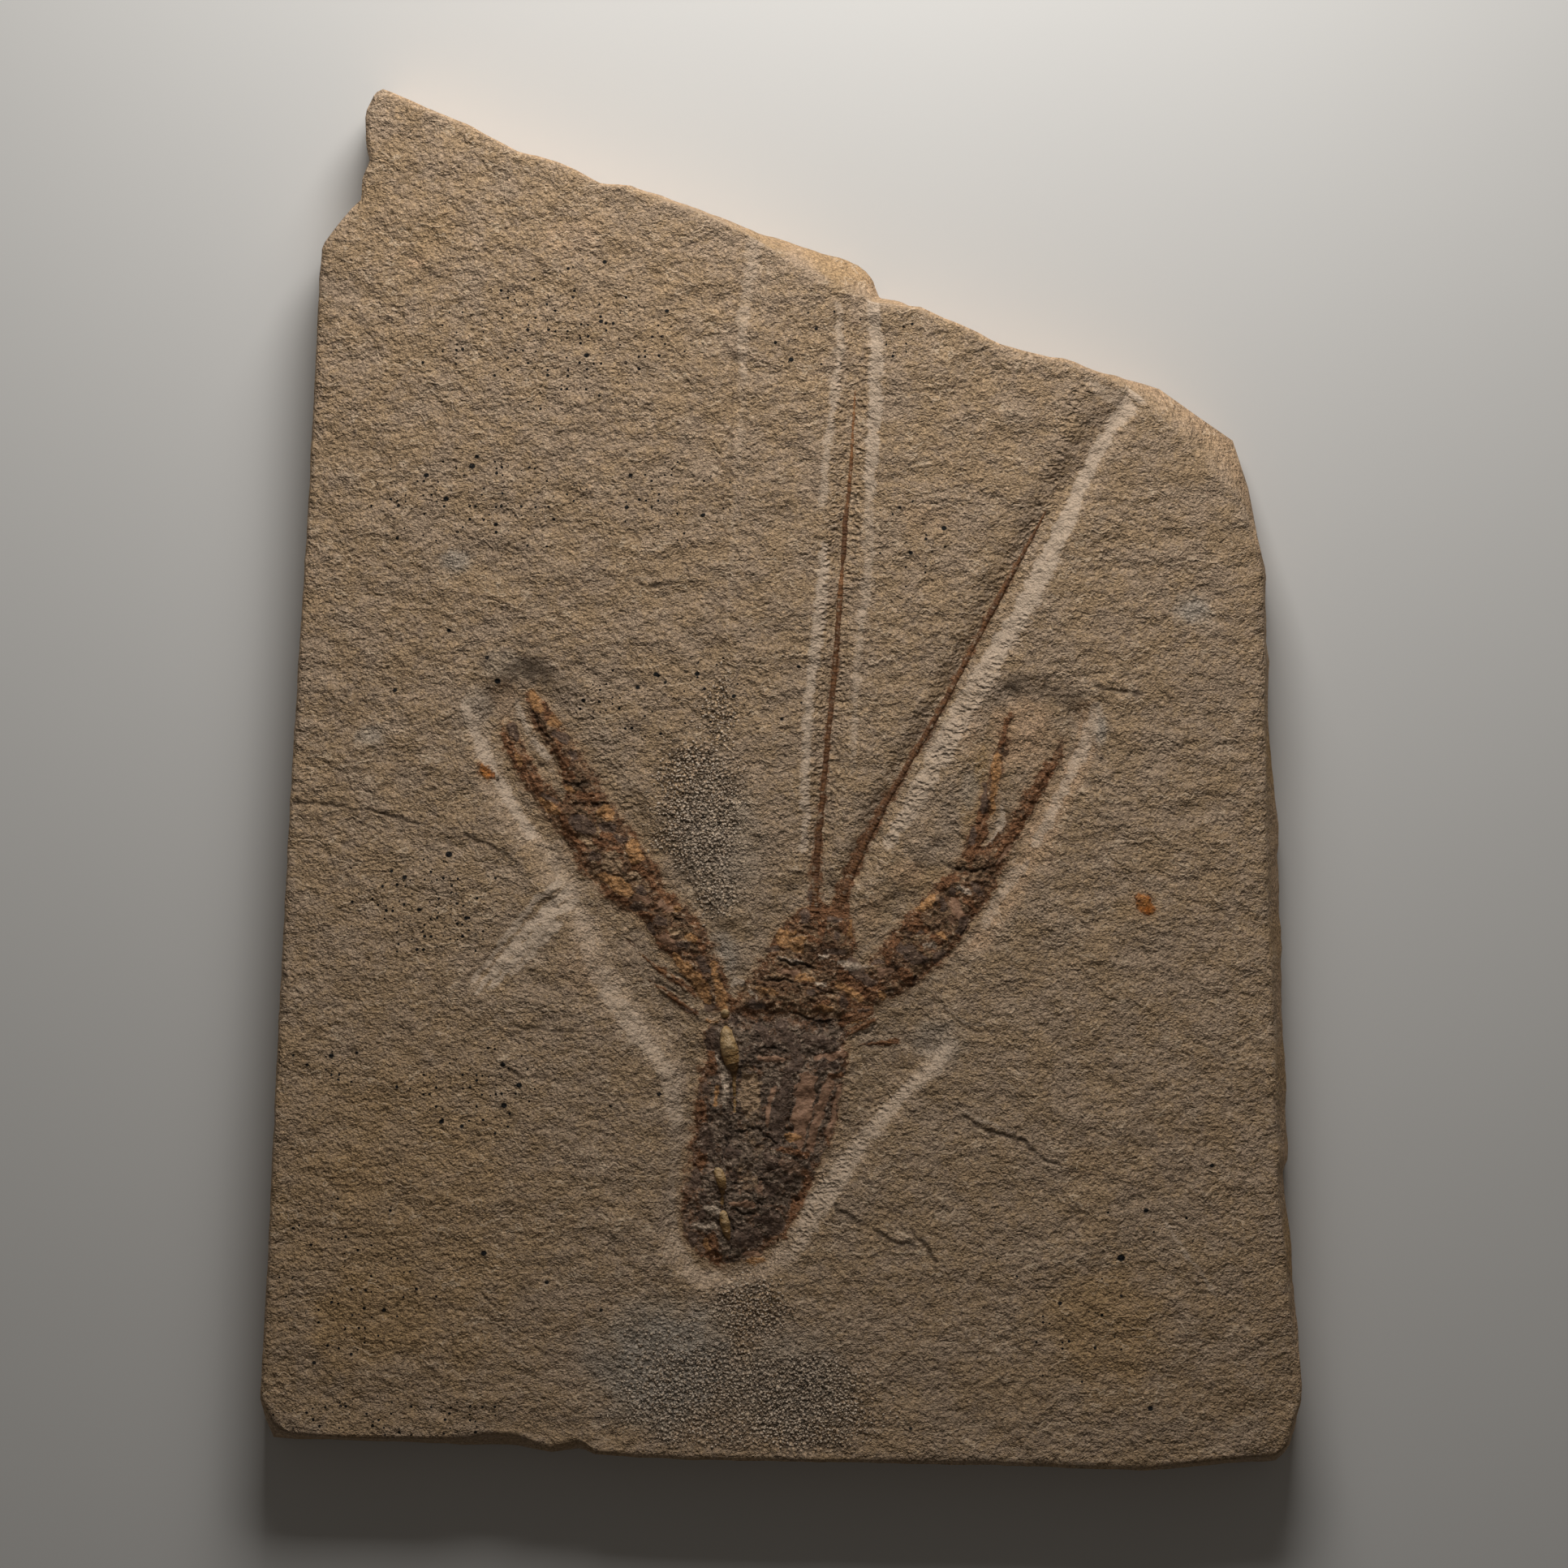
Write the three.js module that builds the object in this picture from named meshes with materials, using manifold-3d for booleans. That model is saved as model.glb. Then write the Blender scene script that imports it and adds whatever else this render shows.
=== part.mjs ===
// A fossil lobster on its slab of limestone.
//
// The slab lies flat with the fossil face up. Units are millimetres and +Z is up. The origin is on the
// flat underside, under the middle of the outline; +Y runs from the lobster's tail end towards its
// antennae, and +X to its right. The slab has sawn left and lower edges and broken upper and right edges.
// A hollow has been worked down round the animal, and a channel along each antenna. Each fossil piece is
// bedded in a flat-bottomed pocket in that hollow.

import * as THREE from "three";
import { mergeVertices } from "three/addons/utils/BufferGeometryUtils.js";
import Module from "manifold-3d";

const wasm = await Module();
wasm.setup();

// ---- Driving dimensions -----------------------------------------------------------------------------

const FACE_HEIGHT = 15; // the slab's thickness, up to its natural bedding face
const HOLLOW_FLOOR = 13.4; // the worked floor round the animal
const BED_HEIGHT = 12.4; // the flat bed under every fossil piece
const SEAM_BED = 14; // the calcite seam lies in a groove of the carapace, above the bed
const FIT_GAP = 0.3; // clear space round a piece in its pocket
const CUTTER_TOP = 18; // cutting solids end well above the face
const CUTTER_LIFT = 2.53; // height of the solid that cuts the hollow; its sides keep their slope throughout
const BLANK = [-106, -139, 106, 139]; // the sheet that the face is shaped on, wider than the slab

const FACE_PITCH = 7.2; // spacing of the facets of the bedding face
const FACE_SWELL = 0.3; // how far the face rises and falls over the slab
const FACE_LUMP = 0.3; // how far single lumps of the face rise and fall
const FACET_WANDER = 0.3; // facet corners wander by this share of their pitch
const UNDERSIDE_CHAMFER = 1.1; // broken arris along the underside

const SAWN_INSET = 1.3; // where the face's edge lies no further inside than this, the edge is sawn
const SAWN_FOOT = 14; // a sawn edge is upright up to here
const BROKEN_FOOT = 5; // a broken edge slopes from the face down to here
const CHAMFER_TOP = 1.4; // height of the arris along the underside
const EDGE_WANDER = 0.9; // how far the foot of a broken edge rises and falls
const CHAMFER_WANDER = 0.4; // how far that arris rises and falls

// ---- Outlines ---------------------------------------------------------------------------------------

// Edge of the slab, anticlockwise from the lower left corner. Each point is [x, y, how far inside the
// edge of the face lies].
const LOWER_EDGE = [
  [-98, -126.9, 2.6], [-94.1, -127.2, 2], [-82.3, -127.4, 1.3], [-61.5, -128.2, 2], [-56, -128.3, 3.1],
  [-51, -128.5, 3], [-44, -128.9, 1], [-38.6, -128.9, 2.4], [-36.1, -129.4, 0.8], [-19.8, -130.3, 0.6],
  [5.1, -130.8, 0.6], [38.5, -131.4, 0.9], [70.4, -132.4, 0.7], [89.1, -131.6, 1.8], [95, -131.4, 1.9],
  [96.5, -130.5, 2],
];
const RIGHT_EDGE = [
  [98.1, -128.3, 1.6], [99.8, -119.3, 0.7], [100, -115.6, 0.8], [99.5, -110.4, 1.2], [99.3, -101.4, 2.1],
  [98.7, -95.5, 2.1], [98.5, -89.6, 2.2], [97.3, -80.7, 2.2], [97, -75.5, 2.1], [97.8, -73.3, 2.6],
  [97.5, -62.9, 3], [97.6, -58.4, 3], [96.8, -46.2, 2.7], [96.5, -39.2, 2.6], [96.7, -32.4, 3.4],
  [96.1, -23.4, 3.2], [95.9, -8, 3.3], [95.6, -2.5, 3], [94.8, 1.7, 2.2], [93.9, 13.5, 1.5],
  [94.2, 21.7, 1.4], [93.6, 26.7, 1.3], [93.6, 40.2, 1.4], [91.9, 43.7, 1.2], [91.1, 51.6, 2.2],
  [90, 57.3, 4.6], [88.8, 61.5, 6.6],
];
const UPPER_EDGE = [
  [87.2, 65.6, 7.4], [85.5, 67.4, 7.2], [80.8, 70.1, 6.6], [77.9, 72.3, 6], [74.1, 74.4, 5],
  [72.4, 76.2, 4.5], [69, 76.6, 3], [66, 77.7, 2], [61.5, 78.2, 1.2], [55.6, 80.4, 0.9],
  [46.6, 82.4, 0.9], [41.5, 83.8, 0.9], [37.7, 86, 0.9], [26.6, 90.8, 1], [18.9, 93.3, 2.2],
  [17.8, 96.4, 5.6], [16.6, 98.1, 6.4], [14.7, 99.5, 6.6], [11.8, 100.9, 6.4], [8.8, 101.5, 5.2],
  [1.4, 104.1, 4.2], [-4.5, 105.7, 2.2], [-15.7, 110.2, 1.5], [-29.6, 114.3, 1], [-34.7, 114.7, 0.9],
  [-42, 118.3, 0.8], [-50.4, 120.6, 0.8], [-58.7, 125.1, 0.8], [-71.9, 130.7, 0.9],
];
const LEFT_EDGE = [
  [-76.4, 132.4, 1], [-77.8, 131.7, 1], [-79.8, 128, 0.9], [-79.8, 122, 0.8], [-78.9, 118.8, 0.8],
  [-80.6, 114.7, 0.9], [-80.7, 111.3, 0.9], [-84.9, 106.8, 0.9], [-88.1, 102.3, 0.7], [-88.5, 98.1, 0.4],
  [-90.7, 53.6, 0.4], [-93.5, 9.3, 0.4], [-96.8, -52.8, 0.4], [-98.5, -90.9, 0.5], [-100, -118.7, 0.7],
  [-99.2, -125, 2],
];

// The hollow worked round the animal: each row is [x, y of the floor's edge, x, y of the rim], anticlockwise.
const HOLLOW = [
  [-9, -95, -9.5, -98.5], [-1.5, -91.5, 2.5, -94], [4, -81, 8.4, -83.5], [7.3, -74, 12.2, -78.3],
  [13.9, -68.4, 18.3, -69.9], [21, -60.8, 22.6, -63.4], [25.9, -55.4, 28.1, -57.6], [29, -51, 33.5, -50.8],
  [27, -46, 32.4, -45], [30, -38.5, 35, -40], [36, -30, 40.5, -33], [42, -21, 46.5, -24],
  [47, -10, 52, -12], [53, 0, 58, -1], [57, 8.5, 62, 8], [56, 13, 60, 17],
  [47, 17, 48, 21.5], [41, 15, 37.5, 18], [38.5, 6, 34, 6], [35.5, -4, 31.5, -3],
  [31, -13.5, 27.5, -12], [24, -22, 21, -20.5], [17.5, -27.5, 16.6, -23], [11, -20.5, 10.8, -16],
  [4, -20.5, 3.6, -16], [-2, -25.5, -4.5, -22], [-6.5, -31, -8.6, -27.5], [-12.5, -28, -12.5, -24.2],
  [-19, -19.5, -16, -17], [-25, -10.5, -21.5, -8.5], [-32, -0.5, -28.5, 1.5], [-38, 9.5, -34, 11.5],
  [-43.5, 17.5, -41, 21.5], [-49.5, 20.5, -50, 25], [-55.5, 14.5, -59.5, 17], [-56, 8.5, -61, 7],
  [-52.5, -0.5, -57.5, -3.5], [-46, -10.5, -51, -14], [-38.5, -20.5, -43, -24.5], [-33, -32, -38, -35],
  [-30.5, -38, -35.5, -41.5], [-25.5, -45, -30, -49], [-19.5, -51, -23.5, -55.5], [-18, -60, -22, -63],
  [-18.8, -71, -22.5, -72], [-20.5, -82, -24.5, -82], [-19.5, -89, -23, -92], [-14.5, -94.3, -17, -98],
];

const CARAPACE_OUTLINE = [
  [-10.3, -45], [-12.3, -46.2], [-14.5, -47.6], [-14.5, -52.4], [-15.1, -55.9], [-16.4, -62.4],
  [-16.5, -66.9], [-17.8, -76.1], [-18.9, -79.8], [-19.2, -83.4], [-18.5, -87], [-16.5, -89.9],
  [-13.7, -92.6], [-10.8, -93.2], [-7.3, -92.3], [-3.3, -90.5], [-1, -88.5], [1.5, -84.2],
  [3.5, -81.1], [5.2, -77.6], [7.9, -72.3], [9.3, -68.9], [10.2, -64.6], [11.9, -58.2],
  [12.2, -53.1], [12.7, -45.9], [5.7, -45.4], [-5.2, -45.2],
];
const HEAD_OUTLINE = [
  [4.8, -24.1], [3.2, -25.7], [-0.8, -28.7], [-2.1, -32.8], [-4.5, -35.8], [-6.9, -38.8],
  [-8.6, -41.6], [-9.4, -44.2], [-5.2, -44.8], [5.7, -44.95], [12.7, -45.4], [13.5, -41.6],
  [13.3, -37.2], [14, -31.4], [13.8, -27.3], [11.4, -24], [7.6, -24.6],
];
const LEFT_CLAW_OUTLINE = [
  [-48.2, 17.8], [-49, 15.4], [-47.9, 11.6], [-46.2, 8.2], [-43.6, 4.3], [-42.5, 1.7],
  [-41.2, -2.7], [-42, -4.9], [-44, -2.8], [-46.1, 0.6], [-47.9, 3.4], [-49.8, 6.5],
  [-51, 9.8], [-52.8, 11.9], [-53.8, 9.4], [-52.6, 4.8], [-50.3, 1.2], [-45.1, -6.6],
  [-42, -10.8], [-39.7, -15.1], [-34.7, -21.3], [-32.1, -23.7], [-26.9, -26.5], [-25.7, -29.1],
  [-21.3, -33.9], [-19.2, -36.1], [-15.1, -42.2], [-12.4, -44.6], [-10.6, -42.6], [-10.5, -40.2],
  [-11.1, -37], [-14, -31.4], [-15.1, -27.9], [-19.2, -23.7], [-23.1, -20.1], [-23.7, -17],
  [-28.7, -10.3], [-34.1, -2.8], [-38.4, 5.1], [-42.5, 10.5], [-46.2, 15.4],
];
const RIGHT_CLAW_OUTLINE = [
  [44, 13.8], [42.1, 8.7], [39, -2.2], [35.6, -12.3], [34.3, -15.7], [30, -20.1],
  [25.9, -24.1], [20.2, -30.7], [15.4, -36.5], [14.4, -39.5], [15.2, -42.4], [17.8, -43.4],
  [23.3, -40.6], [29.4, -36.1], [33.5, -31.9], [36.5, -26.9], [40.2, -21.8], [43.7, -13.6],
  [49.9, -2.4], [52.1, 1.4], [53.6, 4.8], [54.2, 7.6], [53.1, 7], [48, -0.8],
  [43, -8.9], [40.2, -12], [37.9, -13.6], [38.7, -9.5], [41.9, 1.2], [43.8, 9.4],
];

// Slender pieces and worked channels follow a line of stations.
// Antennae and legs: [x, y, half width, height above the bed].
const LEFT_ANTENNA = [
  [13.8, 72.9, 0.35, 1.7], [13.5, 62.3, 0.45, 1.8], [12.4, 49.9, 0.55, 1.9], [11.5, 37.4, 0.6, 1.9],
  [10.7, 28.1, 0.6, 1.9], [9.8, 17.2, 0.6, 1.9], [8.7, 6.3, 0.65, 1.8], [7.6, -6.1, 0.75, 1.8],
  [6.6, -16, 0.9, 1.7], [6.3, -22.4, 1.2, 1.6],
];
const RIGHT_ANTENNA = [
  [49.7, 49.6, 0.35, 1.7], [46.5, 43.7, 0.45, 1.8], [42.3, 36.2, 0.6, 1.9], [37.9, 27.8, 0.65, 1.9],
  [33.7, 19.6, 0.65, 1.9], [29, 11, 0.65, 1.9], [23.9, 2.4, 0.7, 1.8], [19.7, -4.9, 0.8, 1.8],
  [15.8, -12.3, 0.95, 1.7], [12.2, -21, 1.2, 1.6],
];
const LEFT_LEG_FRONT = [
  [-30.1, -30, 0.5, 1.4], [-27.2, -33.2, 0.8, 1.8], [-24.2, -35.9, 0.9, 2], [-21, -38.3, 0.8, 1.9],
  [-18.6, -40.3, 0.6, 1.6],
];
const LEFT_LEG_REAR = [
  [-26.2, -37.8, 0.5, 1.4], [-23.1, -40.2, 0.8, 1.8], [-20.3, -42.5, 0.9, 2], [-16, -45.3, 0.7, 1.6],
];
const RIGHT_LEG_FRONT = [[13.9, -48.4, 0.7, 1.7], [15.7, -47.2, 0.9, 2], [18.8, -45.2, 0.5, 1.5]];
const RIGHT_LEG_REAR = [[15.6, -50.8, 0.6, 1.5], [19.1, -50.3, 0.9, 1.8], [23.1, -50.7, 0.5, 1.4]];

// The seam of calcite beads: [x, y, half width, height above the groove].
const CALCITE_SEAM = [
  [-10.5, -46.4, 0.5, 0.8], [-9.6, -48.6, 1.1, 1.7], [-8.9, -52.3, 1.2, 2.1], [-8.7, -55.2, 0.5, 1.2],
  [-8.5, -57.7, 0.9, 1.6], [-9.6, -61, 0.4, 1], [-10.6, -68.3, 0.35, 0.9], [-12, -73.4, 0.4, 0.9],
  [-12, -76.2, 1.1, 1.9], [-11.6, -78.8, 0.6, 1.3], [-11.9, -82, 0.5, 1.1], [-11.2, -85.4, 1.2, 2],
  [-10.8, -88.2, 0.5, 1.1], [-11.2, -90.6, 0.35, 0.8],
];

// Worked channels: [x, y, rim on the left of the line, rim on its right], with the line running away from
// the animal.
const LEFT_ANTENNA_CHANNEL = [
  [6.2, -18, 3.4, 3], [7.6, -6.1, 3.6, 3.2], [9.8, 17.2, 3.8, 3.4], [11.5, 37.4, 4, 4.2],
  [13.5, 62.3, 4.2, 5.4], [14.2, 82.5, 4, 5], [14.8, 96, 4, 5],
];
const RIGHT_ANTENNA_CHANNEL = [
  [13.4, -18, 3.2, 3.6], [19.7, -4.9, 3.6, 5.6], [29, 11, 4, 6.6], [37.9, 27.8, 4.2, 6.8],
  [49.7, 49.6, 4.6, 6.4], [58.6, 62.3, 5, 5.6], [70, 79.5, 5, 5],
];
const ANTENNA_IMPRINT = [
  [-12.3, 12, 1.6, 1.6], [-12, 25, 2.2, 2.2], [-9.8, 56.1, 2.6, 2.4], [-8.9, 68.5, 2, 2],
  [-8, 81.4, 1.8, 1.8], [-6.4, 95, 2.4, 2.4], [-3.8, 108, 2.8, 2.8],
];
const SCRAPE = [[-58.8, -39, 1, 1], [-53.7, -32.8, 3.2, 2], [-49, -27.9, 3.4, 2.4], [-43.4, -23.5, 2.4, 2.4]];
const CHANNELS = [
  { line: LEFT_ANTENNA_CHANNEL, depth: 1.3, floorHalf: 1.6 },
  { line: RIGHT_ANTENNA_CHANNEL, depth: 1.4, floorHalf: 1.8 },
  { line: ANTENNA_IMPRINT, depth: 0.7, floorHalf: 0.8 },
  { line: SCRAPE, depth: 0.7, floorHalf: 0.8 },
];

// Loose scraps of shell, as outlines.
const RIGHT_SHELL_CHIP = [[67.6, -22.9], [68.5, -25.3], [71, -25.4], [71.4, -23.6], [69.8, -22.1]];
const LEFT_SHELL_CHIP = [[-57.6, 3.3], [-57.2, 0.9], [-54.9, 0.4], [-55.9, 2.3]];
const CHIP_BED = 14.1;
const CHIP_TOP = 15.1;

// Swellings and dips of the fossil pieces: [x, y, radius, height].
const CARAPACE_LUMPS = [
  [-6, -74.5, 3.2, 0.7], [-9, -80.7, 2.6, 0.5], [-3.6, -83.8, 2.8, 0.6], [1.8, -74.5, 2.8, 0.6],
  [-5.2, -88.5, 3.2, 0.3], [-0.5, -78.4, 2, -0.9], [-2, -68.3, 3.2, 0.4], [-4.5, -57, 4.2, -0.5],
  [-13.8, -84, 3, 0.4], [2, -49, 3.4, 0.5], [9.4, -50.6, 2.8, -0.5], [-14.6, -60, 2.2, -0.4],
];
const HEAD_LUMPS = [
  [6, -29, 3.2, 0.8], [11.5, -30, 2.8, 0.7], [0.4, -34.5, 3.4, 0.5], [8, -37, 2.6, -0.5],
  [-4.4, -40.5, 2.6, 0.6], [4, -42.3, 3, -0.6], [11.4, -42, 2.4, 0.6],
];
const CLAW_LUMPS = [
  [-36, -11, 5, 0.6], [-29, -19, 4, 0.3], [-21.5, -26.5, 2.6, -0.4], [-17.5, -31.5, 2.6, 0.5],
  [-46, 8.5, 2.4, 0.3], [36.5, -20, 3.8, 0.6], [31.5, -26.5, 2.8, -0.4], [24.5, -33.5, 3.6, 0.5],
  [18.4, -39.4, 2.4, -0.3],
];

// ---- Number and shape helpers -----------------------------------------------------------------------

const clamp01 = (t) => Math.min(1, Math.max(0, t));
const smooth = (t) => clamp01(t) ** 2 * (3 - 2 * clamp01(t));

/** A repeatable number from -1 to 1 for a pair of whole numbers. */
function jitter(i, j) {
  const s = Math.sin(i * 127.1 + j * 311.7) * 43758.5453;
  return 2 * (s - Math.floor(s)) - 1;
}

/** Distance from a point to the edge of an outline. */
function edgeDistance(x, y, outline) {
  let nearest = Infinity;
  outline.forEach(([ax, ay], i) => {
    const [bx, by] = outline[(i + 1) % outline.length];
    const along = ((x - ax) * (bx - ax) + (y - ay) * (by - ay)) / ((bx - ax) ** 2 + (by - ay) ** 2);
    const t = clamp01(along);
    nearest = Math.min(nearest, Math.hypot(x - ax - t * (bx - ax), y - ay - t * (by - ay)));
  });
  return nearest;
}

/** Sum of the round swellings at a point. */
function lumps(x, y, list) {
  const lump = ([cx, cy, r, h]) => h * Math.exp(-((x - cx) ** 2 + (y - cy) ** 2) / (r * r));
  return list.reduce((sum, each) => sum + lump(each), 0);
}

/** Moves the edges of an anticlockwise outline inwards by an amount, or by one amount for each point. */
function inset(outline, amount) {
  const count = outline.length;
  const inward = outline.map(([x, y], i) => {
    const [nx, ny] = outline[(i + 1) % count];
    const length = Math.hypot(nx - x, ny - y);
    return [-(ny - y) / length, (nx - x) / length];
  });
  return outline.map(([x, y], i) => {
    const [[ax, ay], [bx, by]] = [inward[(i + count - 1) % count], inward[i]];
    const move = (typeof amount === "number" ? amount : amount[i]) / (1 + ax * bx + ay * by);
    return [x + (ax + bx) * move, y + (ay + by) * move];
  });
}

/** Turns a three.js geometry into a manifold-3d solid. */
function solid(geometry) {
  const plain = new THREE.BufferGeometry();
  plain.setAttribute("position", geometry.getAttribute("position"));
  if (geometry.index) plain.setIndex(geometry.index);
  const merged = mergeVertices(plain, 1e-4);
  return new wasm.Manifold(
    new wasm.Mesh({
      numProp: 3,
      vertProperties: new Float32Array(merged.attributes.position.array),
      triVerts: new Uint32Array(merged.index.array),
    }),
  );
}

/** Builds a geometry from points and triangles. */
function meshOf(points, triangles) {
  const geometry = new THREE.BufferGeometry();
  geometry.setAttribute("position", new THREE.Float32BufferAttribute(points.flat(), 3));
  geometry.setIndex(triangles.flat());
  return geometry;
}

/** A solid through closed loops of equal length, lowest first. A hub is the middle of both ends. */
function loft(loops, hub) {
  const count = loops[0].length;
  const points = loops.flat();
  const triangles = [];
  loops.slice(1).forEach((_, level) => {
    for (let i = 0; i < count; i++) {
      const [a, b] = [level * count + i, level * count + ((i + 1) % count)];
      triangles.push([a, b, b + count], [a, b + count, a + count]);
    }
  });
  const capOf = (loop, start) => {
    if (!hub) {
      const flat = loop.map(([x, y]) => new THREE.Vector2(x, y));
      return THREE.ShapeUtils.triangulateShape(flat, []).map((t) => t.map((k) => k + start));
    }
    points.push([...hub, loop[0][2]]);
    const middle = points.length - 1;
    return loop.map((_, i) => [start + i, start + ((i + 1) % count), middle]);
  };
  for (const t of capOf(loops[0], 0)) triangles.push(t.reverse());
  triangles.push(...capOf(loops.at(-1), (loops.length - 1) * count));
  return solid(meshOf(points, triangles));
}

/** An upright prism over an outline. */
function prism(outline, bottom, top) {
  const shape = new THREE.Shape(outline.map(([x, y]) => new THREE.Vector2(x, y)));
  const geometry = new THREE.ExtrudeGeometry(shape, { depth: top - bottom, bevelEnabled: false });
  return solid(geometry.translate(0, 0, bottom));
}

/** A block over a rectangle whose top follows a height function, in facets of about the given pitch. */
function block([x0, y0, x1, y1], pitch, heightAt, bottom) {
  const columns = Math.ceil((x1 - x0) / pitch);
  const rows = Math.ceil((y1 - y0) / pitch);
  const box = new THREE.BoxGeometry(1, 1, 1, columns, rows, 1);
  box.translate(0.5, 0.5, 0.5);
  const position = box.getAttribute("position");
  for (let k = 0; k < position.count; k++) {
    const [u, v] = [position.getX(k), position.getY(k)];
    const [i, j] = [Math.round(u * columns), Math.round(v * rows)];
    const wander = i % columns && j % rows ? FACET_WANDER * pitch : 0;
    const x = x0 + (x1 - x0) * u + wander * jitter(i, j);
    const y = y0 + (y1 - y0) * v + wander * jitter(j + 57, i);
    position.setXYZ(k, x, y, position.getZ(k) > 0.5 ? heightAt(x, y) : bottom);
  }
  return solid(box);
}

/** Unit normals to the left of a line of stations. */
function leftNormals(stations) {
  return stations.map((_, i) => {
    const [ax, ay] = stations[Math.max(0, i - 1)];
    const [bx, by] = stations[Math.min(stations.length - 1, i + 1)];
    const length = Math.hypot(bx - ax, by - ay);
    return [-(by - ay) / length, (bx - ax) / length];
  });
}

/** A solid along a line of stations: sectionAt gives each one's closed section as [offset to the left, z]. */
function sweep(stations, sectionAt) {
  const normals = leftNormals(stations);
  const sections = stations.map((station, i) =>
    sectionAt(station).map(([off, z]) => [
      station[0] + normals[i][0] * off, station[1] + normals[i][1] * off, z,
    ]),
  );
  const count = sections[0].length;
  const triangles = [];
  for (let s = 0; s + 1 < sections.length; s++) {
    for (let k = 0; k < count; k++) {
      const [a, b] = [s * count + k, s * count + ((k + 1) % count)];
      triangles.push([a, a + count, b + count], [a, b + count, b]);
    }
  }
  for (let k = 1; k + 1 < count; k++) {
    triangles.push([0, k, k + 1]);
    const end = (sections.length - 1) * count;
    triangles.push([end, end + k + 1, end + k]);
  }
  const made = solid(meshOf(sections.flat(), triangles));
  return made.volume() < 0 ? solid(meshOf(sections.flat(), triangles.map((t) => t.slice().reverse()))) : made;
}

/** A rounded rib with a flat bottom, such as an antenna, along stations of [x, y, half width, height]. */
function rib(stations, bed) {
  return sweep(stations, ([, , half, height]) => [
    [-half, bed],
    [half, bed],
    [half, bed + height * 0.55],
    [half * 0.45, bed + height],
    [-half * 0.45, bed + height],
    [-half, bed + height * 0.55],
  ]);
}

/** The pocket that a rib lies in. */
function ribPocket(stations, bed) {
  return sweep(stations, ([, , half]) => [
    [-half - FIT_GAP, bed],
    [half + FIT_GAP, bed],
    [half + FIT_GAP, CUTTER_TOP],
    [-half - FIT_GAP, CUTTER_TOP],
  ]);
}

/** A worked channel with a narrow flat floor and sloping sides, as a cutting solid. */
function channel(stations, depth, floorHalf) {
  const reach = 2; // the cutter's sides go on up past the face
  return sweep(stations, ([, , left, right]) => [
    [-floorHalf, FACE_HEIGHT - depth],
    [floorHalf, FACE_HEIGHT - depth],
    [floorHalf + ((left - floorHalf) * (depth + reach)) / depth, FACE_HEIGHT + reach],
    [-floorHalf - ((right - floorHalf) * (depth + reach)) / depth, FACE_HEIGHT + reach],
  ]);
}

/** A fossil piece over an outline, flat below and crowned above. */
function bedded(outline, { pitch, edge, crown, radius, list, grain }) {
  const xs = outline.map(([x]) => x);
  const ys = outline.map(([, y]) => y);
  const box = [Math.min(...xs) - 1, Math.min(...ys) - 1, Math.max(...xs) + 1, Math.max(...ys) + 1];
  const heightAt = (x, y) => {
    const rise = smooth(edgeDistance(x, y, outline) / radius);
    const rough = grain * jitter(Math.round(x * 3), Math.round(y * 3));
    return edge + (crown - edge) * rise + lumps(x, y, list) * rise + rough;
  };
  return block(box, pitch, heightAt, BED_HEIGHT - 2).intersect(prism(outline, BED_HEIGHT, CUTTER_TOP));
}

// ---- The slab ---------------------------------------------------------------------------------------

/** Height of the natural bedding face. */
function faceHeight(x, y) {
  const swell = Math.sin(x * 0.041 + 1.3) * Math.cos(y * 0.033 - 0.4) + 0.6 * Math.sin(x * 0.023 - y * 0.052);
  const lump = jitter(Math.round(x / FACE_PITCH), Math.round(y / FACE_PITCH));
  return FACE_HEIGHT + FACE_SWELL * swell + FACE_LUMP * lump;
}

/** The slab's block from its underside to above its face, with sawn and broken edges. */
function slabBody() {
  const edge = [...LOWER_EDGE, ...RIGHT_EDGE, ...UPPER_EDGE, ...LEFT_EDGE];
  const outer = edge.map(([x, y]) => [x, y]);
  const faceEdge = inset(outer, edge.map(([, , inward]) => inward));
  const foot = edge.map(([, , inward], i) => (
    inward < SAWN_INSET ? SAWN_FOOT : BROKEN_FOOT + EDGE_WANDER * jitter(i, 3)
  ));
  return loft([
    inset(outer, UNDERSIDE_CHAMFER).map(([x, y]) => [x, y, 0]),
    outer.map(([x, y], i) => [x, y, CHAMFER_TOP + CHAMFER_WANDER * jitter(i, 11)]),
    outer.map(([x, y], i) => [x, y, foot[i]]),
    faceEdge.map(([x, y]) => [x, y, FACE_HEIGHT]),
    faceEdge.map(([x, y]) => [x, y, CUTTER_TOP]),
  ], [0, 0]);
}

/** The hollow round the animal, as a cutting solid. */
function hollowCutter() {
  const reach = CUTTER_LIFT / (FACE_HEIGHT - HOLLOW_FLOOR);
  return loft([
    HOLLOW.map(([x, y]) => [x, y, HOLLOW_FLOOR]),
    HOLLOW.map(([x, y, rx, ry]) => [x + (rx - x) * reach, y + (ry - y) * reach, HOLLOW_FLOOR + CUTTER_LIFT]),
  ]);
}

function buildSlab(pockets) {
  const face = block(BLANK, FACE_PITCH, faceHeight, -2);
  let slab = face.intersect(slabBody());
  slab = slab.subtract(hollowCutter());
  for (const { line, depth, floorHalf } of CHANNELS) {
    slab = slab.subtract(channel(line, depth, floorHalf));
  }
  return pockets.reduce((left, pocket) => left.subtract(pocket), slab);
}

// ---- The fossil pieces ------------------------------------------------------------------------------

const seamPocket = ribPocket(CALCITE_SEAM, SEAM_BED);

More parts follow.
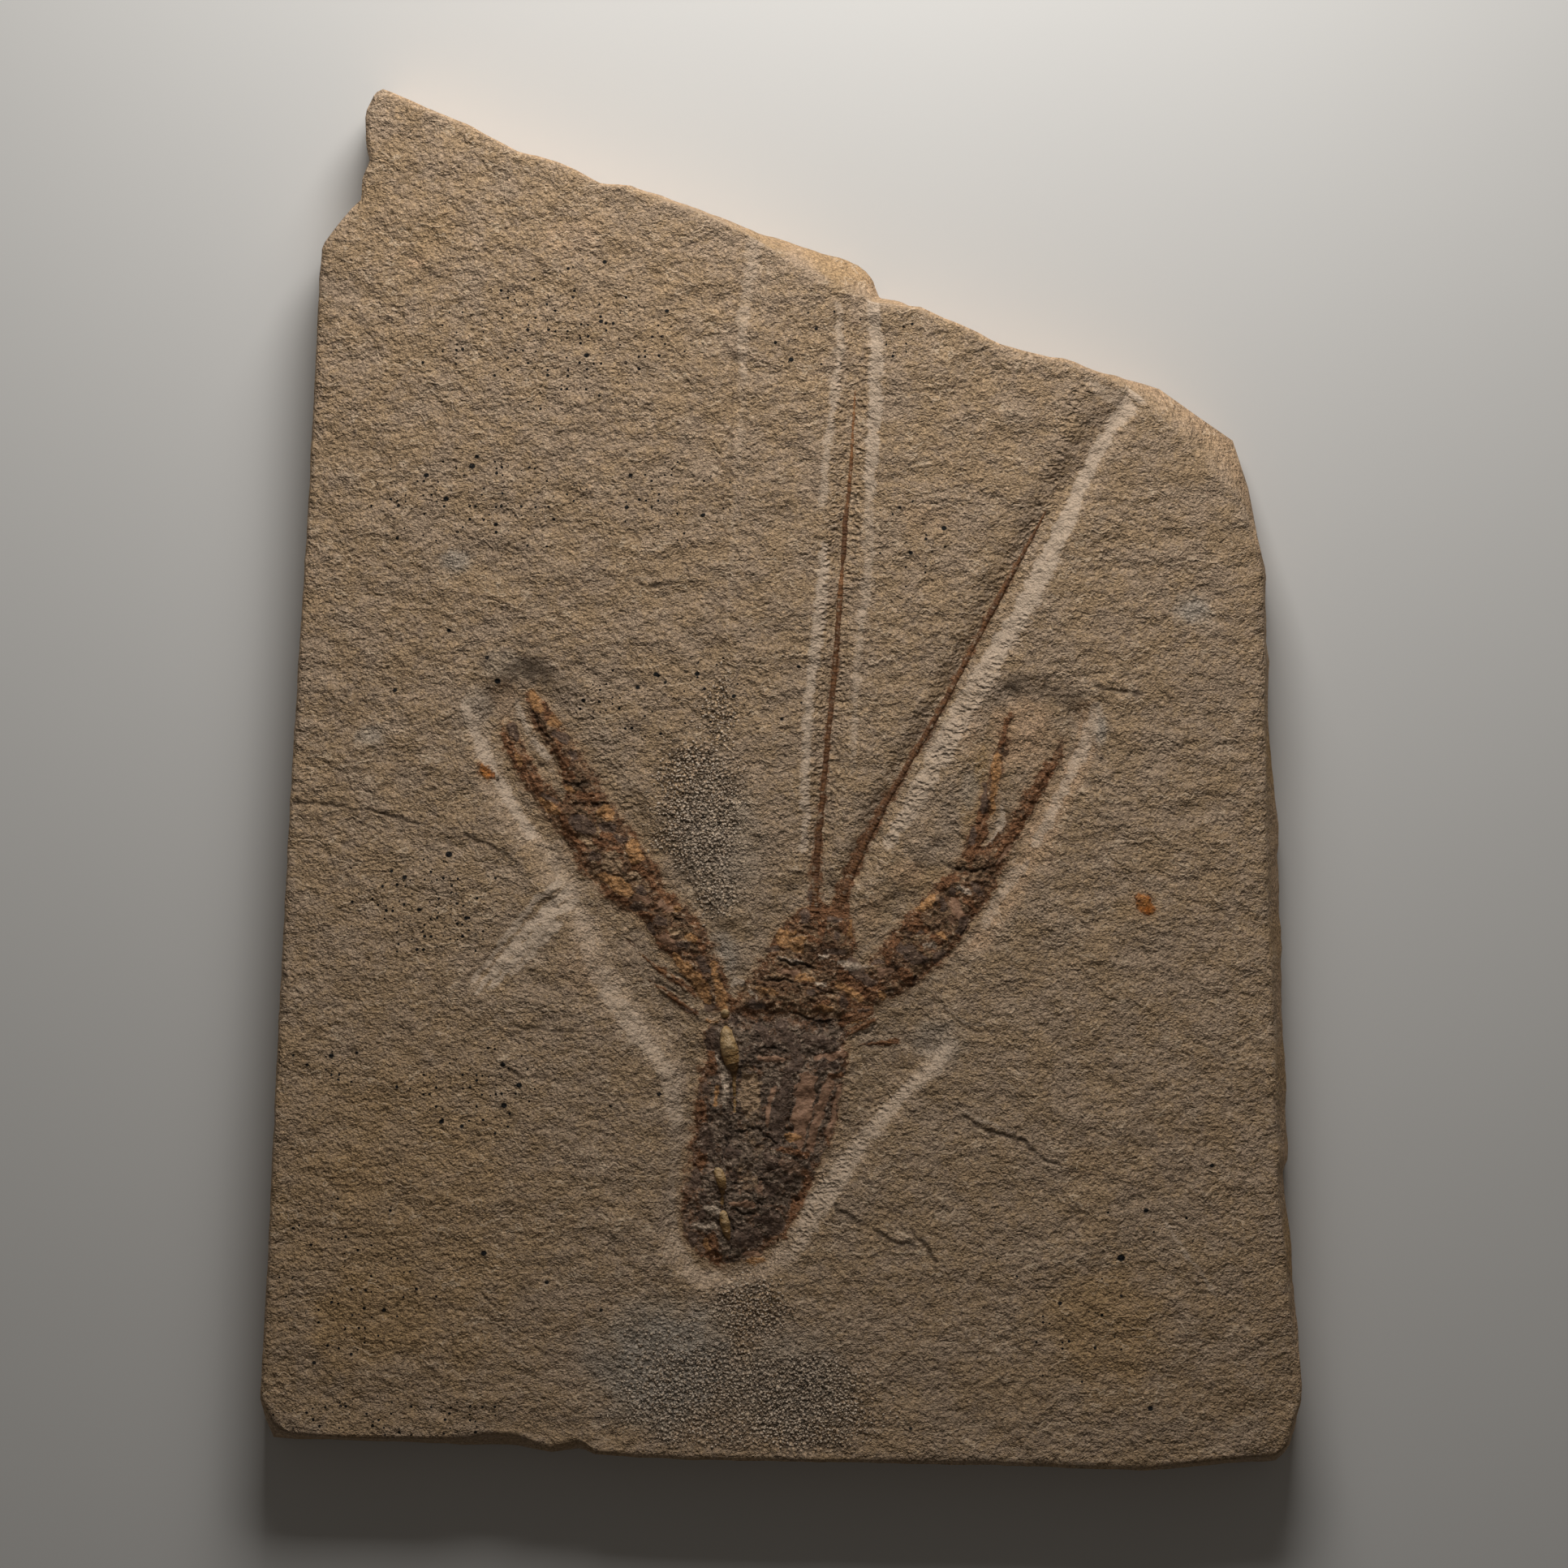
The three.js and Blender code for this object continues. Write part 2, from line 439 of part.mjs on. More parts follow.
// Spacing of the facets, height at the edge and over the middle, width of the rise, lumps and roughness.
const CARAPACE_FORM = { pitch: 2.3, edge: 13.9, crown: 15.3, radius: 5, list: CARAPACE_LUMPS, grain: 0.16 };
const HEAD_FORM = { pitch: 2.2, edge: 13.7, crown: 14.9, radius: 3.4, list: HEAD_LUMPS, grain: 0.3 };
const LEFT_CLAW_FORM = { pitch: 2.3, edge: 13.7, crown: 14.9, radius: 3.2, list: CLAW_LUMPS, grain: 0.12 };
const RIGHT_CLAW_FORM = { ...LEFT_CLAW_FORM, grain: 0.14 };

const pieces = {
  carapace: bedded(CARAPACE_OUTLINE, CARAPACE_FORM).subtract(seamPocket),
  head: bedded(HEAD_OUTLINE, HEAD_FORM),
  left_claw: bedded(LEFT_CLAW_OUTLINE, LEFT_CLAW_FORM),
  right_claw: bedded(RIGHT_CLAW_OUTLINE, RIGHT_CLAW_FORM),
  left_antenna: rib(LEFT_ANTENNA, BED_HEIGHT),
  right_antenna: rib(RIGHT_ANTENNA, BED_HEIGHT),
  left_leg_front: rib(LEFT_LEG_FRONT, BED_HEIGHT),
  left_leg_rear: rib(LEFT_LEG_REAR, BED_HEIGHT),
  right_leg_front: rib(RIGHT_LEG_FRONT, BED_HEIGHT),
  right_leg_rear: rib(RIGHT_LEG_REAR, BED_HEIGHT),
  calcite_seam: rib(CALCITE_SEAM, SEAM_BED),
  left_shell_chip: prism(LEFT_SHELL_CHIP, CHIP_BED, CHIP_TOP),
  right_shell_chip: prism(RIGHT_SHELL_CHIP, CHIP_BED, CHIP_TOP),
};

const outlinePocket = (outline, bed) => prism(inset(outline, -FIT_GAP), bed, CUTTER_TOP);
const shellOutlines = [CARAPACE_OUTLINE, HEAD_OUTLINE, LEFT_CLAW_OUTLINE, RIGHT_CLAW_OUTLINE];
const ribLines = [
  LEFT_ANTENNA, RIGHT_ANTENNA, LEFT_LEG_FRONT, LEFT_LEG_REAR, RIGHT_LEG_FRONT, RIGHT_LEG_REAR,
];
const pockets = [
  ...shellOutlines.map((outline) => outlinePocket(outline, BED_HEIGHT)),
  ...[LEFT_SHELL_CHIP, RIGHT_SHELL_CHIP].map((outline) => outlinePocket(outline, CHIP_BED)),
  ...ribLines.map((line) => ribPocket(line, BED_HEIGHT)),
];

// ---- Finishes and assembly --------------------------------------------------------------------------

const finish = (color, roughness) => new THREE.MeshStandardMaterial({ color, roughness, metalness: 0 });
const LIMESTONE = finish(0x9a8870, 0.95);
const DARK_SHELL = finish(0x5a4335, 0.7);
const RUST_SHELL = finish(0x7a4a26, 0.75);
const CALCITE = finish(0xa48a58, 0.35);

const FINISHES = {
  carapace: DARK_SHELL,
  head: RUST_SHELL,
  left_claw: RUST_SHELL,
  right_claw: DARK_SHELL,
  calcite_seam: CALCITE,
};

/** Puts a finished solid in the scene as one named mesh. */
function place(group, name, made, material) {
  const { vertProperties, triVerts, numProp } = made.getMesh();
  const points = [];
  for (let i = 0; i < vertProperties.length; i += numProp) points.push(...vertProperties.slice(i, i + 3));
  const geometry = new THREE.BufferGeometry();
  geometry.setAttribute("position", new THREE.Float32BufferAttribute(points, 3));
  geometry.setIndex([...triVerts]);
  const mesh = new THREE.Mesh(geometry, material);
  mesh.name = name;
  group.add(mesh);
}

const fossilLobster = new THREE.Group();
place(fossilLobster, "slab", buildSlab(pockets), LIMESTONE);
for (const [name, made] of Object.entries(pieces)) {
  place(fossilLobster, name, made, FINISHES[name] ?? RUST_SHELL);
}

export default fossilLobster;
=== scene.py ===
"""The looks of a fossil lobster on its limestone slab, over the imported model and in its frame.

The face of the stone is one height field. The slab and every piece of shell read their heights from it, so
the hollow, the channels, the tool marks and the shell agree with each other. Heights and places in the field
are in millimetres, and meshes are written in metres.
"""

import logging
import math
from dataclasses import InitVar, dataclass, field
from enum import Enum

import bmesh
import bpy
import numpy as np
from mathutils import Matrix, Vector


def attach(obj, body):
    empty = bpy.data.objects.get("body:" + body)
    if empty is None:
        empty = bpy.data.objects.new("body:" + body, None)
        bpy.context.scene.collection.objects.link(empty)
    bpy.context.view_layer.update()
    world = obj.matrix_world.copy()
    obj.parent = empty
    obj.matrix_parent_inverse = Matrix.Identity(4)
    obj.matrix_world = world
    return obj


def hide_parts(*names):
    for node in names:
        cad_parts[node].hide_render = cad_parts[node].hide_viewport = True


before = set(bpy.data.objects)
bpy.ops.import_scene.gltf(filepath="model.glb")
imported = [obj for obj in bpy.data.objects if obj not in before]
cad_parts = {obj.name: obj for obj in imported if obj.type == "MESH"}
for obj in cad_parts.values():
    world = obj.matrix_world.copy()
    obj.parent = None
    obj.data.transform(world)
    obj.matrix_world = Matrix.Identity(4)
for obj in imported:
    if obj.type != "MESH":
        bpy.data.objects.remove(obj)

LOG = logging.getLogger("fossil_lobster")
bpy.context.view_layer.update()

MM = 0.001  # metres in a millimetre
BODY = "root"

FACE = 15.0  # height of the bedding face over the underside
FLOOR = 13.4  # floor of the hollow round the animal
BED = 12.4  # underside of every shell piece
DROP = 1.3  # how far a sheet sinks where another piece shows
LAP = 0.35  # how far shell and stone share one surface on each side of the shell's edge
LAP_RISE = 0.02  # how far the shell lies over the stone there
FAR_OUT = -9.0  # stands for far outside a shell
NO_SPECK = 9.0  # stands for far from every speck

Field = np.ndarray
Stations = tuple[tuple[float, ...], ...]
Faces = list[list[int]]
Colour = tuple[float, float, float]
Socket = bpy.types.NodeSocket
Material = bpy.types.Material
Piece = bpy.types.Object
Tree = bpy.types.NodeTree


# ---- Number fields ---------------------------------------------------------------------------------------


def ease(t: Field) -> Field:
    """Smooth step from 0 to 1 over t from 0 to 1."""
    t = np.clip(t, 0.0, 1.0)
    return t * t * (3.0 - 2.0 * t)


def mix(a: Field, b: Field, t: Field) -> Field:
    """Straight blend from a to b."""
    return a + (b - a) * t


def gradient_noise(x: Field, y: Field, seed: int) -> Field:
    """Smooth noise of wavelength 1.

    Args:
        x, y: places.
        seed: picks the pattern.

    Returns:
        Values from about -1 to 1.
    """
    ix, iy = np.floor(x).astype(np.int64), np.floor(y).astype(np.int64)
    fx, fy = x - ix, y - iy

    def corner(dx: int, dy: int) -> Field:
        """The slope at one corner of the cell, read at the point."""
        h = (ix + dx) * 374761393 + (iy + dy) * 668265263 + seed * 974634777
        h = (h ^ (h >> 13)) * 1274126177
        turn = ((h ^ (h >> 16)) & 0xFFFF) * (math.tau / 0x10000)
        return np.cos(turn) * (fx - dx) + np.sin(turn) * (fy - dy)

    u = fx**3 * (fx * (fx * 6 - 15) + 10)
    v = fy**3 * (fy * (fy * 6 - 15) + 10)
    low = mix(corner(0, 0), corner(1, 0), u)
    high = mix(corner(0, 1), corner(1, 1), u)
    return 1.5 * mix(low, high, v)


def fractal(x: Field, y: Field, wavelength: float, octaves: int = 3, seed: int = 0) -> Field:
    """Noise of several sizes, each half as wide and half as strong as the last.

    Args:
        x, y: places in millimetres.
        wavelength: the widest size, in millimetres.
        octaves: how many sizes.
        seed: picks the pattern.

    Returns:
        Values from about -1 to 1.
    """
    total, weight = np.zeros_like(x), 0.0
    for k in range(octaves):
        scale = 2.0**k / wavelength
        total += gradient_noise(x * scale + 17.3 * k, y * scale - 9.1 * k, seed + k) / 2**k
        weight += 0.5**k
    return total / weight


def creases(x: Field, y: Field, wavelength: float, octaves: int = 2, seed: int = 0) -> Field:
    """Noise with sharp crests, from 0 in the hollows to 1 on the crests."""
    return 1.0 - np.clip(2.2 * np.abs(fractal(x, y, wavelength, octaves, seed)), 0.0, 1.0)


def warped(x: Field, y: Field, by: float, wavelength: float, octaves: int, seed: int) -> tuple[Field, Field]:
    """Places moved to and fro by noise.

    Args:
        x, y: places in millimetres.
        by: how far, at the most.
        wavelength, octaves: as in fractal.
        seed: picks the pattern for x, and the next one is for y.

    Returns:
        The moved places.
    """
    moved_x = x + by * fractal(x, y, wavelength, octaves, seed)
    return moved_x, y + by * fractal(x, y, wavelength, octaves, seed + 1)


# ---- Lines and patches -----------------------------------------------------------------------------------


@dataclass(frozen=True)
class Reading:
    """What a line says at each point.

    Attributes:
        offset: distance, positive inside a closed line or to the left of an open one.
        values: what the stations carry, at the nearest spot.
    """

    offset: Field
    values: Field


@dataclass(frozen=True)
class Line:
    """A line through stations of (x, y, values...)."""

    stations: Stations
    closed: bool = False

    def read(self, x: Field, y: Field) -> Reading:
        """Measures every point against the line."""
        points = np.array(self.stations, dtype=float)
        ends = np.roll(points, -1, axis=0) if self.closed else points[1:]
        starts = points if self.closed else points[:-1]
        best = np.full(x.shape, np.inf)
        positive, inside = np.zeros(x.shape, dtype=bool), np.zeros(x.shape, dtype=bool)
        values = np.zeros((points.shape[1] - 2, *x.shape))
        for a, b in zip(starts, ends):
            dx, dy = b[0] - a[0], b[1] - a[1]
            t = np.clip(((x - a[0]) * dx + (y - a[1]) * dy) / math.hypot(dx, dy) ** 2, 0.0, 1.0)
            distance = np.hypot(x - a[0] - t * dx, y - a[1] - t * dy)
            near = distance < best
            best = np.where(near, distance, best)
            positive = np.where(near, dx * (y - a[1]) - dy * (x - a[0]) > 0, positive)
            for k in range(values.shape[0]):
                values[k] = np.where(near, mix(a[k + 2], b[k + 2], t), values[k])
            if self.closed and dy:
                inside ^= ((a[1] > y) != (b[1] > y)) & (x < a[0] + dx * (y - a[1]) / dy)
        sign = np.where(inside if self.closed else positive, 1.0, -1.0)
        return Reading(best * sign, values)

    def softened(self, rounds: int = 2) -> "Line":
        """The same line with its corners cut."""
        points = np.array(self.stations, dtype=float)
        for _ in range(rounds):
            after = np.roll(points, -1, axis=0)
            points = np.stack((0.75 * points + 0.25 * after, 0.25 * points + 0.75 * after), axis=1)
            points = points.reshape(-1, points.shape[-1])
        return Line(tuple(map(tuple, points)), self.closed)


# ---- Marks on the face -----------------------------------------------------------------------------------


class Hue(Enum):
    """What a mark paints, from the lowest layer to the topmost. Each is a mask on the face's meshes."""

    SCRAPED = "scraped"  # pale smooth stone where a tool ran
    NICKED = "nicked"  # crescent nicks of a needle
    BARE = "bare"  # stone that shows through the shell
    PLATE = "plate"  # smooth pinkish brown
    RUST = "rust"  # red-brown
    DUSK = "dusk"  # purple-grey to nearly black
    OCHRE = "ochre"  # orange to honey
    CHALK = "chalk"  # whitish crumbs
    GAP_SHADOW = "gap_shadow"  # gaps, with black painted as their shadow


PAINTED = (Hue.PLATE, Hue.RUST, Hue.DUSK, Hue.OCHRE, Hue.CHALK)  # laid over stone and shell, in this order


@dataclass
class Ground:
    """What the face is like at each point: its height in millimetres, how far inside the shell, and masks."""

    height: Field
    inside: Field
    masks: dict[str, Field]


@dataclass(frozen=True)
class Mark:
    """A blot or a stroke of one hue.

    Attributes:
        hue: what it paints.
        rise: how far the surface swells under it, in millimetres; below zero it is a pit or a gap.
        spots: x, y and half width of each spot along its middle line.
        strength: how fully it covers.
    """

    hue: Hue
    rise: float
    spots: Stations
    strength: float = 1.0

    margin = 1.2  # how far it may reach beyond its spots
    fade = 0.8  # width over which its edge fades
    swell, gap = 0.45, 0.7  # share of the rise that blots and gaps get

    def inside(self, x: Field, y: Field) -> Field:
        """How far each point lies inside the stroke."""
        table = np.array(self.spots)
        if len(table) == 1:
            return table[0, 2] - np.hypot(x - table[0, 0], y - table[0, 1])
        read = Line(self.spots).read(x, y)
        return read.values[0] - np.abs(read.offset)

    def lay(self, x: Field, y: Field, ground: Ground) -> None:
        """Adds the mark to the ground at places x, y, which are already warped to keep its edge uneven."""
        table = np.array(self.spots)
        reach = table[:, 2].max() + self.margin
        low, high = table[:, :2].min(axis=0) - reach, table[:, :2].max(axis=0) + reach
        near = np.flatnonzero((x > low[0]) & (x < high[0]) & (y > low[1]) & (y < high[1]))
        if not near.size:
            return
        half = table[:, 2].mean()
        seed = int(abs(table[0, 0] * 7 + table[0, 1] * 3)) % 97
        ragged = (0.45 * half + 0.12) * fractal(x[near], y[near], 1.5, 3, seed)
        thin = 0.25 * half if self.hue is Hue.GAP_SHADOW else 0.0
        inside = self.inside(x[near], y[near]) + ragged - thin
        mask = ground.masks[self.hue.value]
        mask[near] = np.maximum(mask[near], self.strength * ease(0.5 + inside / self.fade))
        bulge = 1.0 - (1.0 - np.clip(inside / half, 0.0, 1.0)) ** 2
        relief = self.gap if self.hue is Hue.GAP_SHADOW else self.swell
        ground.height[near] += relief * self.rise * bulge


def marks(hue: Hue, rise: float, strength: float, *rows: tuple[float, ...]) -> tuple[Mark, ...]:
    """Marks of one hue.

    Args:
        hue, rise, strength: as in Mark.
        rows: for each mark the x, y and half width of its spots, one spot after the other.

    Returns:
        One mark per row.
    """
    return tuple(Mark(hue, rise, tuple(zip(row[::3], row[1::3], row[2::3])), strength) for row in rows)


# ---- Mesh making -----------------------------------------------------------------------------------------


def link_object(name: str, data: bpy.types.ID) -> Piece:
    """Puts a new object into the scene."""
    made = bpy.data.objects.new(name, data)
    bpy.context.collection.objects.link(made)
    return made


def grid_quads(shape: tuple[int, int]) -> Field:
    """The corner numbers of each square of a grid with so many rows and columns of corners."""
    number = np.arange(shape[0] * shape[1]).reshape(shape)
    return np.stack((number[:-1, :-1], number[:-1, 1:], number[1:, 1:], number[1:, :-1]), axis=-1)


def lengths_along(table: Field) -> Field:
    """How far along its line each row of x, y, ... lies."""
    steps = np.hypot(*np.diff(table[:, :2], axis=0).T)
    return np.concatenate(([0.0], np.cumsum(steps)))


def mesh_object(name: str, points: Field, faces: Faces, masks: dict[str, Field]) -> Piece:
    """Makes a smooth mesh object.

    Args:
        name: the piece's name.
        points: corner places in millimetres, one row each.
        faces: corner numbers of each face, anticlockwise from outside.
        masks: one number for each corner, by name.

    Returns:
        The new object, at the origin.
    """
    mesh = bpy.data.meshes.new(name)
    mesh.from_pydata((points * MM).tolist(), [], faces)
    for key, values in masks.items():
        mesh.attributes.new(key, "FLOAT", "POINT").data.foreach_set("value", values.astype(np.float32))
    mesh.shade_smooth()
    mesh.update()
    return link_object(name, mesh)


def dress(piece: Piece, material: Material, slot: str, *nodes: str) -> Piece:
    """Gives a piece its material and its place in the frame.

    Args:
        piece: the finished mesh object.
        material: its only material.
        slot: the record's material slot; not used.
        nodes: solids that it stands for.

    Returns:
        The piece.
    """
    piece.data.materials.clear()
    piece.data.materials.append(material)
    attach(piece, BODY)
    if nodes:
        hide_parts(*nodes)
    LOG.info("%s: %d faces", piece.name, len(piece.data.polygons))
    return piece


@dataclass
class QuadSheet:
    """A unit square of cells, halved again and again where detail is wanted.

    Attributes:
        columns, rows: the widest cells.
        halvings: how often a cell may be halved.
        place: maps unit coordinates to millimetres.
        wanted: the widest cell allowed near each point, given the points and the cells' half diagonal.
    """

    columns: int
    rows: int
    halvings: int
    place: object
    wanted: object

    def cells(self) -> Field:
        """The cells as rows of column, row and size, counted in the smallest cells."""
        size = 2**self.halvings
        i, j = np.meshgrid(np.arange(self.columns) * size, np.arange(self.rows) * size)
        open_cells = np.stack((i.ravel(), j.ravel()), axis=1)
        done = []
        while size > 1:
            middle = open_cells + size / 2
            x, y = self._to_mm(middle[:, 0], middle[:, 1])
            x1, y1 = self._to_mm(middle[:, 0] + size / 2, middle[:, 1] + size / 2)
            half_diagonal = np.hypot(x1 - x, y1 - y)
            split = half_diagonal * math.sqrt(2) > self.wanted(x, y, half_diagonal) * 1.25
            done.append(np.column_stack((open_cells[~split], np.full((~split).sum(), size))))
            size //= 2
            quarters = [open_cells[split] + (dx, dy) for dx in (0, size) for dy in (0, size)]
            open_cells = np.concatenate(quarters)
        done.append(np.column_stack((open_cells, np.full(len(open_cells), 1))))
        return np.concatenate(done)

    def _to_mm(self, i: Field, j: Field) -> tuple[Field, Field]:
        """Places in millimetres of lattice points."""
        span = 2**self.halvings
        return self.place(i / (self.columns * span), j / (self.rows * span))

    def build(self) -> tuple[Field, Field, Faces, list[int]]:
        """Makes the sheet.

        Returns:
            The corners' unit coordinates u and v, the faces, and the corner numbers round the rim,
            anticlockwise from u = v = 0.
        """
        span = 2**self.halvings
        width, height = self.columns * span, self.rows * span
        cells = self.cells()
        used = np.zeros((height + 1, width + 1), dtype=bool)
        for dx in (0, 1):
            for dy in (0, 1):
                used[cells[:, 1] + dy * cells[:, 2], cells[:, 0] + dx * cells[:, 2]] = True
        number = np.cumsum(used.ravel()).reshape(used.shape) - 1
        jj, ii = np.nonzero(used)
        faces = []
        for i, j, s in cells.tolist():
            if s == 1:
                faces.append([number[j, i], number[j, i + 1], number[j + 1, i + 1], number[j + 1, i]])
                continue
            low, right = used[j, i : i + s], used[j : j + s, i + s]
            high, left = used[j + s, i + 1 : i + s + 1], used[j + 1 : j + s + 1, i]
            loop = number[j, i : i + s][low].tolist() + number[j : j + s, i + s][right].tolist()
            loop += number[j + s, i + 1 : i + s + 1][high].tolist()[::-1]
            loop += number[j + 1 : j + s + 1, i][left].tolist()[::-1]
            faces.append(loop)
        rim = number[0, :-1][used[0, :-1]].tolist() + number[:-1, -1][used[:-1, -1]].tolist()
        rim += number[-1, 1:][used[-1, 1:]].tolist()[::-1] + number[1:, 0][used[1:, 0]].tolist()[::-1]
        return ii / width, jj / height, faces, rim


# ---- The lie of the stone --------------------------------------------------------------------------------

# The hollow: each row is x, y on the edge of the floor, then x, y on the rim, anticlockwise.
HOLLOW = (
    (-9, -95, -9.5, -98.5), (-1.5, -91.5, 2.5, -94), (4, -81, 8.4, -83.5), (7.3, -74, 12.2, -78.3),
    (13.9, -68.4, 18.3, -69.9), (21, -60.8, 22.6, -63.4), (25.9, -55.4, 28.1, -57.6), (29, -51, 33.5, -50.8),
    (27, -46, 32.4, -45), (30, -38.5, 35, -40), (36, -30, 40.5, -33), (42, -21, 46.5, -24),
    (47, -10, 52, -12), (53, 0, 58, -1), (57, 8.5, 62, 8), (56, 13, 60, 17), (47, 17, 48, 21.5),
    (41, 15, 37.5, 18), (38.5, 6, 34, 6), (35.5, -4, 31.5, -3), (31, -13.5, 27.5, -12), (24, -22, 21, -20.5),
    (17.5, -27.5, 16.6, -23), (11, -20.5, 10.8, -16), (4, -20.5, 3.6, -16), (-2, -25.5, -4.5, -22),
    (-6.5, -31, -8.6, -27.5), (-12.5, -28, -12.5, -24.2), (-19, -19.5, -16, -17), (-25, -10.5, -21.5, -8.5),
    (-32, -0.5, -28.5, 1.5), (-38, 9.5, -34, 11.5), (-43.5, 17.5, -41, 21.5), (-49.5, 20.5, -50, 25),
    (-55.5, 14.5, -59.5, 17), (-56, 8.5, -61, 7), (-52.5, -0.5, -57.5, -3.5), (-46, -10.5, -51, -14),
    (-38.5, -20.5, -43, -24.5), (-33, -32, -38, -35), (-30.5, -38, -35.5, -41.5), (-25.5, -45, -30, -49),
    (-19.5, -51, -23.5, -55.5), (-18, -60, -22, -63), (-18.8, -71, -22.5, -72), (-20.5, -82, -24.5, -82),
    (-19.5, -89, -23, -92), (-14.5, -94.3, -17, -98),
)


@dataclass(frozen=True)
class Channel:
    """A worked channel. Its stations are x, y and the rim's distance on the left and on the right."""

    line: Line
    depth: float
    floor_half: float


MIDDLE_CHANNEL = Channel(
    Line((
        (6.2, -18, 3.4, 3), (7.6, -6.1, 3.6, 3.2), (9.8, 17.2, 3.8, 3.4), (11.5, 37.4, 4, 4.2),
        (13.5, 62.3, 4.2, 5.4), (14.2, 82.5, 4, 5), (14.8, 96, 4, 5),
    )),
    depth=1.3, floor_half=0.9,
)
RIGHT_CHANNEL = Channel(
    Line((
        (13.4, -18, 3.2, 3.6), (19.7, -4.9, 3.6, 5.6), (29, 11, 4, 6.6), (37.9, 27.8, 4.2, 6.8),
        (49.7, 49.6, 4.6, 6.4), (58.6, 62.3, 5, 5.6), (70, 79.5, 5, 5),
    )),
    depth=1.4, floor_half=1.0,
)
IMPRINT = Channel(
    Line((
        (-12.3, 12, 1.6, 1.6), (-12, 25, 2.2, 2.2), (-9.8, 56.1, 2.6, 2.4), (-8.9, 68.5, 2, 2),
        (-8, 81.4, 1.8, 1.8), (-6.4, 95, 2.4, 2.4), (-3.8, 108, 2.8, 2.8),
    )),
    depth=0.5, floor_half=0.5,
)
SCRAPE = Channel(
    Line(((-58.8, -39, 1, 1), (-53.7, -32.8, 3.2, 2), (-49, -27.9, 3.4, 2.4), (-43.4, -23.5, 2.4, 2.4))),
    depth=0.55, floor_half=0.3,
)
CHANNELS = (MIDDLE_CHANNEL, RIGHT_CHANNEL, IMPRINT, SCRAPE)


@dataclass(frozen=True)
class Bank:
    """A stretch of the hollow's bank: how much deeper it is cut there, and how fresh its stone looks."""

    line: Line
    depth: float
    hue: str
    strength: float


BANKS = (
    Bank(Line((
        (-58, 12.6), (-53.4, 1.7), (-44, -13.9), (-37.8, -23.2), (-34.7, -37.2), (-25.4, -51.2), (-19.9, -59),
        (-17.6, -68.3), (-19.2, -88.5), (-14.5, -93.2),
    )), 0.85, "pale", 0.4),
    Bank(Line((
        (33.7, -50.2), (29.6, -56), (23.3, -58.7), (16.3, -67.8), (11, -76.3), (7, -82.6), (3.2, -88.5),
        (0, -92.2),
    )), 0.8, "pale", 0.3),
    Bank(Line(((60.1, 12.6), (55, 2), (48, -11), (41.5, -21.7), (37, -29))), 0.35, "blush", 0.9),
    Bank(Line(((41, 17), (36.6, 6), (33.6, -3.4), (29.4, -12.6))), 0.2, "pale", 0.35),
    Bank(Line(((-52, 23), (-42, 19.4), (-36, 10.4), (-30, 0.6))), 0.2, "pale", 0.35),
)

# Round dimples: x, y, radius, depth, and darkness of the shade painted in them.
DIMPLES = (
    (-48.7, 20.8, 3, 0.5, 0.85), (-45.6, 18.4, 2, 0.3, 0.6), (-53.4, 15.9, 3.6, 0.3, 0.45),
    (44.6, 17.4, 2, 0.4, 0.8), (57, 12.2, 2.8, 0.5, 0.5), (-8.4, 80.6, 1.1, 0.8, 1),
    (-9, 76.8, 0.8, 0.5, 0.7), (95, -107.5, 1.8, 0.2, 0.7), (96.5, -112, 1.5, 0.2, 0.7),
)

# Patches of the face: x, y, half width, half height, strength.
GRIT_PATCHES = (
    (-16, -5.5, 9.5, 17, 1), (-12, 12, 4, 10, 0.7), (-12.5, -22, 5, 5.5, 0.8), (-6, -101.5, 9, 7.5, 0.85),
    (-12, -118, 24, 12.5, 0.75), (4, -120, 16, 11, 1), (-24, -108, 11, 8, 0.35),
)
COOL_PATCHES = (
    (-22, -112, 17, 14, 1), (2, -116, 14, 12, 0.6), (-12, -12, 9, 16, 0.5), (79, 32.5, 4.5, 3, 0.9),
    (-62.5, 42, 4, 2.5, 0.8), (-79, 8.5, 3.5, 2, 0.7), (-54, 22, 5, 3.5, 0.4), (36, -2, 2.2, 5, 0.6),
    (-58.5, 13, 3, 6, 0.5), (61, 9.5, 1.6, 3.5, 0.9), (93, 50, 5, 4, 0.6), (-12, -35, 4, 8, 0.7),
    (30, -50, 6, 5, 0.5),
)
# Of these patches the first and widest is painted shade that darkens the lower left; the others are stains.
STAIN_AND_SHADE_PATCHES = (
    (-74, -84, 32, 42, 0.42), (61.7, -105.2, 13.5, 15, 0.62), (-81.4, -76, 9, 7, 0.75),
    (-78, -103, 15, 13, 0.75), (58.6, -73, 4.5, 3, 0.5), (-60, -94, 10, 7, 0.35), (-72, 106, 14, 9, 0.25),
    (36.6, -1, 4, 12, 0.85), (27.6, -20, 5, 4, 0.45), (-47, -15, 3, 5, 0.3), (66, -24, 3, 2.5, 0.35),
    (-28, 90, 16, 9, 0.2),
)
BLUSH_PATCHES = (
    (-70, 99, 2.2, 1.2, 0.8), (-40, 104, 7, 4, 0.3), (28, 50, 6, 4, 0.25), (24, -18, 4, 3, 0.6),
    (46, 9, 7, 8, 0.8), (50, -8, 4, 9, 0.7), (36, 9, 4, 6, 0.6), (-38, -36, 5, 5, 0.4), (-53, 16, 3, 5, 0.5),
    (17, -26, 3, 5, 0.5),
)

EDGE_STAINS = (
    (95.5, 4, 4, 9, 1), (96.5, -30, 4, 7, 0.5), (98, -55, 4, 7, 0.6), (99, -88, 4, 9, 0.9),
    (12, 99.5, 9, 6, 0.55), (-2, 104, 8, 4, 0.35),
)

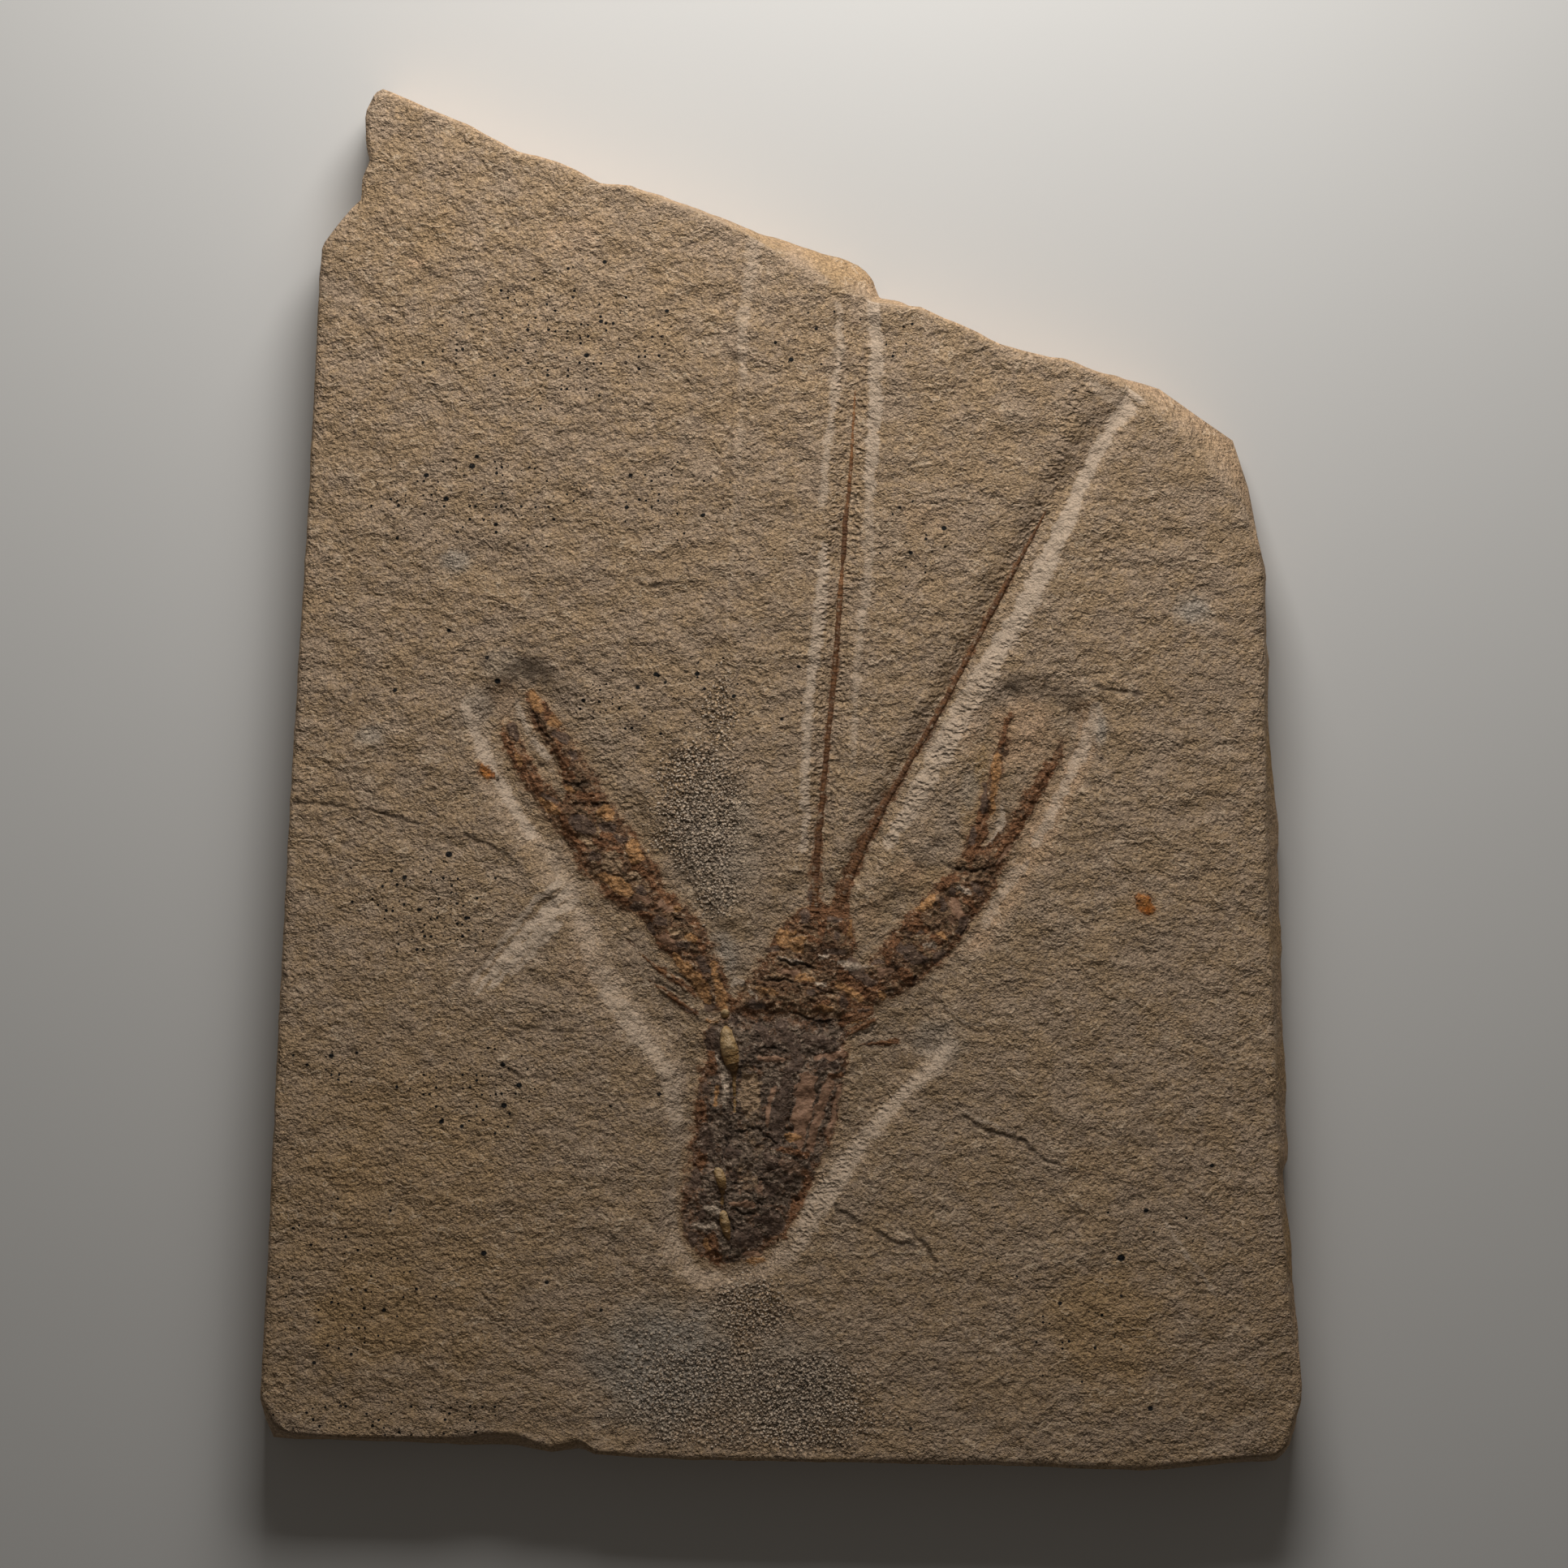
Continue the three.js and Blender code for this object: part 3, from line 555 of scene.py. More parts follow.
# Black mineral specks: x, y, radius.
SPECKS = (
    (-37.4, 81.3, 0.54), (1.8, 80.5, 0.54), (-34.6, 87.8, 0.47), (-40.9, 97.9, 0.39), (-33.9, 99.2, 0.47),
    (-59.3, 60.1, 0.62), (-68.1, 58.3, 0.54), (-64.3, 53.8, 0.58), (-29, 58.3, 0.47), (-15.1, 50.7, 0.47),
    (-22, 89.8, 0.47), (-22.9, 84.9, 0.39), (-29.7, 52.2, 0.47), (-54.8, 48.9, 0.47), (-58.4, 61.9, 0.47),
    (-63.8, 28.6, 0.47), (-56.5, 23.4, 0.47), (-54.5, 18.9, 0.62), (-74.1, 17.2, 0.47), (-24.1, 20.2, 0.54),
    (-27.6, 17.7, 0.47), (-16.2, 20.3, 0.54), (-9.2, 16, 0.47), (-38, 15.2, 0.47), (-23.2, 8.8, 0.39),
    (0, 11.6, 0.39), (-63.8, -14.3, 0.70), (-72.3, -18.7, 0.54), (-76.5, -20.4, 0.39), (-82.3, -23.4, 0.39),
    (-60.5, -26.5, 0.47), (-62.2, -23.7, 0.39), (-69.5, -24.9, 0.47), (-86.3, -52.9, 0.54),
    (-81.4, -52.3, 0.39), (-90.9, -54.6, 0.39), (-53.4, -54.6, 0.54), (-50.3, -58.5, 0.62),
    (-53.2, -62.4, 0.62), (-23.5, -60.2, 0.47), (-32.8, -62.5, 0.39), (-65.2, -65.5, 0.54),
    (-61.3, -66.4, 0.47), (-57.1, -90.7, 0.62), (-45, -96.3, 0.47), (-76.2, -101.6, 0.47),
    (-93.6, -85.9, 0.39), (-90.2, -89.1, 0.39), (-89.6, -111.7, 0.47), (-87, -108.4, 0.39),
    (-79.7, -97.8, 0.39), (-34.6, -101.6, 0.39), (65, -91.6, 0.78), (69.8, -82.5, 0.54), (53.3, -100.3, 0.47),
    (70.6, -120.4, 0.54), (24.7, -124.3, 0.39), (82.4, -73.9, 0.47), (6.6, 86.4, 0.39), (23.4, 86.9, 0.39),
    (22.2, 83.5, 0.31), (22.5, 52.2, 0.47), (24.7, 43.5, 0.47), (31.1, 48.2, 0.54), (3.2, 21.7, 0.39),
)
# Swarms of tiny specks: x, y, half width, half height, share of the full number.
SPECK_SWARMS = (
    (-42, 84, 26, 14, 0.85), (-58, 54, 24, 10, 0.9), (-20, 55, 16, 9, 0.5), (-66, -24, 17, 11, 1),
    (-56, -60, 16, 9, 0.9), (-20, 16, 24, 9, 0.6), (-88, -54, 9, 5, 0.7), (-74, -122, 24, 5, 1),
    (31, 47, 4, 4, 1), (10, 84, 20, 8, 0.3), (-80, -95, 16, 18, 0.45), (60, -95, 26, 26, 0.15),
    (22, 48, 12, 14, 0.2),
)


def blots(x: Field, y: Field, patches: Stations, seed: int, ragged: float = 0.35) -> Field:
    """Oval blots with ragged, fading edges, the strongest at each point."""
    edge = ragged * fractal(x, y, 5.0, 4, seed)
    total = np.zeros_like(x)
    for cx, cy, rx, ry, strength in patches:
        inside = 1.15 - np.hypot((x - cx) / rx, (y - cy) / ry) + edge
        total = np.maximum(total, strength * ease(inside / 0.7))
    return total


CARAPACE_MARKS = (
    *marks(Hue.BARE, -0.15, 0.8, (-6, -58, 1.9, -6.2, -61.8, 2)),
    *marks(Hue.BARE, 0, 0.4, (-6.6, -55.4, 1.4, -5.6, -65.6, 1.8, -4.8, -70.6, 1.6),
        (-7.6, -74.8, 1.6, -6.4, -77.6, 1.8)),
    *marks(Hue.CHALK, 0.35, 1, (-12.2, -53.5, 0.35, -11.1, -57, 0.5, -10.8, -60, 0.45, -11, -63, 0.4)),
    *marks(Hue.CHALK, 0.5, 1, (-14.2, -82.5, 0.7, -12.4, -82.8, 0.8)),
    *marks(Hue.CHALK, 0.2, 0.8, (-17, -85.8, 0.5, -13.2, -85.9, 0.8)),
    *marks(Hue.GAP_SHADOW, -0.5, 1, (-10.8, -68.5, 0.2, -10.4, -70, 0.25, -11, -71.5, 0.25, -11.8, -74, 0.2),
        (-3.5, -51.2, 0.3, -1, -51.5, 0.4, 0.5, -52, 0.3),
        (2, -44.5, 0.3, 5, -46, 0.45, 8, -46.2, 0.45, 11, -46, 0.35),
        (-9, -67.5, 0.25, -6, -66.8, 0.35, -3.5, -68, 0.3, -1, -69.5, 0.25),
        (-7, -78.8, 0.22, -5, -80.3, 0.25, -3.8, -81.5, 0.2),
        (-9, -82.5, 0.3, -7, -83.3, 0.4, -5.2, -83.5, 0.3),
        (-11.4, -80.2, 0.2, -9.6, -84.5, 0.2, -9.2, -87.5, 0.2, -10.4, -91.5, 0.2)),
    *marks(Hue.GAP_SHADOW, -0.3, 1, (-10.2, -57.5, 0.16, -9.9, -61, 0.2, -10.2, -64.5, 0.2, -9.9, -67.5, 0.2),
        (-10, -74, 0.2, -7.5, -73.8, 0.2), (-10.3, -77.3, 0.22, -7, -77.2, 0.25),
        (2.9, -73.8, 0.2, 0.2, -74.6, 0.22, -3.6, -74.8, 0.2)),
    *marks(Hue.DUSK, -0.5, 1, (-2.8, -78.6, 1.1, -1.6, -78.6, 1.1)),
    *marks(Hue.DUSK, 0.1, 1, (7.4, -54.8, 0.6, 10.6, -54.8, 0.6)),
    *marks(Hue.DUSK, 0.2, 1, (-9.3, -46.3, 0.8), (-14.6, -58.6, 0.5, -14.6, -59.9, 0.5),
        (-14.4, -67.4, 1.2, -14.7, -70.5, 1.2), (-4.2, -47.6, 1, -3, -49.6, 1.2, -1.6, -50.2, 0.8),
        (-3, -72, 0.9), (-16.5, -75.4, 0.9, -16.6, -77.4, 0.9), (-15, -79.5, 0.9), (-15.5, -83.6, 1),
        (-17.2, -87.6, 0.9, -17.2, -89.2, 0.7), (-9.2, -75.8, 0.8)),
    *marks(Hue.DUSK, 0.35, 1, (-13.6, -48.8, 1.1, -13.5, -51, 1.2), (5, -49.7, 1.1, 9.3, -50, 1.1),
        (1, -57, 1, 0.5, -60, 1.3, -0.5, -64, 1.4, -0.8, -67, 1.2, -1, -70, 0.8),
        (-2.4, -84.6, 1.9, -1.2, -85.4, 1.8), (0.6, -76.5, 0.8, 1.4, -76.4, 0.8),
        (-2.6, -73.2, 1, -1.4, -73.2, 1), (-10, -71.5, 1.1, -8.9, -71.5, 1.2), (-4.6, -84.5, 0.9)),
    *marks(Hue.DUSK, 0.5, 1, (0, -46.6, 1, 0.6, -49, 1.3, 2.5, -51, 1.4, 3, -54, 1.1, 1.5, -55.5, 0.7),
        (-8.4, -88, 1.9, -5.6, -88, 1.8)),
    *marks(Hue.OCHRE, 0.1, 1, (-14.4, -88.6, 0.6, -13.9, -90.1, 0.6)),
    *marks(Hue.OCHRE, 0.2, 1, (-12.5, -59, 0.45, -12.5, -62, 0.45), (-6, -92.4, 0.5, -4, -92.2, 0.5)),
    *marks(Hue.OCHRE, 0.35, 1, (1.4, -68.5, 0.9, 2.6, -68.4, 0.9)),
    *marks(Hue.PLATE, 0.1, 1, (-1.6, -59, 0.4, -2.4, -63, 0.6, -2.8, -66.5, 0.4)),
    *marks(Hue.PLATE, 0.2, 1, (6.4, -53.1, 0.6, 11.4, -53, 0.7),
        (11.2, -58.5, 0.5, 10, -64, 0.5, 8.8, -68, 0.4), (-7, -90.9, 0.6, -4.5, -90.9, 0.6)),
    *marks(Hue.PLATE, 0.35, 1, (-4.6, -53.6, 0.4, -2.3, -53.3, 0.7, 0.2, -53.6, 0.4),
        (4.9, -57.3, 1.5, 4.6, -60, 1.9, 3.7, -65, 1.8, 3, -69.5, 1.3),
        (9.2, -58, 0.9, 7.5, -62, 1, 6, -68, 0.9, 5.3, -71, 0.8), (-9.4, -81.4, 0.5, -5.8, -81.2, 0.6)),
    *marks(Hue.PLATE, 0.1, 0.55, (0.6, -73.6, 1.4, 3.2, -74.6, 1.2), (-4.6, -78.4, 1.2)),
    *marks(Hue.RUST, 0.1, 1, (-13.5, -52.5, 0.75, -13, -56, 0.7),
        (-0.3, -70.5, 0.5, 2, -71, 0.5, 5, -72.4, 0.5),
        (4.5, -75.5, 0.6, 5.1, -78, 0.7, 3.4, -80.5, 0.8, 2.6, -82.5, 0.8),
        (2.6, -82.5, 0.8, 1.8, -84.5, 0.6, 0.5, -86.5, 0.6, 0.2, -88, 0.5)),
    *marks(Hue.RUST, 0.2, 1, (-15.5, -62.5, 0.9, -15.2, -64.8, 0.7), (-15.4, -71.8, 1, -15.7, -74.2, 1),
        (9.4, -56.6, 0.5, 11.6, -56.4, 0.5)),
    *marks(Hue.RUST, 0.35, 1, (-13.4, -88.6, 1.5, -13.6, -90.6, 1.4, -12.6, -92.2, 0.8)),
    *marks(Hue.RUST, 0, 0.4, (-14.2, -54, 1.4, -15.4, -62, 1.7, -16.2, -70, 1.8, -17.4, -78, 1.8),
        (-17.4, -78, 1.8, -17.6, -85, 1.6, -14.8, -90, 1.6)),
)
HEAD_MARKS = (
    *marks(Hue.BARE, 0.1, 0.9, (4.2, -36.9, 0.6, 6.4, -37.6, 0.6)),
    *marks(Hue.CHALK, 0.2, 1, (-9.2, -38.8, 0.5, -7.8, -38.8, 0.5)),
    *marks(Hue.CHALK, 0.35, 0.8, (6.9, -39, 0.5, 8.2, -39, 0.5)),
    *marks(Hue.CHALK, 0.2, 0.65, (11, -35.5, 0.5, 16, -36, 0.6)),
    *marks(Hue.GAP_SHADOW, -0.5, 1, (-0.5, -34.4, 0.35, 3, -35.2, 0.5, 6, -36.2, 0.35),
        (-2.4, -38.6, 0.2, 0.4, -38.4, 0.3, 2.6, -38.8, 0.2),
        (3.8, -39.6, 0.2, 6.2, -40, 0.25, 9.6, -40.8, 0.2)),
    *marks(Hue.DUSK, 0.1, 1, (10.5, -30, 0.8), (-5.4, -42.6, 0.8, -4, -43.6, 0.7)),
    *marks(Hue.DUSK, 0.2, 1, (-2.8, -32.6, 0.6, -1.2, -32.4, 0.7), (4.9, -41, 0.5, 6.1, -41, 0.5),
        (4.5, -25.8, 0.9, 4.5, -26.9, 0.9), (9.6, -26.8, 0.7, 11, -26.8, 0.7),
        (8.8, -33, 0.7, 11.8, -33, 0.7), (6.1, -20, 0.5, 6, -24, 0.8)),
    *marks(Hue.DUSK, 0.35, 1, (11.8, -42.2, 0.8, 11.8, -43.4, 0.8)),
    *marks(Hue.DUSK, 0.2, 0.9, (13.6, -35.4, 1.2, 15.4, -37.6, 1.3, 17.2, -38.6, 1)),
    *marks(Hue.OCHRE, 0.1, 1, (13.2, -40.6, 0.6, 15, -42, 0.5), (13.3, -27, 0.4, 13.2, -30, 0.5)),
    *marks(Hue.OCHRE, 0.35, 1, (0, -29.3, 0.7, 2.2, -29.3, 0.7), (2.8, -31, 0.8, 4.2, -31, 0.8)),
    *marks(Hue.OCHRE, 0.25, 0.75, (-3.8, -40.2, 0.9, -1.6, -41, 0.8), (0.2, -30.6, 1.2, 3.6, -32, 1.3),
        (3.2, -37.8, 0.8, 5.6, -38, 0.8), (10.8, -39.4, 0.8, 12.8, -40.4, 0.8),
        (7.4, -43.4, 0.6, 9.6, -44.2, 0.5)),
    *marks(Hue.CHALK, 0.3, 0.7, (-0.6, -34, 0.4, 1.8, -34.4, 0.55, 4, -35.2, 0.4),
        (7.2, -33.4, 0.5, 8.8, -34, 0.4), (-6.2, -40.6, 0.4, -4.8, -41.6, 0.4)),
    *marks(Hue.PLATE, 0.2, 1, (-0.6, -37, 0.5, 2.8, -37.2, 0.6)),
    *marks(Hue.RUST, 0.1, 1, (5.8, -30.7, 0.6, 7.4, -30.7, 0.6), (8.2, -24.8, 0.9, 7.6, -28.6, 1)),
    *marks(Hue.RUST, 0.2, 1, (12.2, -37.6, 1.6, 14.4, -39.4, 1.9, 16.6, -40.6, 1.8), (12, -28.5, 1.1),
        (11.4, -20.5, 0.6, 11, -25, 0.9), (6.2, -43.6, 0.7, 9, -43, 0.6)),
    *marks(Hue.RUST, 0.1, 0.9, (13, -42.8, 1.1, 15.6, -43.6, 0.9)),
    *marks(Hue.RUST, 0.2, 0.9, (11.8, -46.4, 1.2, 14.2, -45.6, 1.3, 16.8, -44, 1.1)),
    *marks(Hue.RUST, 0, 0.8, (19.6, -5, 1.1, 15.6, -12.6, 1.4, 12.2, -20, 1.7, 11, -25, 2)),
    *marks(Hue.RUST, 0.1, 0.8, (-11, -41.6, 0.9, -9.4, -42.6, 1)),
    *marks(Hue.RUST, 0, 0.65, (10.6, 27, 0.7, 9, 9, 0.7, 7.6, -6, 0.75, 6.6, -16, 1.1, 6.2, -25, 1.7),
        (48.6, 47.6, 0.4, 42.2, 36.2, 0.8, 37.8, 27.8, 0.7, 29, 11, 0.8, 19.6, -5, 1.1)),
    *marks(Hue.RUST, 0.1, 0.55, (2.6, -27, 1.2, 0.2, -29.8, 1, -1.8, -33.6, 0.8)),
)
LEFT_CLAW_MARKS = (
    *marks(Hue.BARE, 0.1, 1, (-38, -11.4, 0.7, -36.4, -12.8, 0.8), (-33.4, -16.4, 0.9, -31.6, -16.6, 0.9),
        (-28.6, -18.4, 0.9, -27.6, -19.2, 0.7), (-21.4, -29, 0.7, -19.8, -29, 0.7)),
    *marks(Hue.BARE, 0.2, 1, (-33.6, -14.8, 0.7, -31.4, -14.4, 0.8)),
    *marks(Hue.GAP_SHADOW, -0.5, 1,
        (-47.9, 13.8, 0.2, -47.3, 11.8, 0.28, -46.6, 10, 0.25, -45.5, 8.8, 0.3, -44.3, 7, 0.2),
        (-41.8, -0.4, 0.25, -39.6, -0.8, 0.35, -37.6, -0.4, 0.3, -36.4, -1, 0.22),
        (-36.2, -4.6, 0.25, -34.6, -4.8, 0.45, -33.4, -5, 0.25),
        (-50, 6.4, 0.2, -49, 5.8, 0.3, -48.1, 4.8, 0.25), (-47.8, 4.2, 0.35, -46.4, 3, 0.5, -45.2, 2.6, 0.4),
        (-43.2, -3.5, 0.3, -42.2, -4.2, 0.25), (-20.6, -26.2, 0.2, -18.6, -27, 0.35, -18, -27.2, 0.25)),
    *marks(Hue.GAP_SHADOW, -0.3, 1, (-45.4, 14.2, 0.3, -44.8, 13.3, 0.3)),
    *marks(Hue.DUSK, -0.15, 1, (-45.6, -3, 0.5, -43.8, -4.2, 0.5)),
    *marks(Hue.DUSK, 0.1, 1, (-40.2, 5.2, 0.6, -39.8, 4, 0.6), (-36.6, -14.6, 0.7, -35.2, -15.2, 0.5),
        (-31.6, -10.6, 0.5, -30.2, -11.6, 0.5), (-34.2, -8.6, 0.8, -32.6, -9.2, 0.8),
        (-23.8, -27, 0.9, -22.8, -27.4, 0.7), (-25, -28.4, 0.7, -24.6, -29.2, 0.6),
        (-19.4, -31.4, 0.8, -18.4, -31.6, 0.7), (-14.2, -41.2, 1, -14, -43.8, 0.9)),
    *marks(Hue.DUSK, 0.2, 1, (-52.2, 10.6, 0.8, -51.4, 9, 0.9, -50.9, 8.2, 0.6),
        (-39.4, -8, 1.2, -37, -9.2, 1.3), (-28.2, -24.2, 0.7, -26, -24.6, 0.7)),
    *marks(Hue.DUSK, 0.35, 1, (-43.2, 8.6, 1, -41.9, 7.9, 1)),
    *marks(Hue.DUSK, 0.2, 0.9, (-27.2, -21, 0.8, -26, -21.4, 0.6)),
    *marks(Hue.DUSK, 0.1, 0.8, (-15.6, -34.6, 0.8, -14.2, -37, 0.7)),
    *marks(Hue.OCHRE, 0.1, 1, (-50.8, 4.8, 0.5, -50, 3.2, 0.6), (-20.2, -24.8, 0.5, -19.2, -25, 0.4),
        (-18, -30, 0.6, -16.8, -30.8, 0.5)),
    *marks(Hue.OCHRE, 0.2, 1, (-47.9, 17, 0.5, -47.6, 15.4, 0.9, -46.6, 13.2, 0.7),
        (-40.4, -1.6, 0.6, -39.6, -2, 0.5)),
    *marks(Hue.OCHRE, 0.35, 1, (-34.2, -6.2, 1.1, -33, -6.8, 1), (-28.6, -12.6, 1.1, -27.8, -14.8, 1.3),
        (-35, -18.2, 0.5, -33, -19.4, 1.1, -31, -20.6, 1.2, -29.4, -21.4, 0.8),
        (-13.3, -35.4, 0.6, -12.2, -39.2, 0.9, -11.4, -43.8, 0.8)),
    *marks(Hue.OCHRE, 0.5, 1, (-20.2, -34, 0.9, -17.6, -36.8, 1.2, -15.6, -39.6, 1.25, -14, -42.4, 0.9)),
    *marks(Hue.OCHRE, 0.1, 0.9, (-44, 11.3, 0.9, -42.8, 10.6, 0.7)),
    *marks(Hue.OCHRE, 0.2, 0.9, (-46.3, -4, 0.5, -44.6, -5.4, 0.7, -43.4, -6.6, 0.7)),
    *marks(Hue.PLATE, 0.2, 1, (-28, -22.6, 0.8, -26, -22.8, 0.7), (-23, -24.2, 0.8, -21.4, -24.8, 0.7),
        (-23, -30.6, 0.9, -21, -31.4, 1, -20.4, -32.4, 0.7)),
    *marks(Hue.RUST, 0.1, 1, (-45.8, 14.2, 0.8, -44.8, 12.4, 1),
        (-43.2, 6.8, 0.8, -42, 3.4, 0.9, -40.8, 3, 0.8), (-41.5, 1.2, 0.9, -40.4, 0.8, 0.8),
        (-31.8, -12.8, 0.7, -30.8, -13.6, 0.6), (-27.6, -16.6, 1, -25.8, -18, 0.8, -24.6, -20.2, 0.6),
        (-34.2, -20.6, 0.6, -32.6, -22.2, 0.8, -30.6, -23, 0.9, -29.4, -23.6, 0.7),
        (-24.2, -20.6, 0.5, -22.6, -22, 0.7, -21.6, -23.2, 0.8),
        (-16.6, -30.6, 0.7, -15.2, -32, 0.7, -15, -33.2, 0.6)),
    *marks(Hue.RUST, 0.2, 1, (-38.5, -3, 1.1, -36, -3.3, 1.1),
        (-53, 8.6, 0.6, -52.2, 6.4, 0.8, -51.2, 4.6, 1, -49.8, 2.6, 1.1),
        (-49.2, 1.4, 0.9, -47.6, -0.6, 1, -46.2, -2.4, 0.9),
        (-43.2, -6, 0.8, -41.4, -8.6, 0.9, -39.8, -11.2, 0.9, -38.6, -13, 0.7),
        (-35.6, -11.8, 0.8, -34, -13, 0.9, -33.2, -13.4, 0.7), (-34, -10.2, 0.8, -32, -11.2, 0.8),
        (-26.4, -25.6, 0.7, -24.8, -26.8, 0.8)),
    *marks(Hue.SCRAPED, 0.1, 0.8, (-47.4, 7.4, 0.6, -46, 5.6, 0.9, -44.8, 4.4, 0.7)),
    *marks(Hue.SCRAPED, 0.1, 0.65, (-50.6, 15.4, 0.6, -49.6, 11.4, 0.9, -48.7, 9.4, 0.7)),
)
RIGHT_CLAW_MARKS = (
    *marks(Hue.CHALK, 0.2, 0.8, (34, -20.6, 0.5, 35.8, -21.4, 0.45)),
    *marks(Hue.CHALK, 0.2, 0.65, (27.6, -32, 0.5, 29.6, -32, 0.4)),
    *marks(Hue.GAP_SHADOW, -0.5, 1,
        (32.6, -16.9, 0.35, 34, -17.4, 0.45, 36.4, -17.4, 0.5, 39, -17.2, 0.45, 40.4, -17, 0.3),
        (36.7, -26.6, 0.16, 35.6, -28.4, 0.22, 34.6, -30, 0.22), (25.8, -38, 0.3, 25, -39.4, 0.3)),
    *marks(Hue.GAP_SHADOW, -0.3, 1, (37, -8, 0.3, 38.4, -8, 0.3), (46, -6.4, 0.4, 45, -6.3, 0.3)),
    *marks(Hue.GAP_SHADOW, -0.15, 1, (42.6, 6.5, 0.3, 42.3, 5.6, 0.35)),
    *marks(Hue.DUSK, -0.3, 1, (21.4, -40.6, 0.5, 20.2, -40.8, 0.4)),
    *marks(Hue.DUSK, 0.1, 1, (39, -1, 0.5, 38.8, -4.4, 0.7, 38.6, -6, 0.7), (36.8, -9.4, 0.5, 36.4, -12, 0.6),
        (36.8, -20, 0.7, 38.4, -21.6, 0.6), (32.6, -21.4, 0.8), (31, -23.2, 0.7, 31, -25, 0.5),
        (26.8, -28.8, 0.5, 25.6, -29.4, 0.4), (18.6, -34.8, 0.7, 17.4, -35, 0.5)),
    *marks(Hue.DUSK, 0.2, 1, (35, -27, 1, 34, -29, 1), (29.6, -34, 0.9, 31, -33.4, 0.8)),
    *marks(Hue.DUSK, 0.35, 1, (22.8, -32.6, 1.2, 24.6, -33.2, 1.6, 26.6, -34.6, 1)),
    *marks(Hue.OCHRE, 0.2, 1,
        (41.4, 4.6, 0.6, 41, 2, 0.8, 41.1, 0, 0.7, 40.9, -2, 0.6, 40.5, -4.4, 0.5, 40.3, -6.4, 0.4),
        (30.6, -29.6, 0.6, 31.4, -30.2, 0.4)),
    *marks(Hue.OCHRE, 0.2, 0.9, (18.8, -41, 0.7, 19.8, -41.8, 0.4)),
    *marks(Hue.OCHRE, 0.35, 0.9, (29, -22.4, 0.8, 28, -23.6, 0.9, 26.6, -25, 0.9)),
    *marks(Hue.PLATE, 0.1, 1, (43.6, -12.8, 0.5, 42.8, -14, 0.5, 41.4, -16, 0.4)),
    *marks(Hue.PLATE, 0.2, 1, (32.6, -26.8, 0.8), (21, -36.4, 0.7, 19, -37, 0.7)),
    *marks(Hue.PLATE, 0.35, 1, (33, -23.6, 1.1, 34.6, -25.6, 1.1)),
    *marks(Hue.RUST, 0.1, 1, (43.2, 11.4, 0.5, 42.8, 9, 0.6, 42, 7, 0.7),
        (38.6, -6.6, 1, 38.4, -9.6, 1.1, 37.6, -11.6, 1.1, 36.8, -13.4, 0.9, 36, -14.6, 0.8),
        (49, -2.8, 0.6, 47.6, -4.6, 0.7, 47, -6.4, 0.8),
        (45.8, -8, 1, 45, -9.4, 1, 43.8, -11, 0.8, 42.6, -12.6, 0.7, 41, -14.4, 0.7),
        (35.6, -23, 0.8, 36.6, -24.4, 0.5), (24.6, -28, 1, 28, -28.6, 1),
        (29.4, -30.6, 0.7, 30.6, -31.2, 0.6), (21.4, -31.4, 0.8, 22.6, -30.6, 0.7),
        (20.4, -33, 0.8, 20.2, -34.6, 0.8), (15.6, -38.4, 0.9, 17, -38.6, 0.9, 18.6, -39.4, 0.7)),
    *marks(Hue.RUST, 0.2, 1, (33, -18.8, 0.7, 31.4, -19.6, 1, 30.4, -20.8, 0.9),
        (26.4, -25.4, 0.7, 25.6, -27, 0.9), (23.6, -37.4, 1.2, 24.6, -38.4, 1.1)),
    *marks(Hue.RUST, 0.1, 0.8, (52.5, 3.4, 0.4, 51.2, 1.4, 0.6, 49.6, -1.8, 0.6)),
    *marks(Hue.SCRAPED, 0.1, 0.8, (42.4, -4.6, 0.6, 42.4, -8.2, 0.9, 41, -11, 0.8, 39.6, -13, 0.6)),
)
LEG_MARKS = (
    *marks(Hue.GAP_SHADOW, -0.5, 1, (-20.8, -36.9, 0.25, -19, -38, 0.35, -17.4, -39, 0.3, -16, -40.6, 0.25),
        (-25.6, -38.2, 0.2, -23.8, -39, 0.28, -21.6, -39.8, 0.3, -20.2, -41, 0.2),
        (13.2, -49.6, 0.15, 16, -48.4, 0.25, 18, -47.2, 0.2)),
    *marks(Hue.GAP_SHADOW, -0.3, 1, (-27.4, -32.6, 0.14, -25, -34, 0.2, -24, -34.6, 0.35),
        (-16.6, -45.9, 0.2, -14.4, -46.6, 0.2)),
    *marks(Hue.DUSK, 0.1, 1, (-19, -43.4, 0.35, -17, -44.4, 0.4), (14.8, -44.6, 0.3, 16.6, -43.9, 0.3),
        (16.8, -50.6, 0.6)),
    # A dark patch painted as the shadow beside the left front leg.
    *marks(Hue.DUSK, -0.5, 0.8, (-29.6, -30.6, 0.4, -28.2, -31.4, 0.4)),
    *marks(Hue.OCHRE, 0.1, 0.9, (13.6, -46.9, 0.4, 15.2, -45.9, 0.3)),
    *marks(Hue.OCHRE, 0.2, 0.9, (-14.6, -46.2, 0.3, -12.4, -46.6, 0.3)),
    *marks(Hue.RUST, 0.2, 1, (14, -45, 0.6, 16.4, -44.4, 0.7)),
    *marks(Hue.RUST, 0.35, 1,
        (-23.6, -36.2, 0.5, -21.6, -37.6, 0.6, -20, -38.6, 0.6, -18.4, -39.6, 0.6, -16.6, -41, 0.5),
        (-23.6, -39.9, 0.35, -21.8, -41, 0.45, -20, -42.4, 0.5, -18.6, -43.6, 0.45, -16.4, -45, 0.45),
        (13, -48.6, 0.3, 15, -47.4, 0.5, 17.4, -46.3, 0.5)),
    *marks(Hue.RUST, 0.2, 0.9, (18.4, -50.6, 0.5, 21, -50.4, 0.6, 22.4, -50.4, 0.4)),
)
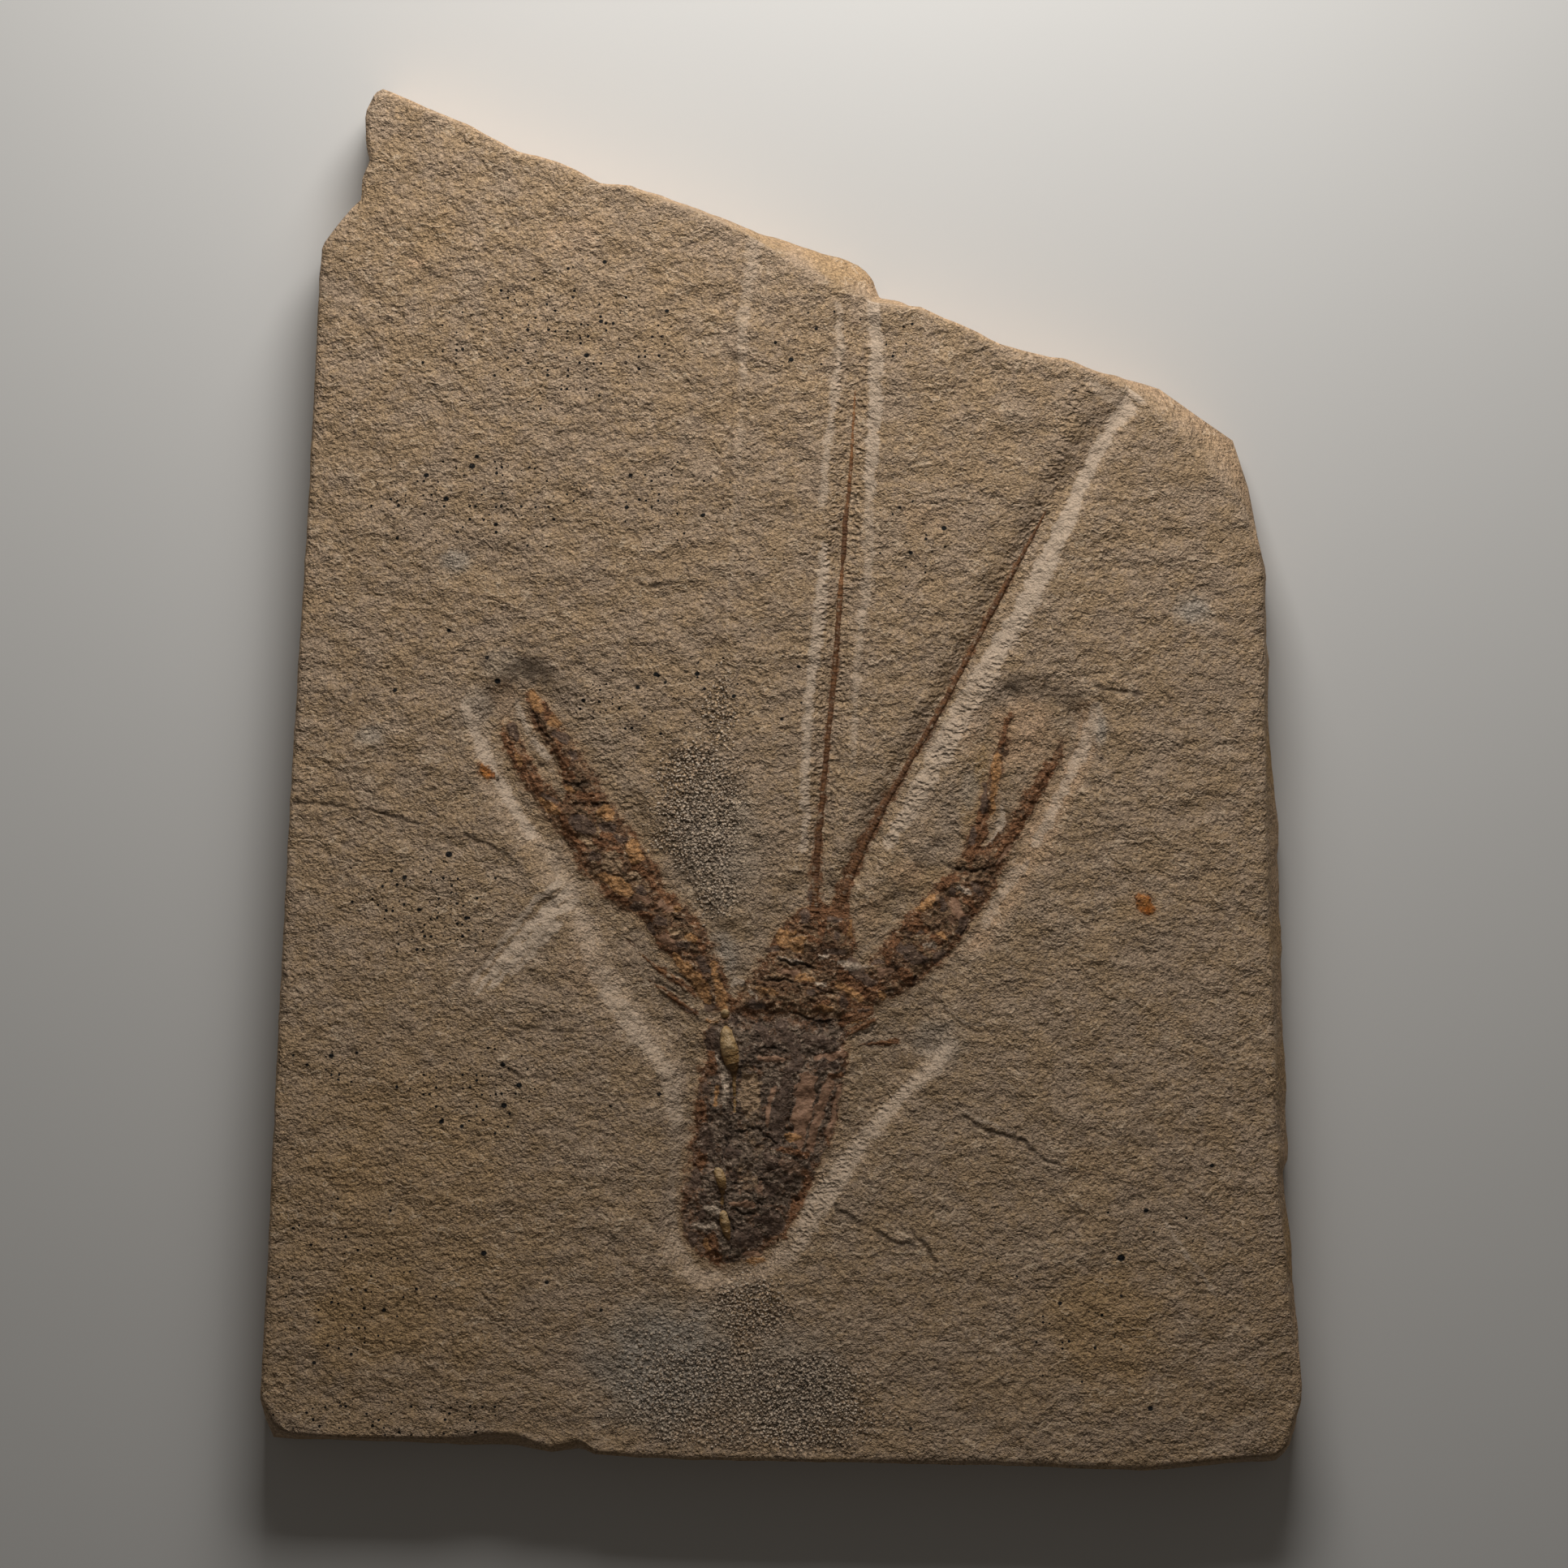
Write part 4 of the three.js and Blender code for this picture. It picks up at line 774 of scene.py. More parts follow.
# Ledges of the face, as grooves with their shadow painted dark beneath them, and a few pale strips where a
# tool ran.
LEDGE_MARKS = (
    *marks(Hue.GAP_SHADOW, -0.5, 0.8, (-93.5, -4.2, 0.5, -85.6, -4.9, 0.5, -78.4, -6.1, 0.5, -69.5, -8.4, 0.5),
        (-61, -10.5, 0.5, -56.4, -12.6, 0.6, -52.5, -14.8, 0.5),
        (60.1, 18, 0.5, 64.8, 16.6, 0.5, 68.6, 16.5, 0.4),
        (10.2, -81.4, 0.6, 13.4, -84.2, 0.7, 16.2, -85.9, 0.5),
        (24.6, -86, 0.4, 27.6, -89.4, 0.6, 29.4, -92.2, 0.5),
        (17.8, -86.4, 0.5, 19.9, -88, 0.6, 25.8, -89.4, 0.5),
        (34.6, -64.6, 0.4, 39.4, -67.2, 0.6, 45.6, -69, 0.5),
        (45.6, -69, 0.5, 50.4, -72.8, 0.5, 53.6, -74, 0.4)),
    *marks(Hue.GAP_SHADOW, -0.3, 0.65, (-52.8, -46.8, 0.45, -46.6, -47.9, 0.5, -38.8, -48.5, 0.45),
        (-54, -54.8, 0.45, -49.6, -57.2, 0.5, -44.2, -57, 0.45), (50.2, 20.1, 0.35, 50.4, 17.2, 0.35),
        (31, -44.6, 0.4, 35.4, -47.6, 0.5, 39, -48.2, 0.4), (-30, 38.6, 0.4, -25.6, 37, 0.5, -21, 37.6, 0.4)),
    *marks(Hue.SCRAPED, 0.1, 0.65, (72.7, -83.7, 0.35, 77.6, -91, 0.4, 83.1, -98.5, 0.35),
        (30.6, -43.4, 0.3, 35.4, -46.4, 0.4, 39, -46.8, 0.3),
        (34, -63.4, 0.3, 39.4, -65.8, 0.4, 45, -67.6, 0.3)),
)
# Smooth pale strips where a tool ran, the nicks beside the antennae, and dark dots and crescents painted as
# shade in the imprint and on a bank of the right channel.
TOOL_MARKS = (
    *marks(Hue.GAP_SHADOW, -0.3, 0.55, (-8.6, 92, 0.2, -8.9, 84, 0.3), (-9.2, 75, 0.3, -9.3, 70, 0.3),
        (-9.6, 66, 0.25, -10, 57, 0.3), (-10.4, 52, 0.25, -10.9, 43, 0.3), (-11.3, 38, 0.25, -11.7, 30, 0.25),
        (60.6, 72.4, 0.5, 58.4, 70.6, 0.3), (59.4, 68.4, 0.5, 57, 67.2, 0.3),
        (57.6, 65, 0.5, 55.4, 63.8, 0.3)),
    *marks(Hue.GAP_SHADOW, -0.3, 0.4, (55.6, 61.4, 0.4, 53.6, 60.4, 0.3)),
    *marks(Hue.NICKED, 0, 1,
        (57.8, 75.4, 1.5, 55, 68.5, 1.8, 52.5, 60.5, 1.7, 49.5, 52.5, 1.3, 44.5, 43.5, 1.2),
        (12.2, 86, 1, 11, 66, 1.2, 9.4, 44, 1.2, 7.8, 22, 1.2, 6, -4, 1.1, 4.8, -15, 0.9)),
    *marks(Hue.NICKED, 0, 0.9, (44.5, 43.5, 1.2, 40, 36, 1.3, 33, 23.6, 1.3, 24, 8, 1.3, 15.6, -6.6, 1.2),
        (47, 31.2, 1, 40.4, 20.4, 1.6, 30.4, 4, 1.5, 21, -10, 1.2),
        (15.8, 84, 1, 15.2, 66, 1, 14, 48, 1.1, 12.4, 30, 1.1, 10.6, 8, 1, 9, -10, 0.9),
        (-41.6, 17.4, 1.4, -38.6, 12.6, 1.6, -34.6, 6.6, 1.6, -33, 1.6, 1.5, -29.6, -4, 1.3),
        (2.4, -89.6, 1.4, 5.4, -82.6, 2.4, 9.4, -76, 2.3, 13.4, -70, 1.9, 18.4, -63.6, 1.6, 24, -57.6, 1.5),
        (12.6, -56, 0.9, 12.8, -62, 1.2, 11.4, -68, 0.9)),
    *marks(Hue.NICKED, 0, 0.8, (46, 4, 1.6, 47.6, 0.6, 1.2)),
    *marks(Hue.NICKED, 0, 0.65, (33.6, 6, 1.6, 32.6, -8, 1.8)),
    *marks(Hue.SCRAPED, 0.1, 1, (-58.2, -40.6, 0.5, -51.8, -32.4, 0.8, -45.4, -25, 0.9, -41, -21.6, 0.7),
        (-55.6, -39.8, 0.5, -49.6, -32.6, 0.8, -43.6, -26, 0.9, -40, -23.6, 0.7)),
    *marks(Hue.SCRAPED, -0.15, 0.9,
        (68.2, 75, 2.2, 64, 68.5, 1.5, 60.1, 62.3, 1.3, 56.2, 53.8, 1.4, 52.4, 45.2, 1.7)),
    *marks(Hue.SCRAPED, 0.1, 0.9, (-59, -38.4, 0.5, -53.6, -31, 0.7, -46.8, -22.8, 0.7, -42.6, -20, 0.5),
        (-51.8, -37.8, 0.4, -46.8, -31.8, 0.6, -42.6, -27.6, 0.7)),
    *marks(Hue.SCRAPED, -0.15, 0.8, (17.5, 91.6, 1.4, 18.2, 82.5, 1.5, 17.8, 71.6, 1.3, 16.9, 56.1, 1.2),
        (8, 45, 1, 7.4, 31.2, 1.3, 6.1, 23.4, 1, 5, 12, 1, 4.6, -2, 0.9, 4.2, -13, 0.8),
        (52.4, 45.2, 1.7, 49.3, 38.2, 2, 45.4, 31.2, 2.1, 40.7, 23.4, 2.2)),
    *marks(Hue.SCRAPED, 0, 0.6, (32.6, -50, 1.1, 29.6, -55, 1.7, 23.9, -59.4, 1.3, 17.4, -67.2, 1.5),
        (17.4, -67.2, 1.5, 13.6, -72, 1.8, 10.2, -77, 2.2, 6.6, -82, 2.5)),
    *marks(Hue.SCRAPED, 0, 0.8,
        (-60.4, 15, 0.8, -58.6, 8.6, 1.2, -56.2, 3, 1.2, -52.6, -3.4, 1.3, -48, -10.6, 1.2)),
    *marks(Hue.SCRAPED, -0.15, 0.65,
        (10.7, 91.1, 0.8, 11.3, 85.6, 1, 9.8, 71.6, 0.9, 8.5, 62.3, 1, 7.8, 53, 0.9)),
    *marks(Hue.SCRAPED, 0, 0.5, (6.6, -82, 2.4, 4.2, -87.2, 1.8, 2, -91, 1.1)),
    *marks(Hue.SCRAPED, 0, 0.65,
        (40.7, 23.4, 2.2, 34.5, 12.6, 2.4, 29.4, 3.2, 2.3, 25, -5, 1.8, 20.6, -12, 1.4),
        (60.6, 14, 1.2, 58.8, 8.6, 1.4, 56.4, 3, 1.3, 52.4, -5, 1.2, 48.6, -12.6, 1)),
    *marks(Hue.SCRAPED, -0.15, 0.55,
        (16.9, 56.1, 1.2, 16.6, 40.5, 1.2, 15.4, 31.2, 1.1, 14.4, 21.9, 0.9, 13.4, 2, 0.8)),
    *marks(Hue.SCRAPED, 0, 0.55, (-4.4, 107, 2, -6, 98, 1.6, -7.6, 88, 1.3, -7.4, 78, 1.1),
        (-33, -41, 2, -26.6, -49.6, 2, -21.6, -57, 1.8, -20.2, -66, 1.4),
        (46.6, -16, 1, 42, -22, 1.2, 39, -27.6, 1.1), (58.6, 76.2, 1.2, 64, 73.4, 1.6, 67, 75, 1.2)),
    *marks(Hue.SCRAPED, 0, 0.4, (-7.4, 78, 1.1, -8.2, 62, 0.9, -9.6, 44, 0.8, -10.8, 24, 0.7),
        (-44.6, -15.6, 0.8, -40, -22.4, 1.3, -36.4, -33, 1.9, -33, -41, 2),
        (-20.2, -66, 1.2, -21.4, -78, 0.9, -21, -88, 0.9)),
)
OPEN_MARKS = LEG_MARKS + LEDGE_MARKS
MARKS = (LEDGE_MARKS + CARAPACE_MARKS + HEAD_MARKS + LEFT_CLAW_MARKS + RIGHT_CLAW_MARKS + LEG_MARKS
         + TOOL_MARKS)
# For each mask of patches: its name, the patches, the noise's seed and how ragged their edges are.
BLOTS = (
    ("grit", GRIT_PATCHES, 41, 0.35), ("cool", COOL_PATCHES, 51, 0.35), ("stain_and_shade", STAIN_AND_SHADE_PATCHES, 52, 0.5),
    ("blush", BLUSH_PATCHES, 53, 0.5), ("swarm", SPECK_SWARMS, 54, 0.35),
)
MASKS = (*(hue.value for hue in Hue), *(row[0] for row in BLOTS), "pale", "shade", "broken", "hollow")


# ---- The face and its shell ------------------------------------------------------------------------------


@dataclass
class Shell:
    """A piece of the animal's shell, crushed flat and bedded in the stone.

    Attributes:
        name: the solid that it stands for.
        slot: slot of the record.
        corners: x and y of the corners of its outline.
        ragged: how far its edge wanders from the outline.
        rise: how far its middle stands over its edge, in millimetres.
        shoulder: how far in the surface reaches its full height.
        bed: height of its flat underside.
        pitch: width of its cells.
        rugged: share of the knobs and folds that it has.
        outline: its edge.
    """

    name: str
    slot: str
    corners: InitVar[Stations]
    rise: float
    shoulder: float
    ragged: float = 0.55
    bed: float = BED
    pitch: float = 0.165
    rugged: float = 1.0
    outline: Line = field(init=False)

    def __post_init__(self, corners: Stations) -> None:
        """Makes the outline, with its corners cut."""
        self.outline = Line(corners, closed=True).softened()

    def _box(self, margin: float) -> tuple[Field, Field]:
        """The lower left and upper right corner of a box round the outline."""
        corners = np.array(self.outline.stations)[:, :2]
        return corners.min(axis=0) - margin, corners.max(axis=0) + margin

    def inside(self, x: Field, y: Field) -> Field:
        """How far each point lies inside the ragged edge; points far away get FAR_OUT."""
        low, high = self._box(3.0)
        near = (x > low[0]) & (x < high[0]) & (y > low[1]) & (y < high[1])
        result = np.full(x.shape, FAR_OUT)
        if near.any():
            result[near] = self.outline.read(*warped(x[near], y[near], self.ragged, 3.2, 5, seed=61)).offset
        return result

    def build(self, face: "Face", material: Material) -> Piece:
        """Makes the piece as a closed mesh: its surface, a short wall and a flat underside."""
        low, high = self._box(1.0)
        columns, rows = (np.ceil((high - low) / self.pitch)).astype(int)
        x, y = np.meshgrid(*(start + np.arange(count + 1) * self.pitch
                             for start, count in ((low[0], columns), (low[1], rows))))
        kept = self.inside(x, y) > -2.0 * LAP
        full = kept[:-1, :-1] & kept[1:, :-1] & kept[:-1, 1:] & kept[1:, 1:]
        used, index = np.unique(grid_quads(x.shape)[full], return_inverse=True)
        xs, ys = x.ravel()[used], y.ravel()[used]
        ground = face.survey(xs, ys)
        height = ground.height + LAP_RISE - DROP * ease((-LAP - self.inside(xs, ys)) / LAP)
        points, faces = np.column_stack((xs, ys, height)), index.reshape(-1, 4).tolist()
        piece = mesh_object(self.name + "_shell", points, faces, ground.masks)
        close_below(piece, self.bed + 0.02)
        return dress(piece, material, self.slot, self.name)


def close_below(piece: Piece, level: float) -> None:
    """Closes an open sheet with walls down to a level, in millimetres, and flat undersides."""
    mesh = bmesh.new()
    mesh.from_mesh(piece.data)
    loose = [v for v in mesh.verts if len([e for e in v.link_edges if e.is_boundary]) > 2]
    bmesh.ops.delete(mesh, geom=loose, context="VERTS")
    border = [e for e in mesh.edges if e.is_boundary]
    made = bmesh.ops.extrude_edge_only(mesh, edges=border)["geom"]
    for corner in (g for g in made if isinstance(g, bmesh.types.BMVert)):
        corner.co.z = level * MM
    below = [g for g in made if isinstance(g, bmesh.types.BMEdge) and g.is_boundary]
    bmesh.ops.holes_fill(mesh, edges=below, sides=0)
    bmesh.ops.recalc_face_normals(mesh, faces=mesh.faces)
    mesh.to_mesh(piece.data)
    mesh.free()


CARAPACE = Shell("carapace", "dark_shell", rise=1.0, shoulder=6.0, ragged=0.9, corners=(
    (-9.8, -44.8), (-12.3, -46.2), (-14.5, -47.6), (-14.5, -52.4), (-15.1, -55.9), (-16.4, -62.4),
    (-16.5, -66.9), (-17.8, -76.1), (-18.9, -79.8), (-19.2, -83.4), (-18.5, -87), (-16.5, -89.9),
    (-13.7, -92.6), (-10.8, -93.2), (-7.3, -92.3), (-3.3, -90.5), (-1, -88.5), (1.5, -84.2), (3.5, -81.1),
    (5.2, -77.6), (7.9, -72.3), (9.3, -68.9), (10.2, -64.6), (11.9, -58.2), (12.2, -53.1), (12.7, -45.9),
    (5.7, -45.3), (-5.2, -45.1),
))
HEAD = Shell("head", "rust_shell", rise=0.8, shoulder=2.6, ragged=0.9, corners=(
    (4.8, -24.1), (3.2, -25.7), (-0.8, -28.7), (-2.1, -32.8), (-4.5, -35.8), (-6.9, -38.8), (-8.6, -41.6),
    (-9.8, -44.8), (-5.2, -45.1), (5.7, -45.3), (12.7, -45.9), (13.5, -41.6), (13.3, -37.2), (14, -31.4),
    (13.8, -27.3), (11.4, -24), (7.6, -24.6),
))
LEFT_CLAW = Shell("left_claw", "rust_shell", rise=0.55, shoulder=2.4, corners=(
    (-48.2, 17.8), (-49, 15.4), (-47.9, 11.6), (-46.2, 8.2), (-43.6, 4.3), (-42.5, 1.7), (-41.2, -2.7),
    (-42, -4.9), (-44, -2.8), (-46.1, 0.6), (-47.9, 3.4), (-49.8, 6.5), (-51, 9.8), (-52.8, 11.9),
    (-53.8, 9.4), (-52.6, 4.8), (-50.3, 1.2), (-45.1, -6.6), (-42, -10.8), (-39.7, -15.1), (-34.7, -21.3),
    (-32.1, -23.7), (-26.9, -26.5), (-25.7, -29.1), (-21.3, -33.9), (-19.2, -36.1), (-15.1, -42.2),
    (-12.4, -44.6), (-10.6, -42.6), (-10.5, -40.2), (-11.1, -37), (-14, -31.4), (-15.1, -27.9),
    (-19.2, -23.7), (-23.1, -20.1), (-23.7, -17), (-28.7, -10.3), (-34.1, -2.8), (-38.4, 5.1), (-42.5, 10.5),
    (-46.2, 15.4),
))
RIGHT_CLAW = Shell("right_claw", "rust_shell", rise=0.5, shoulder=2.4, corners=(
    (44, 13.8), (42.1, 8.7), (39, -2.2), (35.6, -12.3), (34.3, -15.7), (30, -20.1), (25.9, -24.1),
    (20.2, -30.7), (15.4, -36.5), (14.4, -39.5), (15.2, -42.4), (17.8, -43.4), (23.3, -40.6), (29.4, -36.1),
    (33.5, -31.9), (36.5, -26.9), (40.2, -21.8), (43.7, -13.6), (49.9, -2.4), (52.1, 1.4), (53.6, 4.8),
    (54.2, 7.6), (53.1, 7), (48, -0.8), (43, -8.9), (40.2, -12), (37.9, -13.6), (38.7, -9.5), (41.9, 1.2),
    (43.8, 9.4),
))
RIGHT_CHIP = Shell(
    "right_shell_chip", "amber_shell", rise=0.15, shoulder=0.5, ragged=0.45, bed=14.1, pitch=0.08,
    rugged=0.12, corners=((67.2, -21.9), (68.3, -25.2), (71.6, -26.1), (71.2, -23.6), (69.8, -21.9)),
)
LEFT_CHIP = Shell(
    "left_shell_chip", "amber_shell", rise=0.1, shoulder=0.4, ragged=0.12, bed=13.2, pitch=0.08,
    rugged=0.05, corners=((-57.9, 3.6), (-57.9, 0.6), (-54.4, -0.2), (-55.6, 2)),
)
SHELLS = (CARAPACE, HEAD, LEFT_CLAW, RIGHT_CLAW, RIGHT_CHIP, LEFT_CHIP)
NECK = Line(((-9.8, -44.8), (-5.2, -45.1), (5.7, -45.3), (12.7, -45.9)))  # where head and carapace meet


@dataclass
class Face:
    """The bedding face with the animal in it: one lie and one set of masks for every piece that reads it.

    Attributes:
        swell: how far the face rises and falls across the slab.
        lump: height of its lumps, about 14 mm wide.
        crumble: height of the shell's own knobs.
        hollow_knobs: height of the hollow's.
        folds: height of the shell's crushed folds, about 5 mm wide.
        neck: half width of the strip of shell between head and carapace.
        wander: how far the marks wander.
        cut_wander: how far the hollow's and the channels' edges wander.
        deep_reach, fresh_reach: how far from a bank's line it is cut deeper and looks fresh.
        grit_depth: depth of the gritty patches' pits.
    """

    swell: float = 0.3
    lump: float = 0.3
    crumble: float = 0.38
    hollow_knobs: float = 0.16
    folds: float = 0.6
    neck: float = 1.0
    wander: float = 1.0
    cut_wander: float = 0.55
    deep_reach: float = 14.0
    fresh_reach: float = 4.0
    grit_depth: float = 0.2
    floor_line: Line = field(default_factory=lambda: Line(tuple(r[:2] for r in HOLLOW), True).softened())
    rim_line: Line = field(default_factory=lambda: Line(tuple(r[2:] for r in HOLLOW), True).softened())

    def natural(self, x: Field, y: Field) -> Field:
        """Height of the unworked bedding face."""
        swell = np.sin(x * 0.041 + 1.3) * np.cos(y * 0.033 - 0.4) + 0.6 * np.sin(x * 0.023 - y * 0.052)
        return FACE + self.swell * swell + self.lump * fractal(x, y * 1.2, 14.0, 3, seed=4)

    def worked(self, x: Field, y: Field, masks: dict[str, Field]) -> Field:
        """How deep the hollow and the channels are cut; fills the masks of the banks."""
        wx, wy = warped(x, y, self.cut_wander, 4.5, 3, seed=21)
        floor, rim = self.floor_line.read(wx, wy), self.rim_line.read(wx, wy)
        out_of_floor, in_rim = np.maximum(-floor.offset, 0.0), np.maximum(rim.offset, 0.0)
        share = in_rim / (in_rim + out_of_floor + 1e-6)
        share = mix(share, ease(share), 0.5)
        bank = ease(in_rim / 0.5) * ease(out_of_floor / 0.5)
        carved = np.full(x.shape, 0.5)
        for cut in BANKS:
            away = np.abs(cut.line.read(x, y).offset)
            carved = np.maximum(carved, 0.5 + cut.depth * np.exp(-((away / self.deep_reach) ** 2)))
            fresh = bank * np.exp(-((away / self.fresh_reach) ** 4))
            fresh = fresh * (0.8 + 0.8 * fractal(x, y, 3.0, 3, seed=35))
            masks[cut.hue] = np.maximum(masks[cut.hue], cut.strength * fresh)
        depth = (FACE - FLOOR) * share * carved
        for channel in CHANNELS:
            read = channel.line.read(wx, wy)
            width = np.where(read.offset > 0, read.values[0], read.values[1])
            out = (np.abs(read.offset) - channel.floor_half) / (width - channel.floor_half)
            depth = np.maximum(depth, channel.depth * (1.0 - np.clip(out, 0.0, 1.0)))
        masks["hollow"] = share
        return depth * (1.0 + 0.12 * fractal(x, y, 3.0, 2, seed=33))

    def survey(self, x: Field, y: Field) -> Ground:
        """Reads the face at every point."""
        masks = {name: np.zeros_like(x) for name in MASKS}
        base = self.natural(x, y) - self.worked(x, y, masks)
        ground = Ground(base, np.full(x.shape, FAR_OUT), masks)
        cover = self._lay_shells(x, y, ground)
        marks_x, marks_y = warped(x, y, self.wander, 3.0, 4, seed=65)
        for mark in MARKS:
            mark.lay(marks_x, marks_y, ground)
        for name, patches, seed, ragged in BLOTS:
            masks[name] = np.maximum(masks[name], blots(x, y, patches, seed, ragged))
        neck = self.neck - np.abs(NECK.read(x, y).offset)
        masks["shell"] = np.clip(np.maximum(ground.inside, neck), -4.0, 3.0)
        self._roughen(x, y, ground, cover)
        for cx, cy, radius, deep, shade in DIMPLES:
            dip = np.exp(-(((x - cx) ** 2 + (y - cy) ** 2) / radius**2))
            ground.height -= deep * dip
            masks["shade"] = np.maximum(masks["shade"], shade * dip)
        masks["speck"] = np.full(x.shape, NO_SPECK)
        for cx, cy, radius in SPECKS:
            masks["speck"] = np.minimum(masks["speck"], np.hypot(x - cx, (y - cy) * 1.15) - radius)
        return ground

    def _lay_shells(self, x: Field, y: Field, ground: Ground) -> Field:
        """Raises the ground under the shells, and returns how rugged they make it."""
        rise, cover = np.zeros_like(x), np.zeros_like(x)
        for shell in SHELLS:
            inside = shell.inside(x, y)
            cover = np.maximum(cover, shell.rugged * ease((inside + 0.5) / 1.2))
            ground.inside = np.maximum(ground.inside, inside)
            rise = np.maximum(rise, shell.rise * ease(inside / shell.shoulder))
        ground.height = ground.height + rise
        return cover

    def _roughen(self, x: Field, y: Field, ground: Ground, cover: Field) -> None:
        """Adds the knobs and folds of the shell, and the knobs of the hollow and of the gritty patches."""
        masks = ground.masks
        smooth = np.maximum(masks["plate"], np.maximum(masks["dusk"], masks["ochre"] * 0.6))
        knobs = creases(x, y, 2.0, 3, seed=64) - 0.4 + 0.8 * fractal(x, y, 1.0, 3, seed=63)
        ground.height += self.crumble * cover * (1.0 - 0.75 * smooth) * knobs
        ground.height += self.folds * cover * fractal(x, y, 5.5, 2, seed=67)
        ground.height += self.hollow_knobs * masks["hollow"] * (1.0 - cover) * knobs
        pits = self.grit_depth * creases(x, y, 1.6, 2, seed=43) - self.grit_depth
        ground.height += masks["grit"] * pits


# ---- Slender pieces --------------------------------------------------------------------------------------


@dataclass(frozen=True)
class Rod:
    """A ringed tube along stations of (x, y, half width, how proud of the face, tone).

    The tone runs from 0, dark, to 1, pale or orange.
    """

    name: str
    stations: Stations
    nodes: tuple[str, ...]
    slot: str = "rust_shell"
    step: float = 0.2
    rings: float = 0.62  # spacing of the rings along it
    ring_depth: float = 0.08
    ragged: float = 0.6
    lay_step: float = 0.8  # how often it is laid on the face

    def path(self, face: Face) -> Piece:
        """The stations as a bare line laid on the face, with half widths and tones."""
        table = np.array(self.stations)
        run = lengths_along(table)
        at = np.unique(np.concatenate((np.arange(0.0, run[-1], self.lay_step), run)))
        x, y, half, proud, tone = (np.interp(at, run, column) for column in table.T)
        heights = face.survey(x, y).height
        heights = np.convolve(np.pad(heights, 1, mode="edge"), (0.25, 0.5, 0.25), mode="valid")
        points = np.column_stack((x, y, heights + proud - half))
        mesh = bpy.data.meshes.new(self.name)
        mesh.from_pydata((points * MM).tolist(), [(i, i + 1) for i in range(len(points) - 1)], [])
        for name, values in (("half", half * MM), ("tone", tone)):
            mesh.attributes.new(name, "FLOAT", "POINT").data.foreach_set("value", values)
        return link_object(self.name, mesh)

    def build(self, face: Face, material: Material, tree: Tree) -> Piece:
        """Makes the tube with the ringed tube tree."""
        values = {
            "Step": self.step * MM, "Ring Spacing": self.rings * MM, "Ring Depth": self.ring_depth,
            "Ragged": self.ragged, "Material": material,
        }
        return dress(run_tree(self.path(face), tree, values), material, self.slot, *self.nodes)


LEFT_ANTENNA = Rod(
    "left_antenna_rod",
    (
        (14.1, 74.6, 0.15, 0.06, 0.9), (13.8, 70, 0.28, 0.13, 0.9), (13.3, 60.5, 0.36, 0.22, 0.6),
        (12.9, 55.5, 0.41, 0.22, 0.5), (12.2, 50, 0.54, 0.39, 0.25), (11.9, 44, 0.58, 0.39, 0.1),
        (11.6, 40.6, 0.38, 0.11, 0.3), (11.4, 38.4, 0.49, 0.33, 0.9), (11.2, 35.6, 0.54, 0.39, 0.5),
        (10.7, 28.1, 0.54, 0.33, 0.25), (9.8, 17.2, 0.54, 0.33, 0.4), (8.7, 6.3, 0.56, 0.33, 0.25),
        (7.6, -6.1, 0.59, 0.33, 0.3), (6.6, -16, 0.74, 0.39, 0.2), (6.3, -22.4, 1.15, 0.33, 0.3),
        (6.2, -26, 1.41, 0.11, 0.4),
    ),
    ("left_antenna",),
)
RIGHT_ANTENNA = Rod(
    "right_antenna_rod",
    (
        (50.6, 51.4, 0.15, 0.06, 0.4), (49.2, 48.7, 0.28, 0.17, 0.3), (46.5, 43.7, 0.38, 0.22, 0.3),
        (42.3, 36.2, 0.58, 0.39, 0.25), (40.2, 32.2, 0.61, 0.44, 0.15), (37.9, 27.8, 0.49, 0.22, 0.4),
        (33.7, 19.6, 0.54, 0.33, 0.3), (29, 11, 0.54, 0.33, 0.25), (23.9, 2.4, 0.58, 0.33, 0.3),
        (19.7, -4.9, 0.64, 0.33, 0.2), (15.8, -12.3, 0.83, 0.39, 0.25), (12.2, -21, 1.09, 0.33, 0.3),
        (11.2, -24.6, 1.41, 0.11, 0.4),
    ),
    ("right_antenna",),
)


def walking_leg(name: str, node: str, *stations: tuple[float, ...]) -> Rod:
    """A walking leg, with worn rings, for one node of the record."""
    return Rod(name, stations, (node,), ring_depth=0.03)


def calcite_bead(name: str, *stations: tuple[float, ...]) -> Rod:
    """A smooth bead of the calcite seam."""
    return Rod(name, stations, ("calcite_seam",), "calcite", 0.14, ring_depth=0.0, ragged=0.12)


LEGS = (
    walking_leg("left_front_leg", "left_leg_front",
        (-29.6, -30.6, 0.2, 0, 0.2), (-27.2, -33.2, 0.25, 0.05, 0.5), (-24.2, -35.9, 0.45, 0.15, 0.6),
        (-21, -38.1, 0.45, 0.15, 0.4), (-18, -40.4, 0.35, 0.1, 0.4)),
    walking_leg("left_rear_leg", "left_leg_rear",
        (-26.2, -37.9, 0.2, 0, 0.3), (-23.1, -40.2, 0.35, 0.1, 0.4), (-20.3, -42.2, 0.4, 0.15, 0.3),
        (-16, -45.1, 0.4, 0.1, 0.3)),
    walking_leg("right_front_leg", "right_leg_front",
        (12.9, -48.9, 0.3, 0.1, 0.6), (13.9, -48.2, 0.4, 0.15, 0.5), (15.7, -47.1, 0.45, 0.2, 0.6),
        (18.4, -45.7, 0.3, 0, 0.4)),
    walking_leg("right_rear_leg", "right_leg_rear",
        (14.6, -50.9, 0.2, 0, 0.3), (16.2, -50.7, 0.3, 0.1, 0.3), (19.1, -50.4, 0.4, 0.15, 0.4),
        (22.8, -50.5, 0.3, 0, 0.3)),
)
